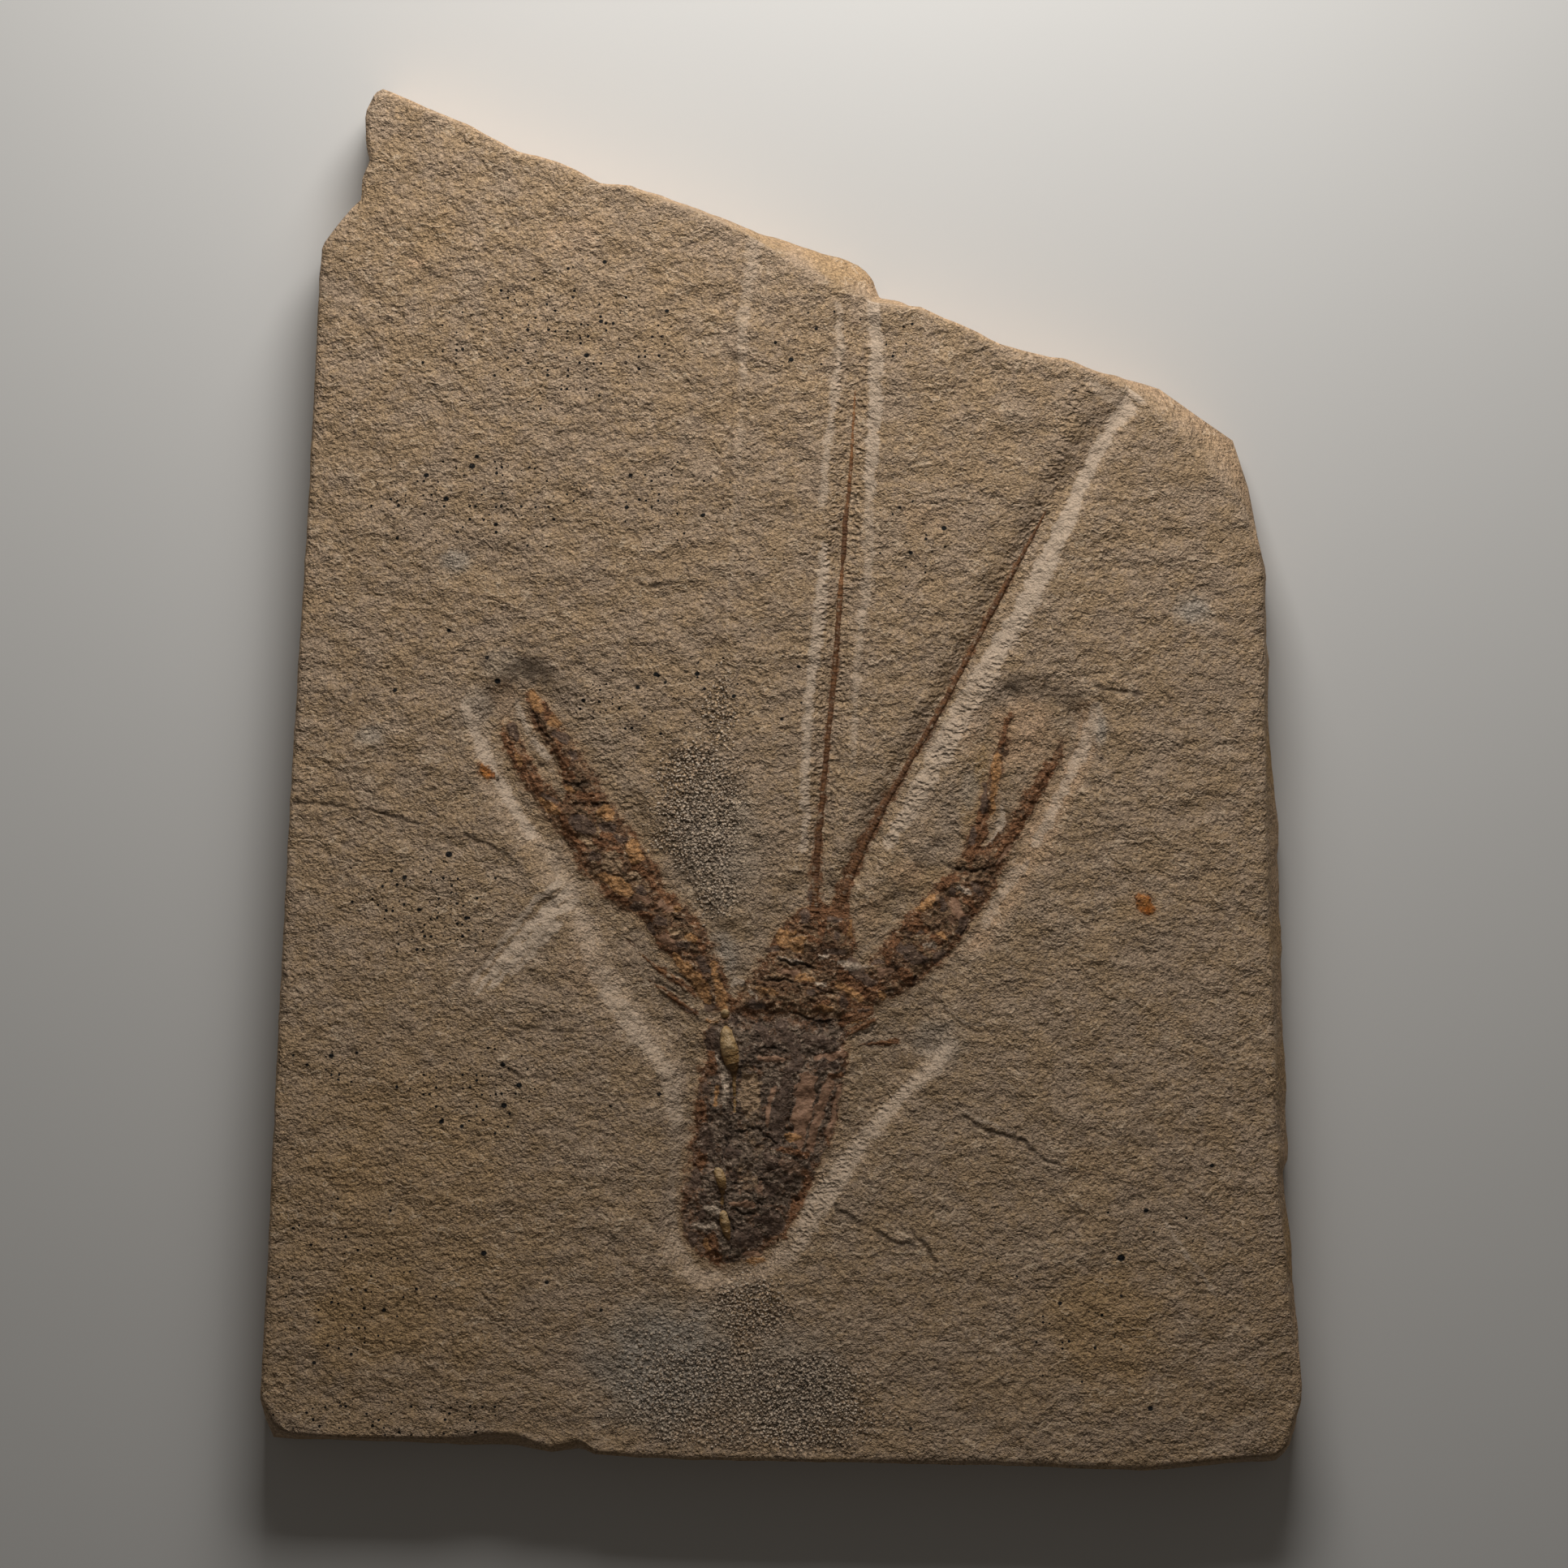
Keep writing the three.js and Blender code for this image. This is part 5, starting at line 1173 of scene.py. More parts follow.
# Each bead's tone runs from pale at its +y end, toward the key, to dark at its other end: painted light and
# shade.
BEADS = (
    calcite_bead("calcite_ball",
        (-10.9, -44, 0.25, -0.3, 0.7), (-10.85, -44.5, 0.85, 0.7, 0.8), (-10.8, -45.2, 0.8, 0.6, 0.5),
        (-10.7, -45.9, 0.25, -0.3, 0.3)),
    calcite_bead("calcite_bead_upper",
        (-10.8, -47, 0.3, -0.2, 0.6), (-10.6, -48.4, 1.2, 0.9, 0.75), (-10.3, -50.2, 1.6, 1.3, 0.85),
        (-9.8, -52.4, 1.8, 1.35, 0.6), (-9.3, -54.6, 1.45, 1.1, 0.35), (-9.2, -55.6, 0.8, 0.6, 0.1),
        (-9.1, -57, 0.4, 0.25, 0.2), (-9.1, -60, 0.35, 0.2, 0.4), (-9, -63.6, 0.3, 0.1, 0.45),
        (-9.2, -64.6, 0.2, -0.2, 0.4)),
    calcite_bead("calcite_bead_middle",
        (-12.6, -73.9, 0.3, -0.2, 0.8), (-12.2, -74.9, 0.9, 0.7, 0.85), (-11.6, -76.6, 1.1, 0.95, 0.6),
        (-11.3, -78.4, 0.85, 0.7, 0.1), (-11.3, -79.6, 0.4, 0.2, 0.1), (-11.5, -81.4, 0.35, 0.15, 0.4),
        (-11.6, -82.2, 0.2, -0.2, 0.4)),
    calcite_bead("calcite_bead_lower",
        (-11.3, -82.6, 0.3, -0.2, 0.7), (-11.2, -83.3, 0.8, 0.6, 0.75), (-10.9, -85, 1, 0.85, 0.7),
        (-10.6, -86.6, 0.85, 0.65, 0.3), (-10.2, -88, 0.45, 0.3, 0.1), (-10.1, -88.8, 0.25, -0.2, 0.2)),
)


# ---- Node trees ------------------------------------------------------------------------------------------


@dataclass(frozen=True)
class Pattern:
    """Noise of one kind.

    Attributes:
        width: its widest blots, in millimetres.
        detail: how many finer sizes it has.
        rough: how strong those are.
    """

    width: float
    detail: float = 2.0
    rough: float = 0.5


class Nodes:
    """A short way to add and link the nodes of one tree."""

    def __init__(self, tree: Tree) -> None:
        """Takes the tree to fill."""
        self.tree = tree

    def add(self, kind: str, inputs: dict | None = None, **settings: object) -> bpy.types.Node:
        """Adds a node.

        Args:
            kind: Blender's name of the node.
            inputs: what its inputs get, a value or a socket, by name or number.
            settings: its other options.

        Returns:
            The node.
        """
        node = self.tree.nodes.new(kind)
        for key, value in settings.items():
            setattr(node, key, value)
        for key, value in (inputs or {}).items():
            if isinstance(value, Socket):
                self.tree.links.new(value, node.inputs[key])
            else:
                node.inputs[key].default_value = value
        return node

    def math(self, operation: str, a: object, b: object = 0.0, c: object = 0.0) -> Socket:
        """The result of a Math node."""
        return self.add("ShaderNodeMath", {0: a, 1: b, 2: c}, operation=operation).outputs[0]

    def plus(self, a: object, b: object) -> Socket:
        """a + b."""
        return self.math("ADD", a, b)

    def minus(self, a: object, b: object) -> Socket:
        """a - b."""
        return self.math("SUBTRACT", a, b)

    def times(self, a: object, b: object) -> Socket:
        """a * b."""
        return self.math("MULTIPLY", a, b)

    def line(self, value: object, slope: object, start: object) -> Socket:
        """value * slope + start."""
        return self.math("MULTIPLY_ADD", value, slope, start)

    def highest(self, *values: object) -> Socket:
        """The highest of some values."""
        first, *rest = values
        return self.math("MAXIMUM", first, self.highest(*rest)) if rest else first

    def scaled(self, vector: Socket, factor: object) -> Socket:
        """A vector times a number."""
        return self.add("ShaderNodeVectorMath", {0: vector, "Scale": factor}, operation="SCALE").outputs[0]

    def ramp(self, value: object, low: float, high: float, start: float = 0.0, end: float = 1.0) -> Socket:
        """A smooth step of a value between two limits, from start to end."""
        inputs = {0: value, 1: low, 2: high, 3: start, 4: end}
        return self.add("ShaderNodeMapRange", inputs, interpolation_type="SMOOTHSTEP").outputs[0]

    def total(self, parts: tuple[tuple[Socket, float], ...]) -> Socket:
        """The sum of some values, each times its own factor."""
        sum_so_far = 0.0
        for value, factor in parts:
            sum_so_far = self.line(value, factor, sum_so_far)
        return sum_so_far

    def noise(self, place: Socket, pattern: Pattern) -> Socket:
        """Noise of about 0 to 1."""
        inputs = {"Vector": place, "Scale": 1.0 / (pattern.width * MM), "Detail": pattern.detail,
                  "Roughness": pattern.rough}
        return self.add("ShaderNodeTexNoise", inputs).outputs[0]

    def cells(self, place: Socket, width: float, **settings: object) -> object:
        """Cells of a width in millimetres: their distance, colour and place."""
        inputs = {"Vector": place, "Scale": 1.0 / (width * MM)}
        return self.add("ShaderNodeTexVoronoi", inputs, **settings).outputs

    def blend(self, share: object, a: object, b: object, mode: str = "MIX") -> Socket:
        """Two colours blended; plain colours are triples."""
        a, b = (v if isinstance(v, Socket) else (*v, 1.0) for v in (a, b))
        return self.add("ShaderNodeMix", {0: share, 6: a, 7: b}, data_type="RGBA", blend_type=mode).outputs[2]

    def mask(self, name: str) -> Socket:
        """A mask stored on the piece's mesh."""
        return self.add("ShaderNodeAttribute", attribute_name=name).outputs["Fac"]

    def lit(self, colour: Socket, light: Socket, share: object = 1.0) -> Socket:
        """A colour made lighter and darker by a factor, as far as a share says."""
        grey = self.add("ShaderNodeCombineColor", {0: light, 1: light, 2: light}).outputs[0]
        return self.blend(share, colour, grey, "MULTIPLY")


class Group:
    """A shader node group: a named effect with named inputs and outputs, built once."""

    title = ""
    inputs: dict[str, str] = {}
    outputs: tuple[str, ...] = ()

    def __init__(self) -> None:
        """Builds the group."""
        self.tree = bpy.data.node_groups.new(self.title, "ShaderNodeTree")
        for name, kind in self.inputs.items():
            self.tree.interface.new_socket(name, in_out="INPUT", socket_type="NodeSocket" + kind)
        for name in self.outputs:
            self.tree.interface.new_socket(name, in_out="OUTPUT", socket_type="NodeSocketFloat")
        nodes = Nodes(self.tree)
        given = nodes.add("NodeGroupInput").outputs
        nodes.add("NodeGroupOutput", self.make(nodes, given))

    def make(self, nodes: Nodes, given: object) -> dict[str, Socket]:
        """Adds the group's nodes.

        Args:
            nodes: the group's tree.
            given: the group's inputs, by name.

        Returns:
            What each output gets.
        """
        raise NotImplementedError

    def use(self, nodes: Nodes, **values: object) -> object:
        """Places the group in a material; names have _ for a space. Returns its outputs."""
        node = nodes.add("ShaderNodeGroup", node_tree=self.tree)
        for key, value in values.items():
            socket = node.inputs[key.replace("_", " ")]
            if isinstance(value, Socket):
                nodes.tree.links.new(value, socket)
            else:
                socket.default_value = value
        return node.outputs


class Grain(Group):
    """Grain of fine limestone, from lumps several millimetres wide down to single grains."""

    title = "Grain"
    inputs = {"Place": "Vector"}
    outputs = ("Fine", "Knobs", "Lumps", "Speckle", "Wisps")
    sizes = {
        "Fine": Pattern(0.9, 2.5, 0.75), "Knobs": Pattern(2.8, 2.0, 0.65), "Lumps": Pattern(7.5, 2.0, 0.6),
        "Speckle": Pattern(0.55, 2.0, 0.8),
    }
    wisps = Pattern(1.3, 3.0, 0.65)
    thinning = Pattern(1.9, 3.0, 0.7)
    wisp_half = 0.045  # how far from its middle value the noise still makes a wisp

    def make(self, nodes: Nodes, given: object) -> dict[str, Socket]:
        """Adds four sizes of noise, and thin bent wisps where another one crosses its middle; the wisps are
        painted as highlights.
        """
        place = given["Place"]
        crossing = nodes.math("ABSOLUTE", nodes.minus(nodes.noise(place, self.wisps), 0.5))
        thinned = nodes.ramp(nodes.noise(place, self.thinning), 0.42, 0.58)
        made = {name: nodes.noise(place, pattern) for name, pattern in self.sizes.items()}
        made["Wisps"] = nodes.times(nodes.ramp(crossing, 0.0, self.wisp_half, 1.0, 0.0), thinned)
        return made


class Scales(Group):
    """Small scarps left where thin scales split off: each rises slowly and drops steeply away from +y."""

    title = "Scales"
    inputs = {"Place": "Vector", "Width": "Float", "Bend": "Float"}
    outputs = ("Height", "Lip")
    bend_size = 0.45  # scale of the noise that bends the scarps, over the scarps' own
    top, lip = 0.78, 0.84  # where a scarp starts to drop, and the middle of the band along its crest where a highlight is painted

    def make(self, nodes: Nodes, given: object) -> dict[str, Socket]:
        """Adds a bent saw-tooth, and a mask along its crests where a highlight is painted."""
        place = given["Place"]
        up = nodes.add("ShaderNodeSeparateXYZ", {0: place}).outputs[1]
        scale = nodes.math("DIVIDE", 1.0, given["Width"])
        inputs = {"Vector": place, "Scale": nodes.times(scale, self.bend_size), "Detail": 3.0,
                  "Roughness": 0.7}
        noise = nodes.add("ShaderNodeTexNoise", inputs).outputs[0]
        bent = nodes.times(noise, given["Bend"])
        part = nodes.math("FRACT", nodes.line(up, scale, bent))
        off_crest = nodes.math("ABSOLUTE", nodes.minus(part, self.lip))
        return {"Height": nodes.minus(part, nodes.ramp(part, self.top, 1.0)),
                "Lip": nodes.ramp(off_crest, 0.02, 0.10, 1.0, 0.0)}


class Nicks(Group):
    """Crescent nicks of a needle, about a millimetre wide, with raised walls between them."""

    title = "Nicks"
    inputs = {"Place": "Vector"}
    outputs = ("Height",)
    width = 1.15
    stretch = (0.85, 1.2, 1.0)
    warp = 1.5  # how far the nicks are moved, in millimetres
    warp_width = 2.2

    def make(self, nodes: Nodes, given: object) -> dict[str, Socket]:
        """Adds warped cells, each cut deeper on one side."""
        place = given["Place"]
        inputs = {"Vector": place, "Scale": 1.0 / (self.warp_width * MM), "Detail": 1.0}
        moved = nodes.scaled(nodes.add("ShaderNodeTexNoise", inputs).outputs[1], self.warp * MM)
        stretched = nodes.add("ShaderNodeMapping", {"Vector": place, "Scale": self.stretch}).outputs[0]
        moved = nodes.add("ShaderNodeVectorMath", {0: stretched, 1: moved}, operation="ADD").outputs[0]
        cell = nodes.cells(moved, self.width, voronoi_dimensions="2D")
        return {"Height": nodes.ramp(cell["Distance"], 0.1, 0.62)}


class TinySpecks(Group):
    """Pin-prick mineral specks, as many as a density asks for."""

    title = "Tiny Specks"
    inputs = {"Place": "Vector", "Density": "Float"}
    outputs = ("Mask",)
    pitch = 1.25
    most = 0.42  # share of the cells with a speck where they are densest
    smallest, spread = 0.1, 0.16  # their radii, in cells

    def make(self, nodes: Nodes, given: object) -> dict[str, Socket]:
        """Adds cells, of which a share holds a speck of its own size."""
        cell = nodes.cells(given["Place"], self.pitch, voronoi_dimensions="2D")
        pick = nodes.add("ShaderNodeSeparateColor", {0: cell["Color"]}).outputs
        chosen = nodes.math("GREATER_THAN", nodes.times(given["Density"], self.most), pick[0])
        radius = nodes.line(nodes.math("POWER", pick[1], 2.0), self.spread, self.smallest)
        return {"Mask": nodes.times(nodes.math("LESS_THAN", cell["Distance"], radius), chosen)}


@dataclass
class Effects:
    """The shared shader groups."""

    grain: Grain = field(default_factory=Grain)
    scales: Scales = field(default_factory=Scales)
    nicks: Nicks = field(default_factory=Nicks)
    specks: TinySpecks = field(default_factory=TinySpecks)


def new_material(name: str, specular: float = 0.5) -> tuple[Material, Nodes, bpy.types.Node, Socket]:
    """A bare material with its node helper, its Principled shader and the piece's own coordinates."""
    material = bpy.data.materials.new(name)
    material.use_nodes = True
    nodes = Nodes(material.node_tree)
    shader = material.node_tree.nodes["Principled BSDF"]
    shader.inputs["Specular IOR Level"].default_value = specular
    place = nodes.add("ShaderNodeTexCoord").outputs["Object"]
    return material, nodes, shader, place


def finish_surface(nodes: Nodes, shader: bpy.types.Node, colour: Socket, roughness: Socket,
                   relief: Socket) -> None:
    """Links a material's colour, roughness and relief.

    Args:
        nodes: the material's tree.
        shader: its Principled shader.
        colour: goes to Base Color.
        roughness: goes to Roughness.
        relief: height in millimetres.
    """
    normal = nodes.add("ShaderNodeBump", {"Height": relief, "Distance": MM, "Strength": 1.0}).outputs[0]
    for name, value in (("Base Color", colour), ("Roughness", roughness), ("Normal", normal)):
        nodes.tree.links.new(value, shader.inputs[name])


@dataclass(frozen=True)
class StoneTints:
    """Colours of the limestone."""

    tan: Colour = (0.465, 0.335, 0.228)
    ochre: Colour = (0.465, 0.318, 0.188)
    # highlight painted on the lips of the stone's scales
    lip: Colour = (0.78, 0.60, 0.42)
    speck: Colour = (0.012, 0.011, 0.010)
    layers: tuple[tuple[str, Colour, float], ...] = (
        # The stain tint also paints shade over the lower left of the face.
        ("broken", (0.60, 0.395, 0.235), 0.8), ("stain_and_shade", (0.47, 0.29, 0.125), 0.8),
        ("blush", (0.66, 0.42, 0.25), 0.7),
        ("cool", (0.45, 0.385, 0.315), 0.85), ("pale", (0.70, 0.54, 0.41), 0.85),
        ("shade", (0.13, 0.10, 0.07), 0.6),
    )


@dataclass(frozen=True)
class HueTints:
    """Colours of the marks, from the lowest layer up."""

    scraped: Colour = (0.58, 0.45, 0.335)
    plate: Colour = (0.385, 0.215, 0.13)
    rust: Colour = (0.30, 0.135, 0.060)
    dusk: Colour = (0.138, 0.085, 0.058)
    ochre: Colour = (0.52, 0.265, 0.105)
    chalk: Colour = (0.70, 0.54, 0.40)
    # black painted as the shadow in gaps and pits
    gap_shadow: Colour = (0.042, 0.028, 0.019)


@dataclass(frozen=True)
class FacePatterns:
    """The noise that breaks up the face's colours and relief."""

    fray: Pattern = Pattern(1.4, 5.0, 0.8)  # wears the edge of every mark
    torn: Pattern = Pattern(2.8, 5.0, 0.74)  # breaks up the shell's edge
    rusty: Pattern = Pattern(3.4, 3.0, 0.65)  # where that edge is rusty
    crumb: Pattern = Pattern(0.95, 4.0, 0.76)  # crumbs in the shell
    fold: Pattern = Pattern(3.4, 3.0, 0.62)  # its crushed folds
    mottle: Pattern = Pattern(4.6, 5.0, 0.72)  # its two ground colours
    fleck: Pattern = Pattern(2.2, 5.0, 0.78)  # its rusty and dark flecks
    # where black is painted as shade in the shell's pits
    pit: Pattern = Pattern(0.9, 3.0, 0.7)
    scaly: Pattern = Pattern(5.5, 3.0, 0.6)  # where big scales split off the stone
    patch: Pattern = Pattern(6.0, 4.0, 0.65)  # the stone's two colours
    patch_grain: Pattern = Pattern(1.0, 2.0, 0.7)
    grit_width: float = 0.75  # of the pits between crumbs


@dataclass(frozen=True)
class Relief:
    """Heights of what is too small for the face's meshes, in millimetres."""

    lumps: float = 2.4
    knobs: float = 1.05
    grains: float = 1.0
    wisps: float = 0.05
    big_scales: float = 0.16
    small_scales: float = 0.045
    folds: float = 1.05
    nicks: float = 0.34
    grit: float = -1.0
    flakes: float = 0.04
    cracks: float = -0.16


@dataclass(frozen=True)
class Layers:
    """What one face material shares among its parts.

    Attributes:
        place: the piece's own coordinates.
        grain: the outputs of the grain group.
        crumb: noise of the shell's crumbs.
        grit: cells of the gritty patches.
        marks: a mask for each hue.
        rim: how far inside the shell's torn edge.
        shell, animal: masks of the shell alone, and with its stains.
    """

    place: Socket
    grain: object
    crumb: Socket
    grit: Socket
    marks: dict[Hue, Socket]
    rim: Socket
    shell: Socket
    animal: Socket


@dataclass(frozen=True)
class FaceFinish:
    """The look of the face, of stone and shell alike; each slot has its own ground colours of the shell.

    Attributes:
        name: the material.
        base, second: ground colours of the shell.
        crumb: colour of the crumbs in it, and of the highlights painted on their crests.
        halo: warm tint of the stone round the shell.
        flecked: strength of the rusty and the dark flecks.
        torn: how far its edge is broken up.
    """

    name: str
    base: Colour = (0.24, 0.138, 0.08)
    second: Colour = (0.31, 0.19, 0.11)
    crumb: Colour = (0.50, 0.37, 0.25)
    halo: Colour = (0.50, 0.32, 0.18)
    flecked: float = 0.85
    torn: float = 1.0
    stone: StoneTints = StoneTints()
    tints: HueTints = HueTints()
    patterns: FacePatterns = FacePatterns()
    relief: Relief = Relief()

    def build(self, effects: Effects) -> Material:
        """Builds the material."""
        material, nodes, shader, place = new_material(self.name, specular=0.3)
        layers = self._layers(nodes, place, effects)
        stone, scales = self._stone(nodes, layers, effects)
        colour = self._painted(nodes, layers, stone)
        marks = layers.marks
        smooth = nodes.highest(marks[Hue.PLATE], nodes.times(marks[Hue.DUSK], 0.8))
        smooth = nodes.highest(smooth, nodes.times(marks[Hue.OCHRE], 0.5))
        stone_rough = nodes.ramp(layers.grain["Speckle"], 0.2, 0.8, 0.98, 0.86)
        shell_rough = nodes.line(smooth, -0.22, nodes.ramp(layers.crumb, 0.3, 0.7, 0.78, 0.9))
        rough = {0: layers.animal, 2: stone_rough, 3: shell_rough}
        rough = nodes.add("ShaderNodeMix", rough, data_type="FLOAT").outputs[0]
        smooth = nodes.highest(smooth, nodes.times(marks[Hue.SCRAPED], 0.6))
        nicks = nodes.times(effects.nicks.use(nodes, Place=place)["Height"], nodes.mask(Hue.NICKED.value))
        relief = self._height(nodes, layers, scales, smooth, nicks)
        finish_surface(nodes, shader, colour, rough, relief)
        return material

    def _layers(self, nodes: Nodes, place: Socket, effects: Effects) -> Layers:
        """Reads the masks, wears their edges and adds the shared noise."""
        patterns = self.patterns
        fray = nodes.line(nodes.noise(place, patterns.fray), 2.2, -1.1)
        marks = {}
        for hue in (Hue.BARE, *PAINTED, Hue.GAP_SHADOW):
            share = 0.5 if hue in (Hue.PLATE, Hue.DUSK) else 1.0  # plates split off clean
            marks[hue] = nodes.ramp(nodes.line(fray, share, nodes.mask(hue.value)), 0.20, 0.80)
        strip = nodes.line(fray, 0.5, nodes.mask(Hue.SCRAPED.value))
        marks[Hue.SCRAPED] = nodes.ramp(strip, 0.15, 0.85, 0.0, 0.9)
        torn = nodes.line(nodes.noise(place, patterns.torn), 3.8 * self.torn, -1.75 * self.torn)
        rim = nodes.plus(nodes.line(fray, 0.9, nodes.mask("shell")), torn)
        shell = nodes.times(nodes.ramp(rim, -0.25, 0.25), nodes.minus(1.0, marks[Hue.BARE]))
        return Layers(
            place, effects.grain.use(nodes, Place=place), nodes.noise(place, patterns.crumb),
            nodes.cells(place, patterns.grit_width)[0], marks, rim, shell,
            nodes.highest(shell, marks[Hue.RUST], marks[Hue.OCHRE]),
        )

    def _stone(self, nodes: Nodes, layers: Layers, effects: Effects) -> tuple[Socket, Socket]:
        """The stone's colour, with painted highlights on its scales' lips and on its wisps and painted light
        and shade on its grit, and the height of its scales in millimetres.
        """
        place, grain, patterns = layers.place, layers.grain, self.patterns
        big = effects.scales.use(nodes, Place=place, Width=3.4 * MM, Bend=5.0)
        small = effects.scales.use(nodes, Place=place, Width=1.05 * MM, Bend=4.0)
        where = nodes.ramp(nodes.noise(place, patterns.scaly), 0.50, 0.58)
        patchy = nodes.minus(nodes.noise(place, patterns.patch), 0.25)
        warm = nodes.line(nodes.noise(place, patterns.patch_grain), 0.5, patchy)
        colour = nodes.blend(nodes.ramp(warm, 0.35, 0.65), self.stone.tan, self.stone.ochre)
        for name, tint, most in self.stone.layers:
            colour = nodes.blend(nodes.times(nodes.mask(name), most), colour, tint)
        light = nodes.ramp(grain["Speckle"], 0.28, 0.72, 0.54, 1.26)
        # The small scales' lips are made lighter, a painted highlight.
        light = nodes.line(small["Lip"], 0.1, light)
        # The wisps are made lighter, a painted highlight.
        light = nodes.line(grain["Wisps"], 0.5, light)
        colour = nodes.lit(colour, light)
        # A pale highlight painted on the lips of the big scales.
        lip = nodes.times(big["Lip"], where)
        colour = nodes.blend(nodes.times(lip, 0.5), colour, self.stone.lip)
        tiny = effects.specks.use(nodes, Place=place, Density=nodes.mask("swarm"))["Mask"]
        spot = nodes.ramp(nodes.mask("speck"), -0.12, 0.1, 1.0, 0.0)
        colour = nodes.blend(nodes.highest(spot, tiny), colour, self.stone.speck)
        # Painted light and shade on the grit: lighter on the crumbs' tops and darker in the pits between
        # them.
        colour = nodes.lit(colour, nodes.ramp(layers.grit, 0.15, 0.65, 1.75, 0.42), nodes.mask("grit"))
        scarps = nodes.times(big["Height"], where)
        heights = ((scarps, self.relief.big_scales), (small["Height"], self.relief.small_scales))
        return colour, nodes.total(heights)

    def _shell(self, nodes: Nodes, layers: Layers) -> Socket:
        """The mottled ground colour of the shell, with black specks painted as shade in its pits."""
        place, patterns = layers.place, self.patterns
        mottle, fleck = nodes.noise(place, patterns.mottle), nodes.noise(place, patterns.fleck)
        colour = nodes.blend(nodes.ramp(mottle, 0.42, 0.60), self.base, self.second)
        colour = nodes.blend(nodes.ramp(fleck, 0.53, 0.60, 0.0, self.flecked), colour, self.tints.rust)
        colour = nodes.blend(nodes.ramp(fleck, 0.34, 0.42, 0.8 * self.flecked, 0.0), colour, self.tints.dusk)
        colour = nodes.blend(nodes.ramp(layers.crumb, 0.56, 0.68, 0.0, 0.8), colour, self.crumb)
        # Black specks painted as the shade in the shell's pits.
        pits = nodes.ramp(nodes.noise(place, patterns.pit), 0.34, 0.42, 0.5, 0.0)
        return nodes.blend(pits, colour, self.tints.gap_shadow)

    def _painted(self, nodes: Nodes, layers: Layers, stone: Socket) -> Socket:
        """The stone's colour with the halo, the shell and the marks laid over it, with highlights painted on
        the shell's crumbs, light and shade painted following them, and black painted as the shadow in gaps.
        """
        marks, rim, crumb, animal = layers.marks, layers.rim, layers.crumb, layers.animal
        colour = nodes.blend(nodes.times(nodes.ramp(rim, -1.8, 0.1), 0.6), stone, self.halo)
        powder = nodes.ramp(layers.grain["Speckle"], 0.35, 0.65)
        strip = nodes.blend(powder, self.tints.scraped, self.tints.chalk)
        colour = nodes.blend(marks[Hue.SCRAPED], colour, strip)
        rusty = nodes.ramp(nodes.noise(layers.place, self.patterns.rusty), 0.42, 0.60, 0.1, 0.9)
        edge = nodes.times(nodes.ramp(rim, 0.2, 1.8, 1.0, 0.0), rusty)
        shell = nodes.blend(edge, self._shell(nodes, layers), self.tints.rust)
        colour = nodes.blend(layers.shell, colour, shell)
        for hue in PAINTED:
            colour = nodes.blend(nodes.times(marks[hue], 0.92), colour, getattr(self.tints, hue.value))
        # Painted highlights on the crests of the shell's crumbs.
        crest_highlight = nodes.times(nodes.ramp(crumb, 0.56, 0.72, 0.0, 0.7), animal)
        crest_highlight = nodes.times(crest_highlight, nodes.line(marks[Hue.PLATE], -0.7, 1.0))
        colour = nodes.blend(crest_highlight, colour, self.crumb)
        # Painted light and shade: the shell is lighter on its crumbs' tops and darker between them, following
        # their relief.
        crumb_shading_share = nodes.times(animal, nodes.line(marks[Hue.PLATE], -0.55, 1.0))
        colour = nodes.lit(colour, nodes.ramp(crumb, 0.32, 0.68, 0.54, 1.5), crumb_shading_share)
        return nodes.blend(nodes.times(marks[Hue.GAP_SHADOW], 0.6), colour, self.tints.gap_shadow)

    def _height(self, nodes: Nodes, layers: Layers, scales: Socket, smooth: Socket, nicks: Socket) -> Socket:
        """The height of what is too small for the mesh.

        Args:
            nodes: the material's tree.
            layers: its masks and noise.
            scales: height of the stone's scales.
            smooth: mask of what is smooth.
            nicks: height of the needle's nicks.

        Returns:
            The height in millimetres.
        """
        grain, marks, most = layers.grain, layers.marks, self.relief
        rugged = nodes.highest(layers.animal, nodes.times(nodes.mask("hollow"), 0.45))
        folds = nodes.line(nodes.noise(layers.place, self.patterns.fold), 2.6, nodes.minus(layers.crumb, 1.8))
        small = nodes.total((
            (nodes.minus(grain["Knobs"], 0.5), most.knobs), (scales, 1.0),
            (nodes.times(folds, rugged), most.folds), (nodes.minus(grain["Fine"], 0.5), most.grains),
            (grain["Wisps"], most.wisps),
        ))
        flakes = nodes.highest(marks[Hue.PLATE], marks[Hue.OCHRE], marks[Hue.CHALK])
        return nodes.total((
            (grain["Lumps"], most.lumps), (nodes.times(small, nodes.line(smooth, -0.8, 1.0)), 1.0),
            (nicks, most.nicks), (nodes.times(layers.grit, nodes.mask("grit")), most.grit),
            (flakes, most.flakes), (marks[Hue.GAP_SHADOW], most.cracks),
        ))


FACE_FINISHES = (
    FaceFinish("limestone"),
    FaceFinish("dark_shell", base=(0.18, 0.12, 0.083), second=(0.35, 0.25, 0.175), crumb=(0.50, 0.385, 0.29),
               flecked=0.5),
    FaceFinish("rust_shell", base=(0.225, 0.118, 0.062), second=(0.38, 0.235, 0.13)),
    FaceFinish("amber_shell", base=(0.52, 0.155, 0.02), second=(0.66, 0.27, 0.075), crumb=(0.6, 0.3, 0.1),
               flecked=0.0, torn=0.15),
)


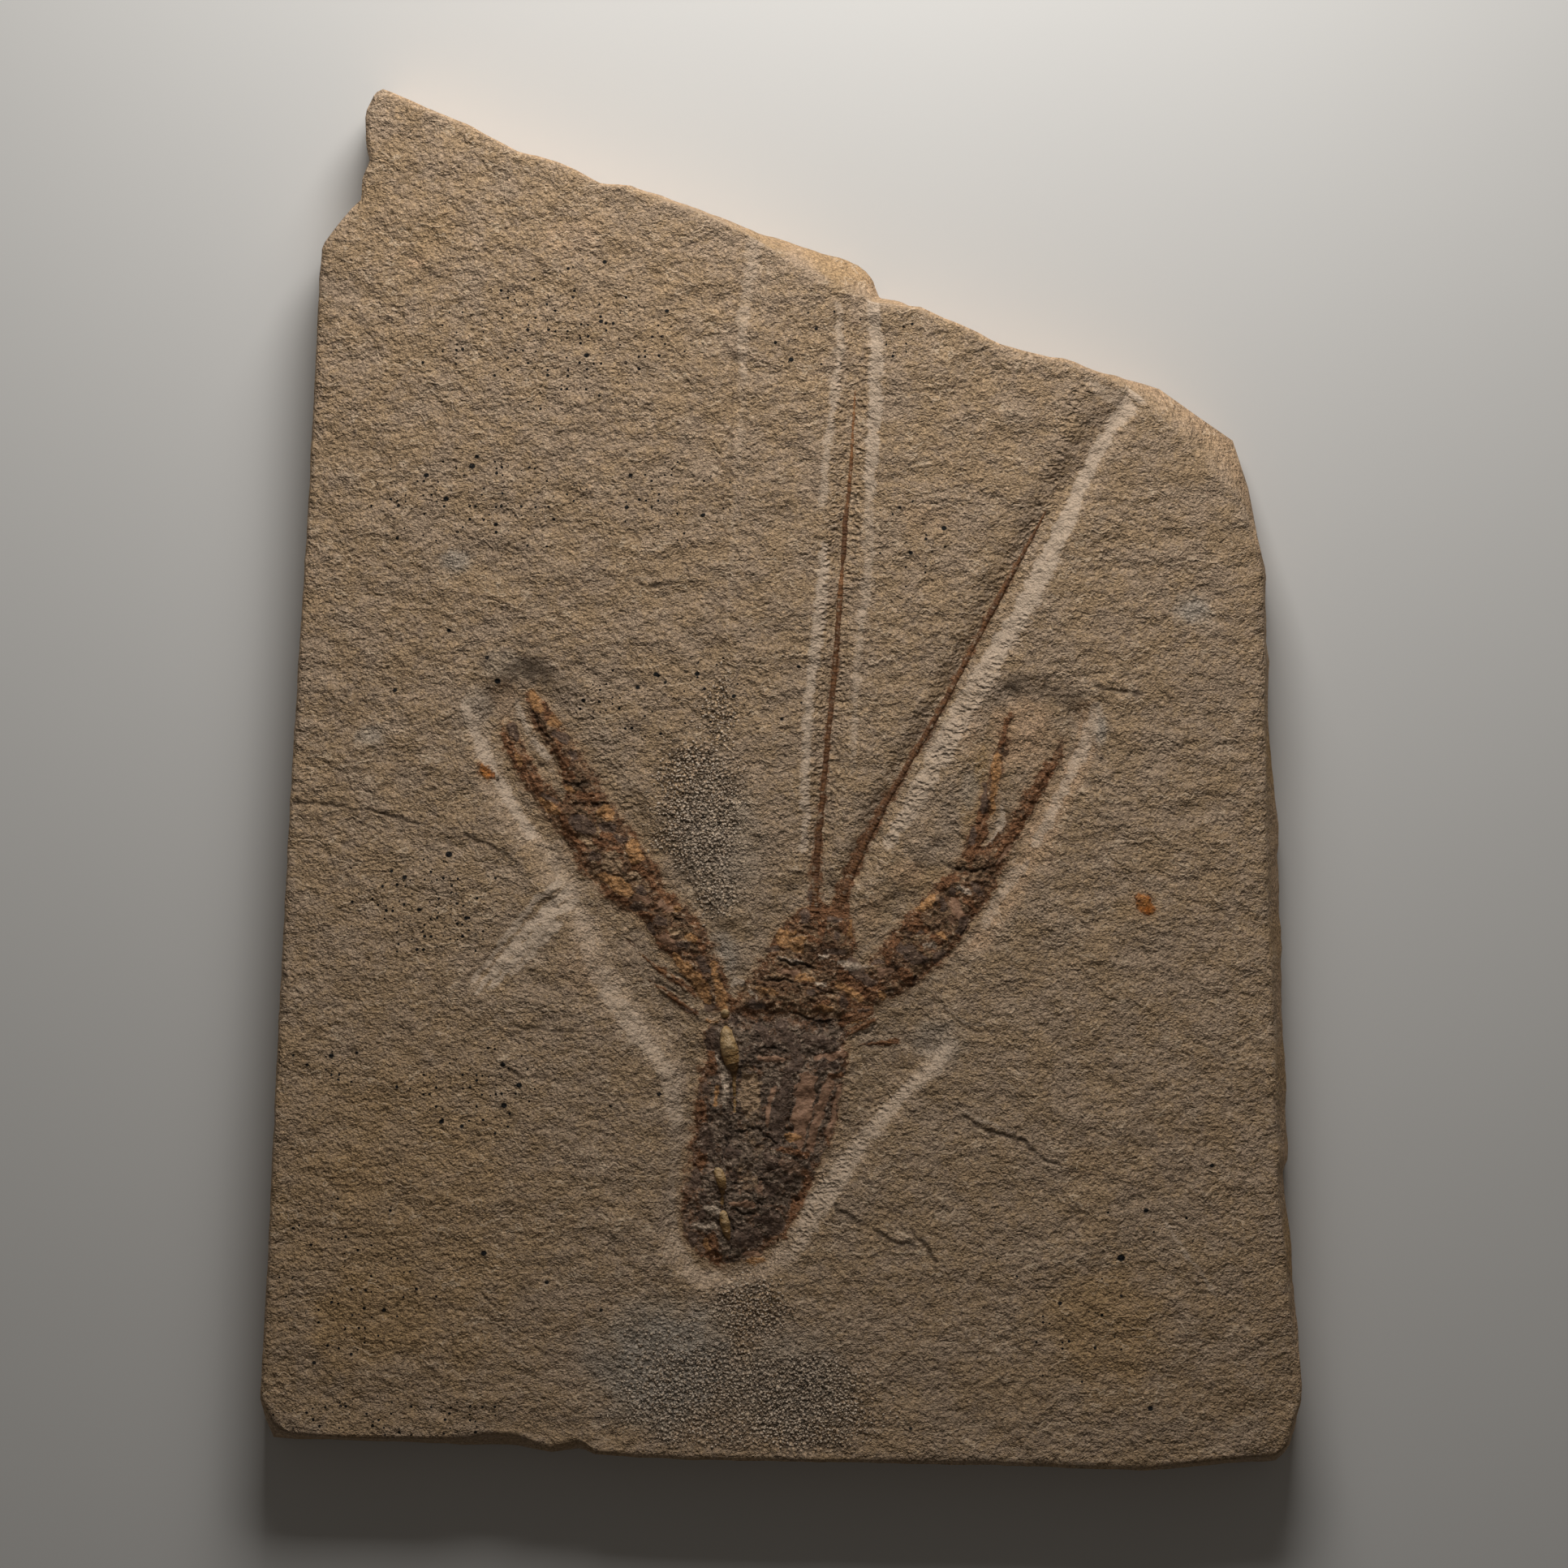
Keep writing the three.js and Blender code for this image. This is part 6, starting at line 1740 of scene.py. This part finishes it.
@dataclass(frozen=True)
class RodFinish:
    """Ringed shell of the antennae and legs, from dark brown to orange along its length."""

    dark: Colour = (0.125, 0.056, 0.025)
    orange: Colour = (0.33, 0.15, 0.058)
    dust: Colour = (0.42, 0.31, 0.205)
    mottle: Pattern = Pattern(1.0, 3.0, 0.7)
    dusting: Pattern = Pattern(1.6, 3.0, 0.65)

    def build(self, effects: Effects) -> Material:
        """Builds the material."""
        material, nodes, shader, place = new_material("ringed_shell", specular=0.35)
        grain = effects.grain.use(nodes, Place=place)
        mottle = nodes.noise(place, self.mottle)
        tone = nodes.plus(nodes.mask("tone"), nodes.line(mottle, 1.8, -0.9))
        colour = nodes.blend(nodes.ramp(tone, 0.0, 1.0), self.dark, self.orange)
        dust = nodes.ramp(nodes.noise(place, self.dusting), 0.55, 0.65, 0.0, 0.7)
        colour = nodes.blend(dust, colour, self.dust)
        rough = nodes.ramp(mottle, 0.3, 0.7, 0.6, 0.9)
        finish_surface(nodes, shader, colour, rough, nodes.total(((mottle, 0.5), (grain["Speckle"], 0.12))))
        return material


@dataclass(frozen=True)
class Calcite:
    """Honey-coloured calcite, smooth and waxy, whose tone along each bead paints light and shade."""

    honey: Colour = (0.36, 0.21, 0.078)
    pale: Colour = (0.52, 0.36, 0.185)
    brown: Colour = (0.14, 0.07, 0.022)
    cloud: Pattern = Pattern(1.8, 3.0, 0.6)

    def build(self, effects: Effects) -> Material:
        """Builds the material."""
        material, nodes, shader, place = new_material("calcite", specular=0.5)
        grain = effects.grain.use(nodes, Place=place)
        cloud = nodes.noise(place, self.cloud)
        tone = nodes.line(cloud, 0.8, nodes.minus(nodes.mask("tone"), 0.4))
        colour = nodes.blend(nodes.ramp(tone, 0.1, 0.5), self.brown, self.honey)
        colour = nodes.blend(nodes.ramp(tone, 0.55, 0.9), colour, self.pale)
        rough = nodes.ramp(cloud, 0.3, 0.7, 0.38, 0.6)
        relief = nodes.total(((cloud, 0.6), (grain["Fine"], 0.25), (grain["Speckle"], 0.06)))
        finish_surface(nodes, shader, colour, rough, relief)
        return material


@dataclass(frozen=True)
class GritFinish:
    """Crumbs of stone that stand on the unworked patches, from dark brown to nearly white."""

    pale: Colour = (0.70, 0.57, 0.44)
    brown: Colour = (0.34, 0.255, 0.18)
    pick: Pattern = Pattern(0.7, 1.0, 0.5)

    def build(self, effects: Effects) -> Material:
        """Builds the material."""
        material, nodes, shader, place = new_material("grit", specular=0.25)
        speckle = effects.grain.use(nodes, Place=place)["Speckle"]
        colour = nodes.blend(nodes.ramp(nodes.noise(place, self.pick), 0.40, 0.60), self.brown, self.pale)
        rough = nodes.ramp(speckle, 0.3, 0.7, 0.96, 0.86)
        finish_surface(nodes, shader, colour, rough, nodes.total(((speckle, 0.12),)))
        return material


@dataclass(frozen=True)
class FloorFinish:
    """Plain pale card."""

    card: Colour = (0.74, 0.73, 0.71)
    shade: Colour = (0.66, 0.65, 0.64)
    fleck: Pattern = Pattern(40.0, 2.0)

    def build(self) -> Material:
        """Builds the material."""
        material, nodes, shader, place = new_material("pale_card")
        fleck = nodes.ramp(nodes.noise(place, self.fleck), 0.3, 0.7, 0.0, 0.06)
        nodes.tree.links.new(nodes.blend(fleck, self.card, self.shade), shader.inputs["Base Color"])
        shader.inputs["Roughness"].default_value = 0.9
        return material


# ---- Geometry trees --------------------------------------------------------------------------------------


def new_tree(title: str, inputs: dict[str, str]) -> tuple[Tree, Nodes, object]:
    """A bare geometry tree.

    Args:
        title: its name.
        inputs: the kind of each named input after the geometry.

    Returns:
        The tree, its node helper and its inputs by name.
    """
    tree = bpy.data.node_groups.new(title, "GeometryNodeTree")
    tree.interface.new_socket("Geometry", in_out="INPUT", socket_type="NodeSocketGeometry")
    for name, kind in inputs.items():
        tree.interface.new_socket(name, in_out="INPUT", socket_type="NodeSocket" + kind)
    tree.interface.new_socket("Geometry", in_out="OUTPUT", socket_type="NodeSocketGeometry")
    nodes = Nodes(tree)
    return tree, nodes, nodes.add("NodeGroupInput").outputs


def end_tree(nodes: Nodes, geometry: Socket, material: Socket) -> None:
    """Ends a tree: smooth shading, its material and real meshes."""
    smooth = nodes.add("GeometryNodeSetShadeSmooth", {"Geometry": geometry}).outputs[0]
    real = nodes.add("GeometryNodeRealizeInstances", {"Geometry": smooth}).outputs[0]
    dressed = nodes.add("GeometryNodeSetMaterial", {"Geometry": real, "Material": material}).outputs[0]
    nodes.add("NodeGroupOutput", {0: dressed})


def run_tree(start: Piece, tree: Tree, values: dict) -> Piece:
    """Runs a geometry tree on an object and turns the result into a plain mesh object.

    Args:
        start: the object that the tree starts from, which is used up.
        tree: the geometry tree.
        values: what its inputs get, by name.

    Returns:
        The plain mesh object, under the same name.
    """
    modifier = start.modifiers.new("build", "NODES")
    modifier.node_group = tree
    for item in tree.interface.items_tree:
        if item.item_type == "SOCKET" and item.in_out == "INPUT" and item.name in values:
            modifier[item.identifier] = values[item.name]
    graph = bpy.context.evaluated_depsgraph_get()
    evaluated = start.evaluated_get(graph)
    mesh = bpy.data.meshes.new_from_object(evaluated, preserve_all_data_layers=True, depsgraph=graph)
    start.modifiers.remove(modifier)
    old, start.data = start.data, mesh
    bpy.data.meshes.remove(old)
    mesh.name = start.name
    return start


def ringed_tube_tree() -> Tree:
    """The tree for antennae, legs and the calcite seam: a ringed tube along a line."""
    inputs = {"Step": "Float", "Ring Spacing": "Float", "Ring Depth": "Float", "Ragged": "Float",
              "Material": "Material"}
    tree, nodes, given = new_tree("Ringed Tube", inputs)
    line = nodes.add("GeometryNodeMeshToCurve", {"Mesh": given["Geometry"]}).outputs[0]
    line = nodes.add("GeometryNodeCurveSplineType", {"Curve": line}, spline_type="CATMULL_ROM").outputs[0]
    inputs = {"Curve": line, "Length": given["Step"]}
    line = nodes.add("GeometryNodeResampleCurve", inputs, mode="LENGTH").outputs[0]
    half = nodes.add("GeometryNodeInputNamedAttribute", {"Name": "half"}, data_type="FLOAT").outputs[0]
    length = nodes.add("GeometryNodeSplineParameter").outputs["Length"]
    turn = nodes.times(nodes.math("DIVIDE", length, given["Ring Spacing"]), math.tau)
    ring = nodes.line(nodes.math("SINE", turn), given["Ring Depth"], 1.0)
    where = nodes.add("GeometryNodeInputPosition").outputs[0]
    uneven = nodes.minus(nodes.noise(where, Pattern(1.6)), 0.5)
    girth = nodes.times(nodes.line(uneven, given["Ragged"], ring), half)
    hoop = nodes.add("GeometryNodeCurvePrimitiveCircle", {"Resolution": 12, "Radius": 1.0}).outputs[0]
    inputs = {"Curve": line, "Profile Curve": hoop, "Scale": girth, "Fill Caps": True}
    tube = nodes.add("GeometryNodeCurveToMesh", inputs).outputs[0]
    normal = nodes.add("GeometryNodeInputNormal").outputs[0]
    where = nodes.add("GeometryNodeInputPosition").outputs[0]
    bump = nodes.times(nodes.minus(nodes.noise(where, Pattern(0.8)), 0.5), given["Ragged"])
    offset = nodes.scaled(normal, nodes.times(bump, 0.9 * MM))
    tube = nodes.add("GeometryNodeSetPosition", {"Geometry": tube, "Offset": offset}).outputs[0]
    end_tree(nodes, tube, given["Material"])
    return tree


def grit_tree() -> Tree:
    """The tree for grit: crumbs strewn over a sheet where its grit mask asks for them."""
    inputs = {"Density": "Float", "Smallest": "Float", "Largest": "Float", "Seed": "Int",
              "Material": "Material"}
    tree, nodes, given = new_tree("Grit", inputs)
    wanted = nodes.add("GeometryNodeInputNamedAttribute", {"Name": "grit"}, data_type="FLOAT").outputs[0]
    density = nodes.times(given["Density"], nodes.math("POWER", wanted, 1.5))
    inputs = {"Mesh": given["Geometry"], "Density": density, "Seed": given["Seed"]}
    strewn = nodes.add("GeometryNodeDistributePointsOnFaces", inputs).outputs
    crumb = nodes.add("GeometryNodeMeshIcoSphere", {"Radius": 1.0, "Subdivisions": 1}).outputs[0]

    def picked(low: object, high: object, *, vector: bool) -> Socket:
        """A random number or vector for each crumb."""
        first = 0 if vector else 2
        limits = {first: low, first + 1: high, "Seed": given["Seed"]}
        kind = "FLOAT_VECTOR" if vector else "FLOAT"
        return nodes.add("FunctionNodeRandomValue", limits, data_type=kind).outputs[0 if vector else 1]

    turn = picked((0, 0, 0), (6.28, 6.28, 6.28), vector=True)
    size = picked(given["Smallest"], given["Largest"], vector=False)
    shape = picked((0.8, 0.6, 0.5), (1.6, 1.1, 0.9), vector=True)
    scale = nodes.scaled(shape, size)
    inputs = {"Points": strewn["Points"], "Instance": crumb, "Rotation": turn, "Scale": scale}
    crumbs = nodes.add("GeometryNodeInstanceOnPoints", inputs).outputs[0]
    end_tree(nodes, crumbs, given["Material"])
    return tree


# ---- The slab --------------------------------------------------------------------------------------------


class EdgeKind(Enum):
    """How a side of the slab was made."""

    SAWN = "sawn"
    BROKEN = "broken"


@dataclass(frozen=True)
class Side:
    """One side of the slab. Each station is x, y and how far the face's edge lies inside, anticlockwise."""

    kind: EdgeKind
    stations: Stations


LOWER_SIDE = Side(EdgeKind.SAWN, (
    (-98, -126.9, 2.6), (-94.1, -127.2, 2), (-82.3, -127.4, 1.3), (-61.5, -128.2, 2), (-56, -128.3, 3.1),
    (-51, -128.5, 3), (-44, -128.9, 1), (-38.6, -128.9, 2.4), (-36.1, -129.4, 0.8), (-19.8, -130.3, 0.6),
    (5.1, -130.8, 0.6), (38.5, -131.4, 0.9), (70.4, -132.4, 0.7), (89.1, -131.6, 1.8), (95, -131.4, 1.9),
    (96.5, -130.5, 2),
))
RIGHT_SIDE = Side(EdgeKind.BROKEN, (
    (98.1, -128.3, 1.6), (99.8, -119.3, 0.7), (100, -115.6, 0.8), (99.5, -110.4, 1.2), (99.3, -101.4, 2.1),
    (98.7, -95.5, 2.1), (98.5, -89.6, 2.2), (97.3, -80.7, 2.2), (97, -75.5, 2.1), (97.8, -73.3, 2.6),
    (97.5, -62.9, 3), (97.6, -58.4, 3), (96.8, -46.2, 2.7), (96.5, -39.2, 2.6), (96.7, -32.4, 3.4),
    (96.1, -23.4, 3.2), (95.9, -8, 3.3), (95.6, -2.5, 3), (94.8, 1.7, 2.2), (93.9, 13.5, 1.5),
    (94.2, 21.7, 1.4), (93.6, 26.7, 1.3), (93.6, 40.2, 1.4), (91.9, 43.7, 1.2), (91.1, 51.6, 2.2),
    (90, 57.3, 4.6), (88.8, 61.5, 6.6),
))
UPPER_SIDE = Side(EdgeKind.BROKEN, (
    (87.2, 65.6, 7.4), (85.5, 67.4, 7.2), (80.8, 70.1, 6.6), (77.9, 72.3, 6), (74.1, 74.4, 5),
    (72.4, 76.2, 4.5), (69, 76.6, 3), (66, 77.7, 2), (61.5, 78.2, 1.2), (55.6, 80.4, 0.9), (46.6, 82.4, 0.9),
    (41.5, 83.8, 0.9), (37.7, 86, 0.9), (26.6, 90.8, 1), (18.9, 93.3, 2.2), (17.8, 96.4, 5.6),
    (16.6, 98.1, 6.4), (14.7, 99.5, 6.6), (11.8, 100.9, 6.4), (8.8, 101.5, 5.2), (1.4, 104.1, 4.2),
    (-4.5, 105.7, 2.2), (-15.7, 110.2, 1.5), (-29.6, 114.3, 1), (-34.7, 114.7, 0.9), (-42, 118.3, 0.8),
    (-50.4, 120.6, 0.8), (-58.7, 125.1, 0.8), (-71.9, 130.7, 0.9),
))
LEFT_SIDE = Side(EdgeKind.SAWN, (
    (-76.4, 132.4, 1), (-77.8, 131.7, 1), (-79.8, 128, 0.9), (-79.8, 122, 0.8), (-78.9, 118.8, 0.8),
    (-80.6, 114.7, 0.9), (-80.7, 111.3, 0.9), (-84.9, 106.8, 0.9), (-88.1, 102.3, 0.7), (-88.5, 98.1, 0.4),
    (-90.7, 53.6, 0.4), (-93.5, 9.3, 0.4), (-96.8, -52.8, 0.4), (-98.5, -90.9, 0.5), (-100, -118.7, 0.7),
    (-99.2, -125, 2),
))


@dataclass
class Slab:
    """The slab: its face as one sheet of cells, its sides and its underside, as one closed mesh.

    Attributes:
        face: the lie of the face.
        sawn_foot, broken_foot: heights at which a side becomes upright.
        arris, arris_height: the bevel along the underside.
        coarse, middling, fine, pocket: widest cells of the face in plain stone, in worked stone, along the
            shell's edge and under the shell.
        rows: rows of cells down the bevel and down the upright part of a side.
        roughness: of a sawn and of a broken side, in millimetres.
    """

    face: Face
    sawn_foot: float = 14.0
    broken_foot: float = 5.0
    arris: float = 1.1
    arris_height: float = 1.4
    coarse: float = 1.4
    middling: float = 0.7
    fine: float = 0.35
    pocket: float = 2.8
    rows: tuple[int, int] = (6, 6)
    roughness: tuple[float, float] = (0.15, 0.55)

    steep = 1.3  # where the face's edge lies less far inside, the side is steep from the top
    rim_margin = 1.5  # how far outside the hollow's rim the middling cells reach
    channel_margin = 5.5  # how far they reach on each side of a channel's line
    pocket_margin = 1.6  # how far inside a shell's edge the pocket's wide cells start
    edge_margin, mark_margin, speck_margin = 1.0, 0.6, 0.3  # how far round these the fine cells reach

    def __post_init__(self) -> None:
        """Works out the inner and outer edge of every side."""
        sides = (LOWER_SIDE, RIGHT_SIDE, UPPER_SIDE, LEFT_SIDE)
        stations = np.array([s for side in sides for s in side.stations])
        ahead = np.roll(stations[:, :2], -1, axis=0) - stations[:, :2]
        inward = np.column_stack((-ahead[:, 1], ahead[:, 0])) / np.hypot(*ahead.T)[:, None]
        before = np.roll(inward, 1, axis=0)
        mitre = (before + inward) / (1.0 + (before * inward).sum(axis=1))[:, None]
        outer, inner = stations[:, :2], stations[:, :2] + mitre * stations[:, 2:]
        foot = np.where(stations[:, 2] < self.steep, self.sawn_foot, self.broken_foot)
        kinds = np.concatenate([[side.kind is EdgeKind.BROKEN] * len(side.stations) for side in sides])
        table = np.column_stack((inner, outer, outer + mitre * self.arris, foot, kinds, -mitre))
        starts = np.cumsum([0] + [len(side.stations) for side in sides])
        self.edges = []
        for k in range(4):
            rows = table[np.arange(starts[k], starts[k + 1] + 1) % len(table)]
            if k > 1:  # the upper and left sides run backwards in the unit square
                rows = rows[::-1]
            run = lengths_along(rows)
            self.edges.append((run / run[-1], rows))

    def edge(self, side: int, t: Field) -> Field:
        """The table row of a side at shares t of its length."""
        knots, rows = self.edges[side]
        return np.stack([np.interp(t, knots, column) for column in rows.T], axis=-1)

    def place(self, u: Field, v: Field) -> tuple[Field, Field]:
        """Maps the unit square onto the face."""
        bottom, right, top, left = (self.edge(k, t)[..., :2] for k, t in ((0, u), (1, v), (2, u), (3, v)))
        u, v = u[..., None], v[..., None]
        corners = [self.edges[k][1][j, :2] for k, j in ((0, 0), (0, -1), (2, 0), (2, -1))]
        point = (1 - v) * bottom + v * top + (1 - u) * left + u * right
        point -= (1 - u) * (1 - v) * corners[0] + u * (1 - v) * corners[1]
        point -= (1 - u) * v * corners[2] + u * v * corners[3]
        return self.wobbled(point[..., 0], point[..., 1])

    @staticmethod
    def wobbled(x: Field, y: Field) -> tuple[Field, Field]:
        """Places moved a little, so that no edge is quite straight."""
        return warped(x, y, 0.22, 5.0, 3, seed=71)

    def wanted(self, x: Field, y: Field, reach: Field) -> Field:
        """The widest cell allowed at each point, with reach the half diagonal of the cell there."""
        rim = self.face.rim_line.read(x, y).offset
        size = np.where(rim > -self.rim_margin - reach, self.middling, self.coarse)
        for channel in CHANNELS:
            near = np.abs(channel.line.read(x, y).offset) < self.channel_margin + reach
            size = np.where(near, np.minimum(size, self.middling), size)
        shells = np.full(x.shape, -np.inf)
        for shell in SHELLS:
            shells = np.maximum(shells, shell.outline.read(x, y).offset)
        size = np.where(shells > self.pocket_margin + reach, self.pocket, size)
        fine = np.abs(shells) < self.edge_margin + reach
        for mark in OPEN_MARKS:
            fine |= (mark.inside(x, y) > -self.mark_margin - reach) & (shells < 0)
        for cx, cy, radius in SPECKS:
            fine |= np.hypot(x - cx, y - cy) < radius + self.speck_margin + reach
        fine |= (blots(x, y, GRIT_PATCHES, 41) > 0.3) & (shells < 0)
        return np.where(fine, self.fine, size)

    def heights(self, x: Field, y: Field) -> Ground:
        """Reads the face, and sinks it under the shell."""
        ground = self.face.survey(x, y)
        ground.height -= DROP * ease((ground.inside - LAP) / LAP)
        return ground

    def build(self, material: Material) -> Piece:
        """Makes the slab."""
        sheet = QuadSheet(columns=9, rows=12, halvings=6, place=self.place, wanted=self.wanted)
        u, v, faces, rim = sheet.build()
        x, y = self.place(u, v)
        ground = self.heights(x, y)
        points = [np.column_stack((x, y, ground.height))]
        rings = self.side_rings(u[rim], v[rim], points[0][rim])
        count, ring_start = len(rim), len(x)
        above = rim
        for ring in rings:
            points.append(ring[:, :3])
            below = list(range(ring_start, ring_start + count))
            ring_start += count
            for i in range(count):
                after = (i + 1) % count
                faces.append([above[i], below[i], below[after], above[after]])
            above = below
        faces.append(above[::-1])
        broken = np.concatenate([ring[:, 3] for ring in rings])
        masks = {key: np.concatenate((values, np.zeros(len(broken)))) for key, values in ground.masks.items()}
        masks["speck"][len(x):] = NO_SPECK
        masks["shell"][len(x):] = -4.0
        masks["broken"][len(x):] = broken
        ring_x, ring_y = np.concatenate([ring[:, :2] for ring in rings]).T
        masks["stain_and_shade"][len(x):] = blots(ring_x, ring_y, EDGE_STAINS, 48)
        piece = mesh_object("slab_stone", np.concatenate(points), faces, masks)
        return dress(piece, material, "limestone", "slab")

    def side_rings(self, u: Field, v: Field, top: Field) -> list[Field]:
        """Rings of corners down the sides.

        Args:
            u, v: where the rim's corners lie in the unit square.
            top: their places.

        Returns:
            One table for each ring, downwards, with x, y, z and how broken the stone is there.
        """
        rows = np.zeros((len(u), 10))
        for side, on_side, t in ((3, u == 0, v), (2, v == 1, u), (1, u == 1, v), (0, v == 0, u)):
            rows[on_side] = self.edge(side, t)[on_side]
        outer = np.stack(self.wobbled(rows[:, 2], rows[:, 3]), axis=1)
        lowest = np.stack(self.wobbled(rows[:, 4], rows[:, 5]), axis=1)
        foot, kind, outward = rows[:, 6], rows[:, 7], rows[:, 8:10]
        outward = outward / np.maximum(np.hypot(*outward.T), 1e-6)[:, None]
        run = outer[:, 0] + outer[:, 1]
        rings = []
        for k in range(1, self.rows[0] + 1):
            t = k / self.rows[0]
            share = np.sin(t * math.pi / 2) ** 1.1
            rings.append((mix(top[:, :2], outer, share), mix(top[:, 2], foot, t), t))
        for k in range(1, self.rows[1] + 1):
            t = k / self.rows[1]
            rings.append((outer, mix(foot, np.full_like(foot, self.arris_height), t), 1.0))
        rings.append((lowest, np.zeros_like(foot), 0.0))
        tables = []
        for place, z, looseness in rings:
            rough = fractal(run, z * 2.2, 6.0, 4, seed=81) * mix(*self.roughness, kind)
            push = (rough - 0.25 * kind) * looseness
            fresh = ease(kind + 0.25) * ease(1.4 * looseness)
            tables.append(np.column_stack((place + outward * push[:, None], z, fresh)))
        return tables


@dataclass
class GritField:
    """Crumbs over the gritty patches of the face."""

    face: Face
    across: tuple[float, float] = (-40.0, 24.0)  # from where to where in x
    up: tuple[float, float] = (-129.0, 26.0)  # from where to where in y
    sunk: float = 0.03  # how far the crumbs' middles lie under the face
    clear: float = 0.4  # how far from the shell it starts
    lowest: float = -128.5  # where it ends above the slab's lower edge
    fade: float = 1.5  # how far above that it is thinned
    least: float = 0.05  # mask below which there is no crumb
    pitch: float = 1.0  # width of the cells that it is strewn over
    density: float = 5.0e6  # crumbs in a square metre where the patch is densest
    smallest: float = 0.13
    largest: float = 0.33
    seed: int = 12

    def build(self, material: Material, tree: Tree) -> Piece:
        """Strews the crumbs."""
        x, y = np.meshgrid(*(np.arange(start, end, self.pitch) for start, end in (self.across, self.up)))
        shape, x, y = x.shape, x.ravel(), y.ravel()
        ground = self.face.survey(x, y)
        grit = np.where(ground.inside > -self.clear, 0.0, ground.masks["grit"])
        grit = grit * ease((y - self.lowest) / self.fade)
        quads = grid_quads(shape)
        quads = quads[(grit[quads] > self.least).any(axis=-1)]
        points = np.column_stack((x, y, ground.height - self.sunk))
        start = mesh_object("grit_crumbs", points, quads.tolist(), {"grit": grit})
        values = {"Density": self.density, "Smallest": self.smallest * MM, "Largest": self.largest * MM,
                  "Seed": self.seed, "Material": material}
        return dress(run_tree(start, tree, values), material, "limestone")


# ---- The studio ------------------------------------------------------------------------------------------


@dataclass
class Studio:
    """Floor, camera and light."""

    view_width: float = 0.3004  # width of the picture on the face
    middle: tuple[float, float] = (0.00043, -0.00082)
    lens: float = 150.0
    sensor: float = 36.0
    floor_half: float = 1.6
    key_place: tuple[float, float, float] = (0.02, 0.37, 0.225)
    key_size: float = 0.24
    key_power: float = 1.62
    key_colour: Colour = (1.0, 0.985, 0.96)
    fill: float = 0.06
    fill_colour: Colour = (1.0, 0.92, 0.82)

    def build(self) -> None:
        """Sets up the studio."""
        self._floor()
        self._camera()
        self._lights()

    def _floor(self) -> None:
        """A wide pale floor under the slab."""
        h = self.floor_half
        mesh = bpy.data.meshes.new("floor")
        mesh.from_pydata([(-h, -h, 0), (h, -h, 0), (h, h, 0), (-h, h, 0)], [], [(0, 1, 2, 3)])
        mesh.materials.append(FloorFinish().build())
        floor = link_object("floor", mesh)

    def _camera(self) -> None:
        """A camera straight above, with +Y up in the picture."""
        camera = bpy.data.cameras.new("camera")
        camera.lens, camera.sensor_width = self.lens, self.sensor
        camera.clip_start, camera.clip_end = 0.05, 20.0
        stand = link_object("camera", camera)
        distance = self.view_width * self.lens / camera.sensor_width
        stand.location = (*self.middle, FACE * MM + distance)
        bpy.context.scene.camera = stand

    def _lights(self) -> None:
        """A low soft key from the antennae's end, and an even fill."""
        lamp = bpy.data.lights.new("key", "AREA")
        lamp.shape, lamp.size, lamp.energy = "SQUARE", self.key_size, self.key_power
        lamp.color = self.key_colour
        key = link_object("key", lamp)
        key.location = self.key_place
        key.rotation_euler = (-Vector(self.key_place)).to_track_quat("-Z", "Y").to_euler()
        world = bpy.data.worlds.new("studio")
        world.use_nodes = True
        sky = world.node_tree.nodes["Background"]
        sky.inputs[0].default_value = (*self.fill_colour, 1.0)
        sky.inputs[1].default_value = self.fill
        bpy.context.scene.world = world
        bpy.context.scene.view_settings.view_transform = "Standard"


# ---- Making it all ---------------------------------------------------------------------------------------


def main() -> None:
    """Builds every piece, dresses it and sets up the studio."""
    logging.basicConfig(level=logging.INFO, format="%(message)s")
    effects = Effects()
    face = Face()
    finishes = {finish.name: finish.build(effects) for finish in FACE_FINISHES}
    ringed = RodFinish().build(effects)
    calcite = Calcite().build(effects)
    grit = GritFinish().build(effects)
    Slab(face).build(finishes["limestone"])
    for shell in SHELLS:
        shell.build(face, finishes[shell.slot])
    tube = ringed_tube_tree()
    for rod in (LEFT_ANTENNA, RIGHT_ANTENNA, *LEGS):
        rod.build(face, ringed, tube)
    for bead in BEADS:
        bead.build(face, calcite, tube)
    GritField(face).build(grit, grit_tree())
    Studio().build()


if __name__ == "__main__":
    main()
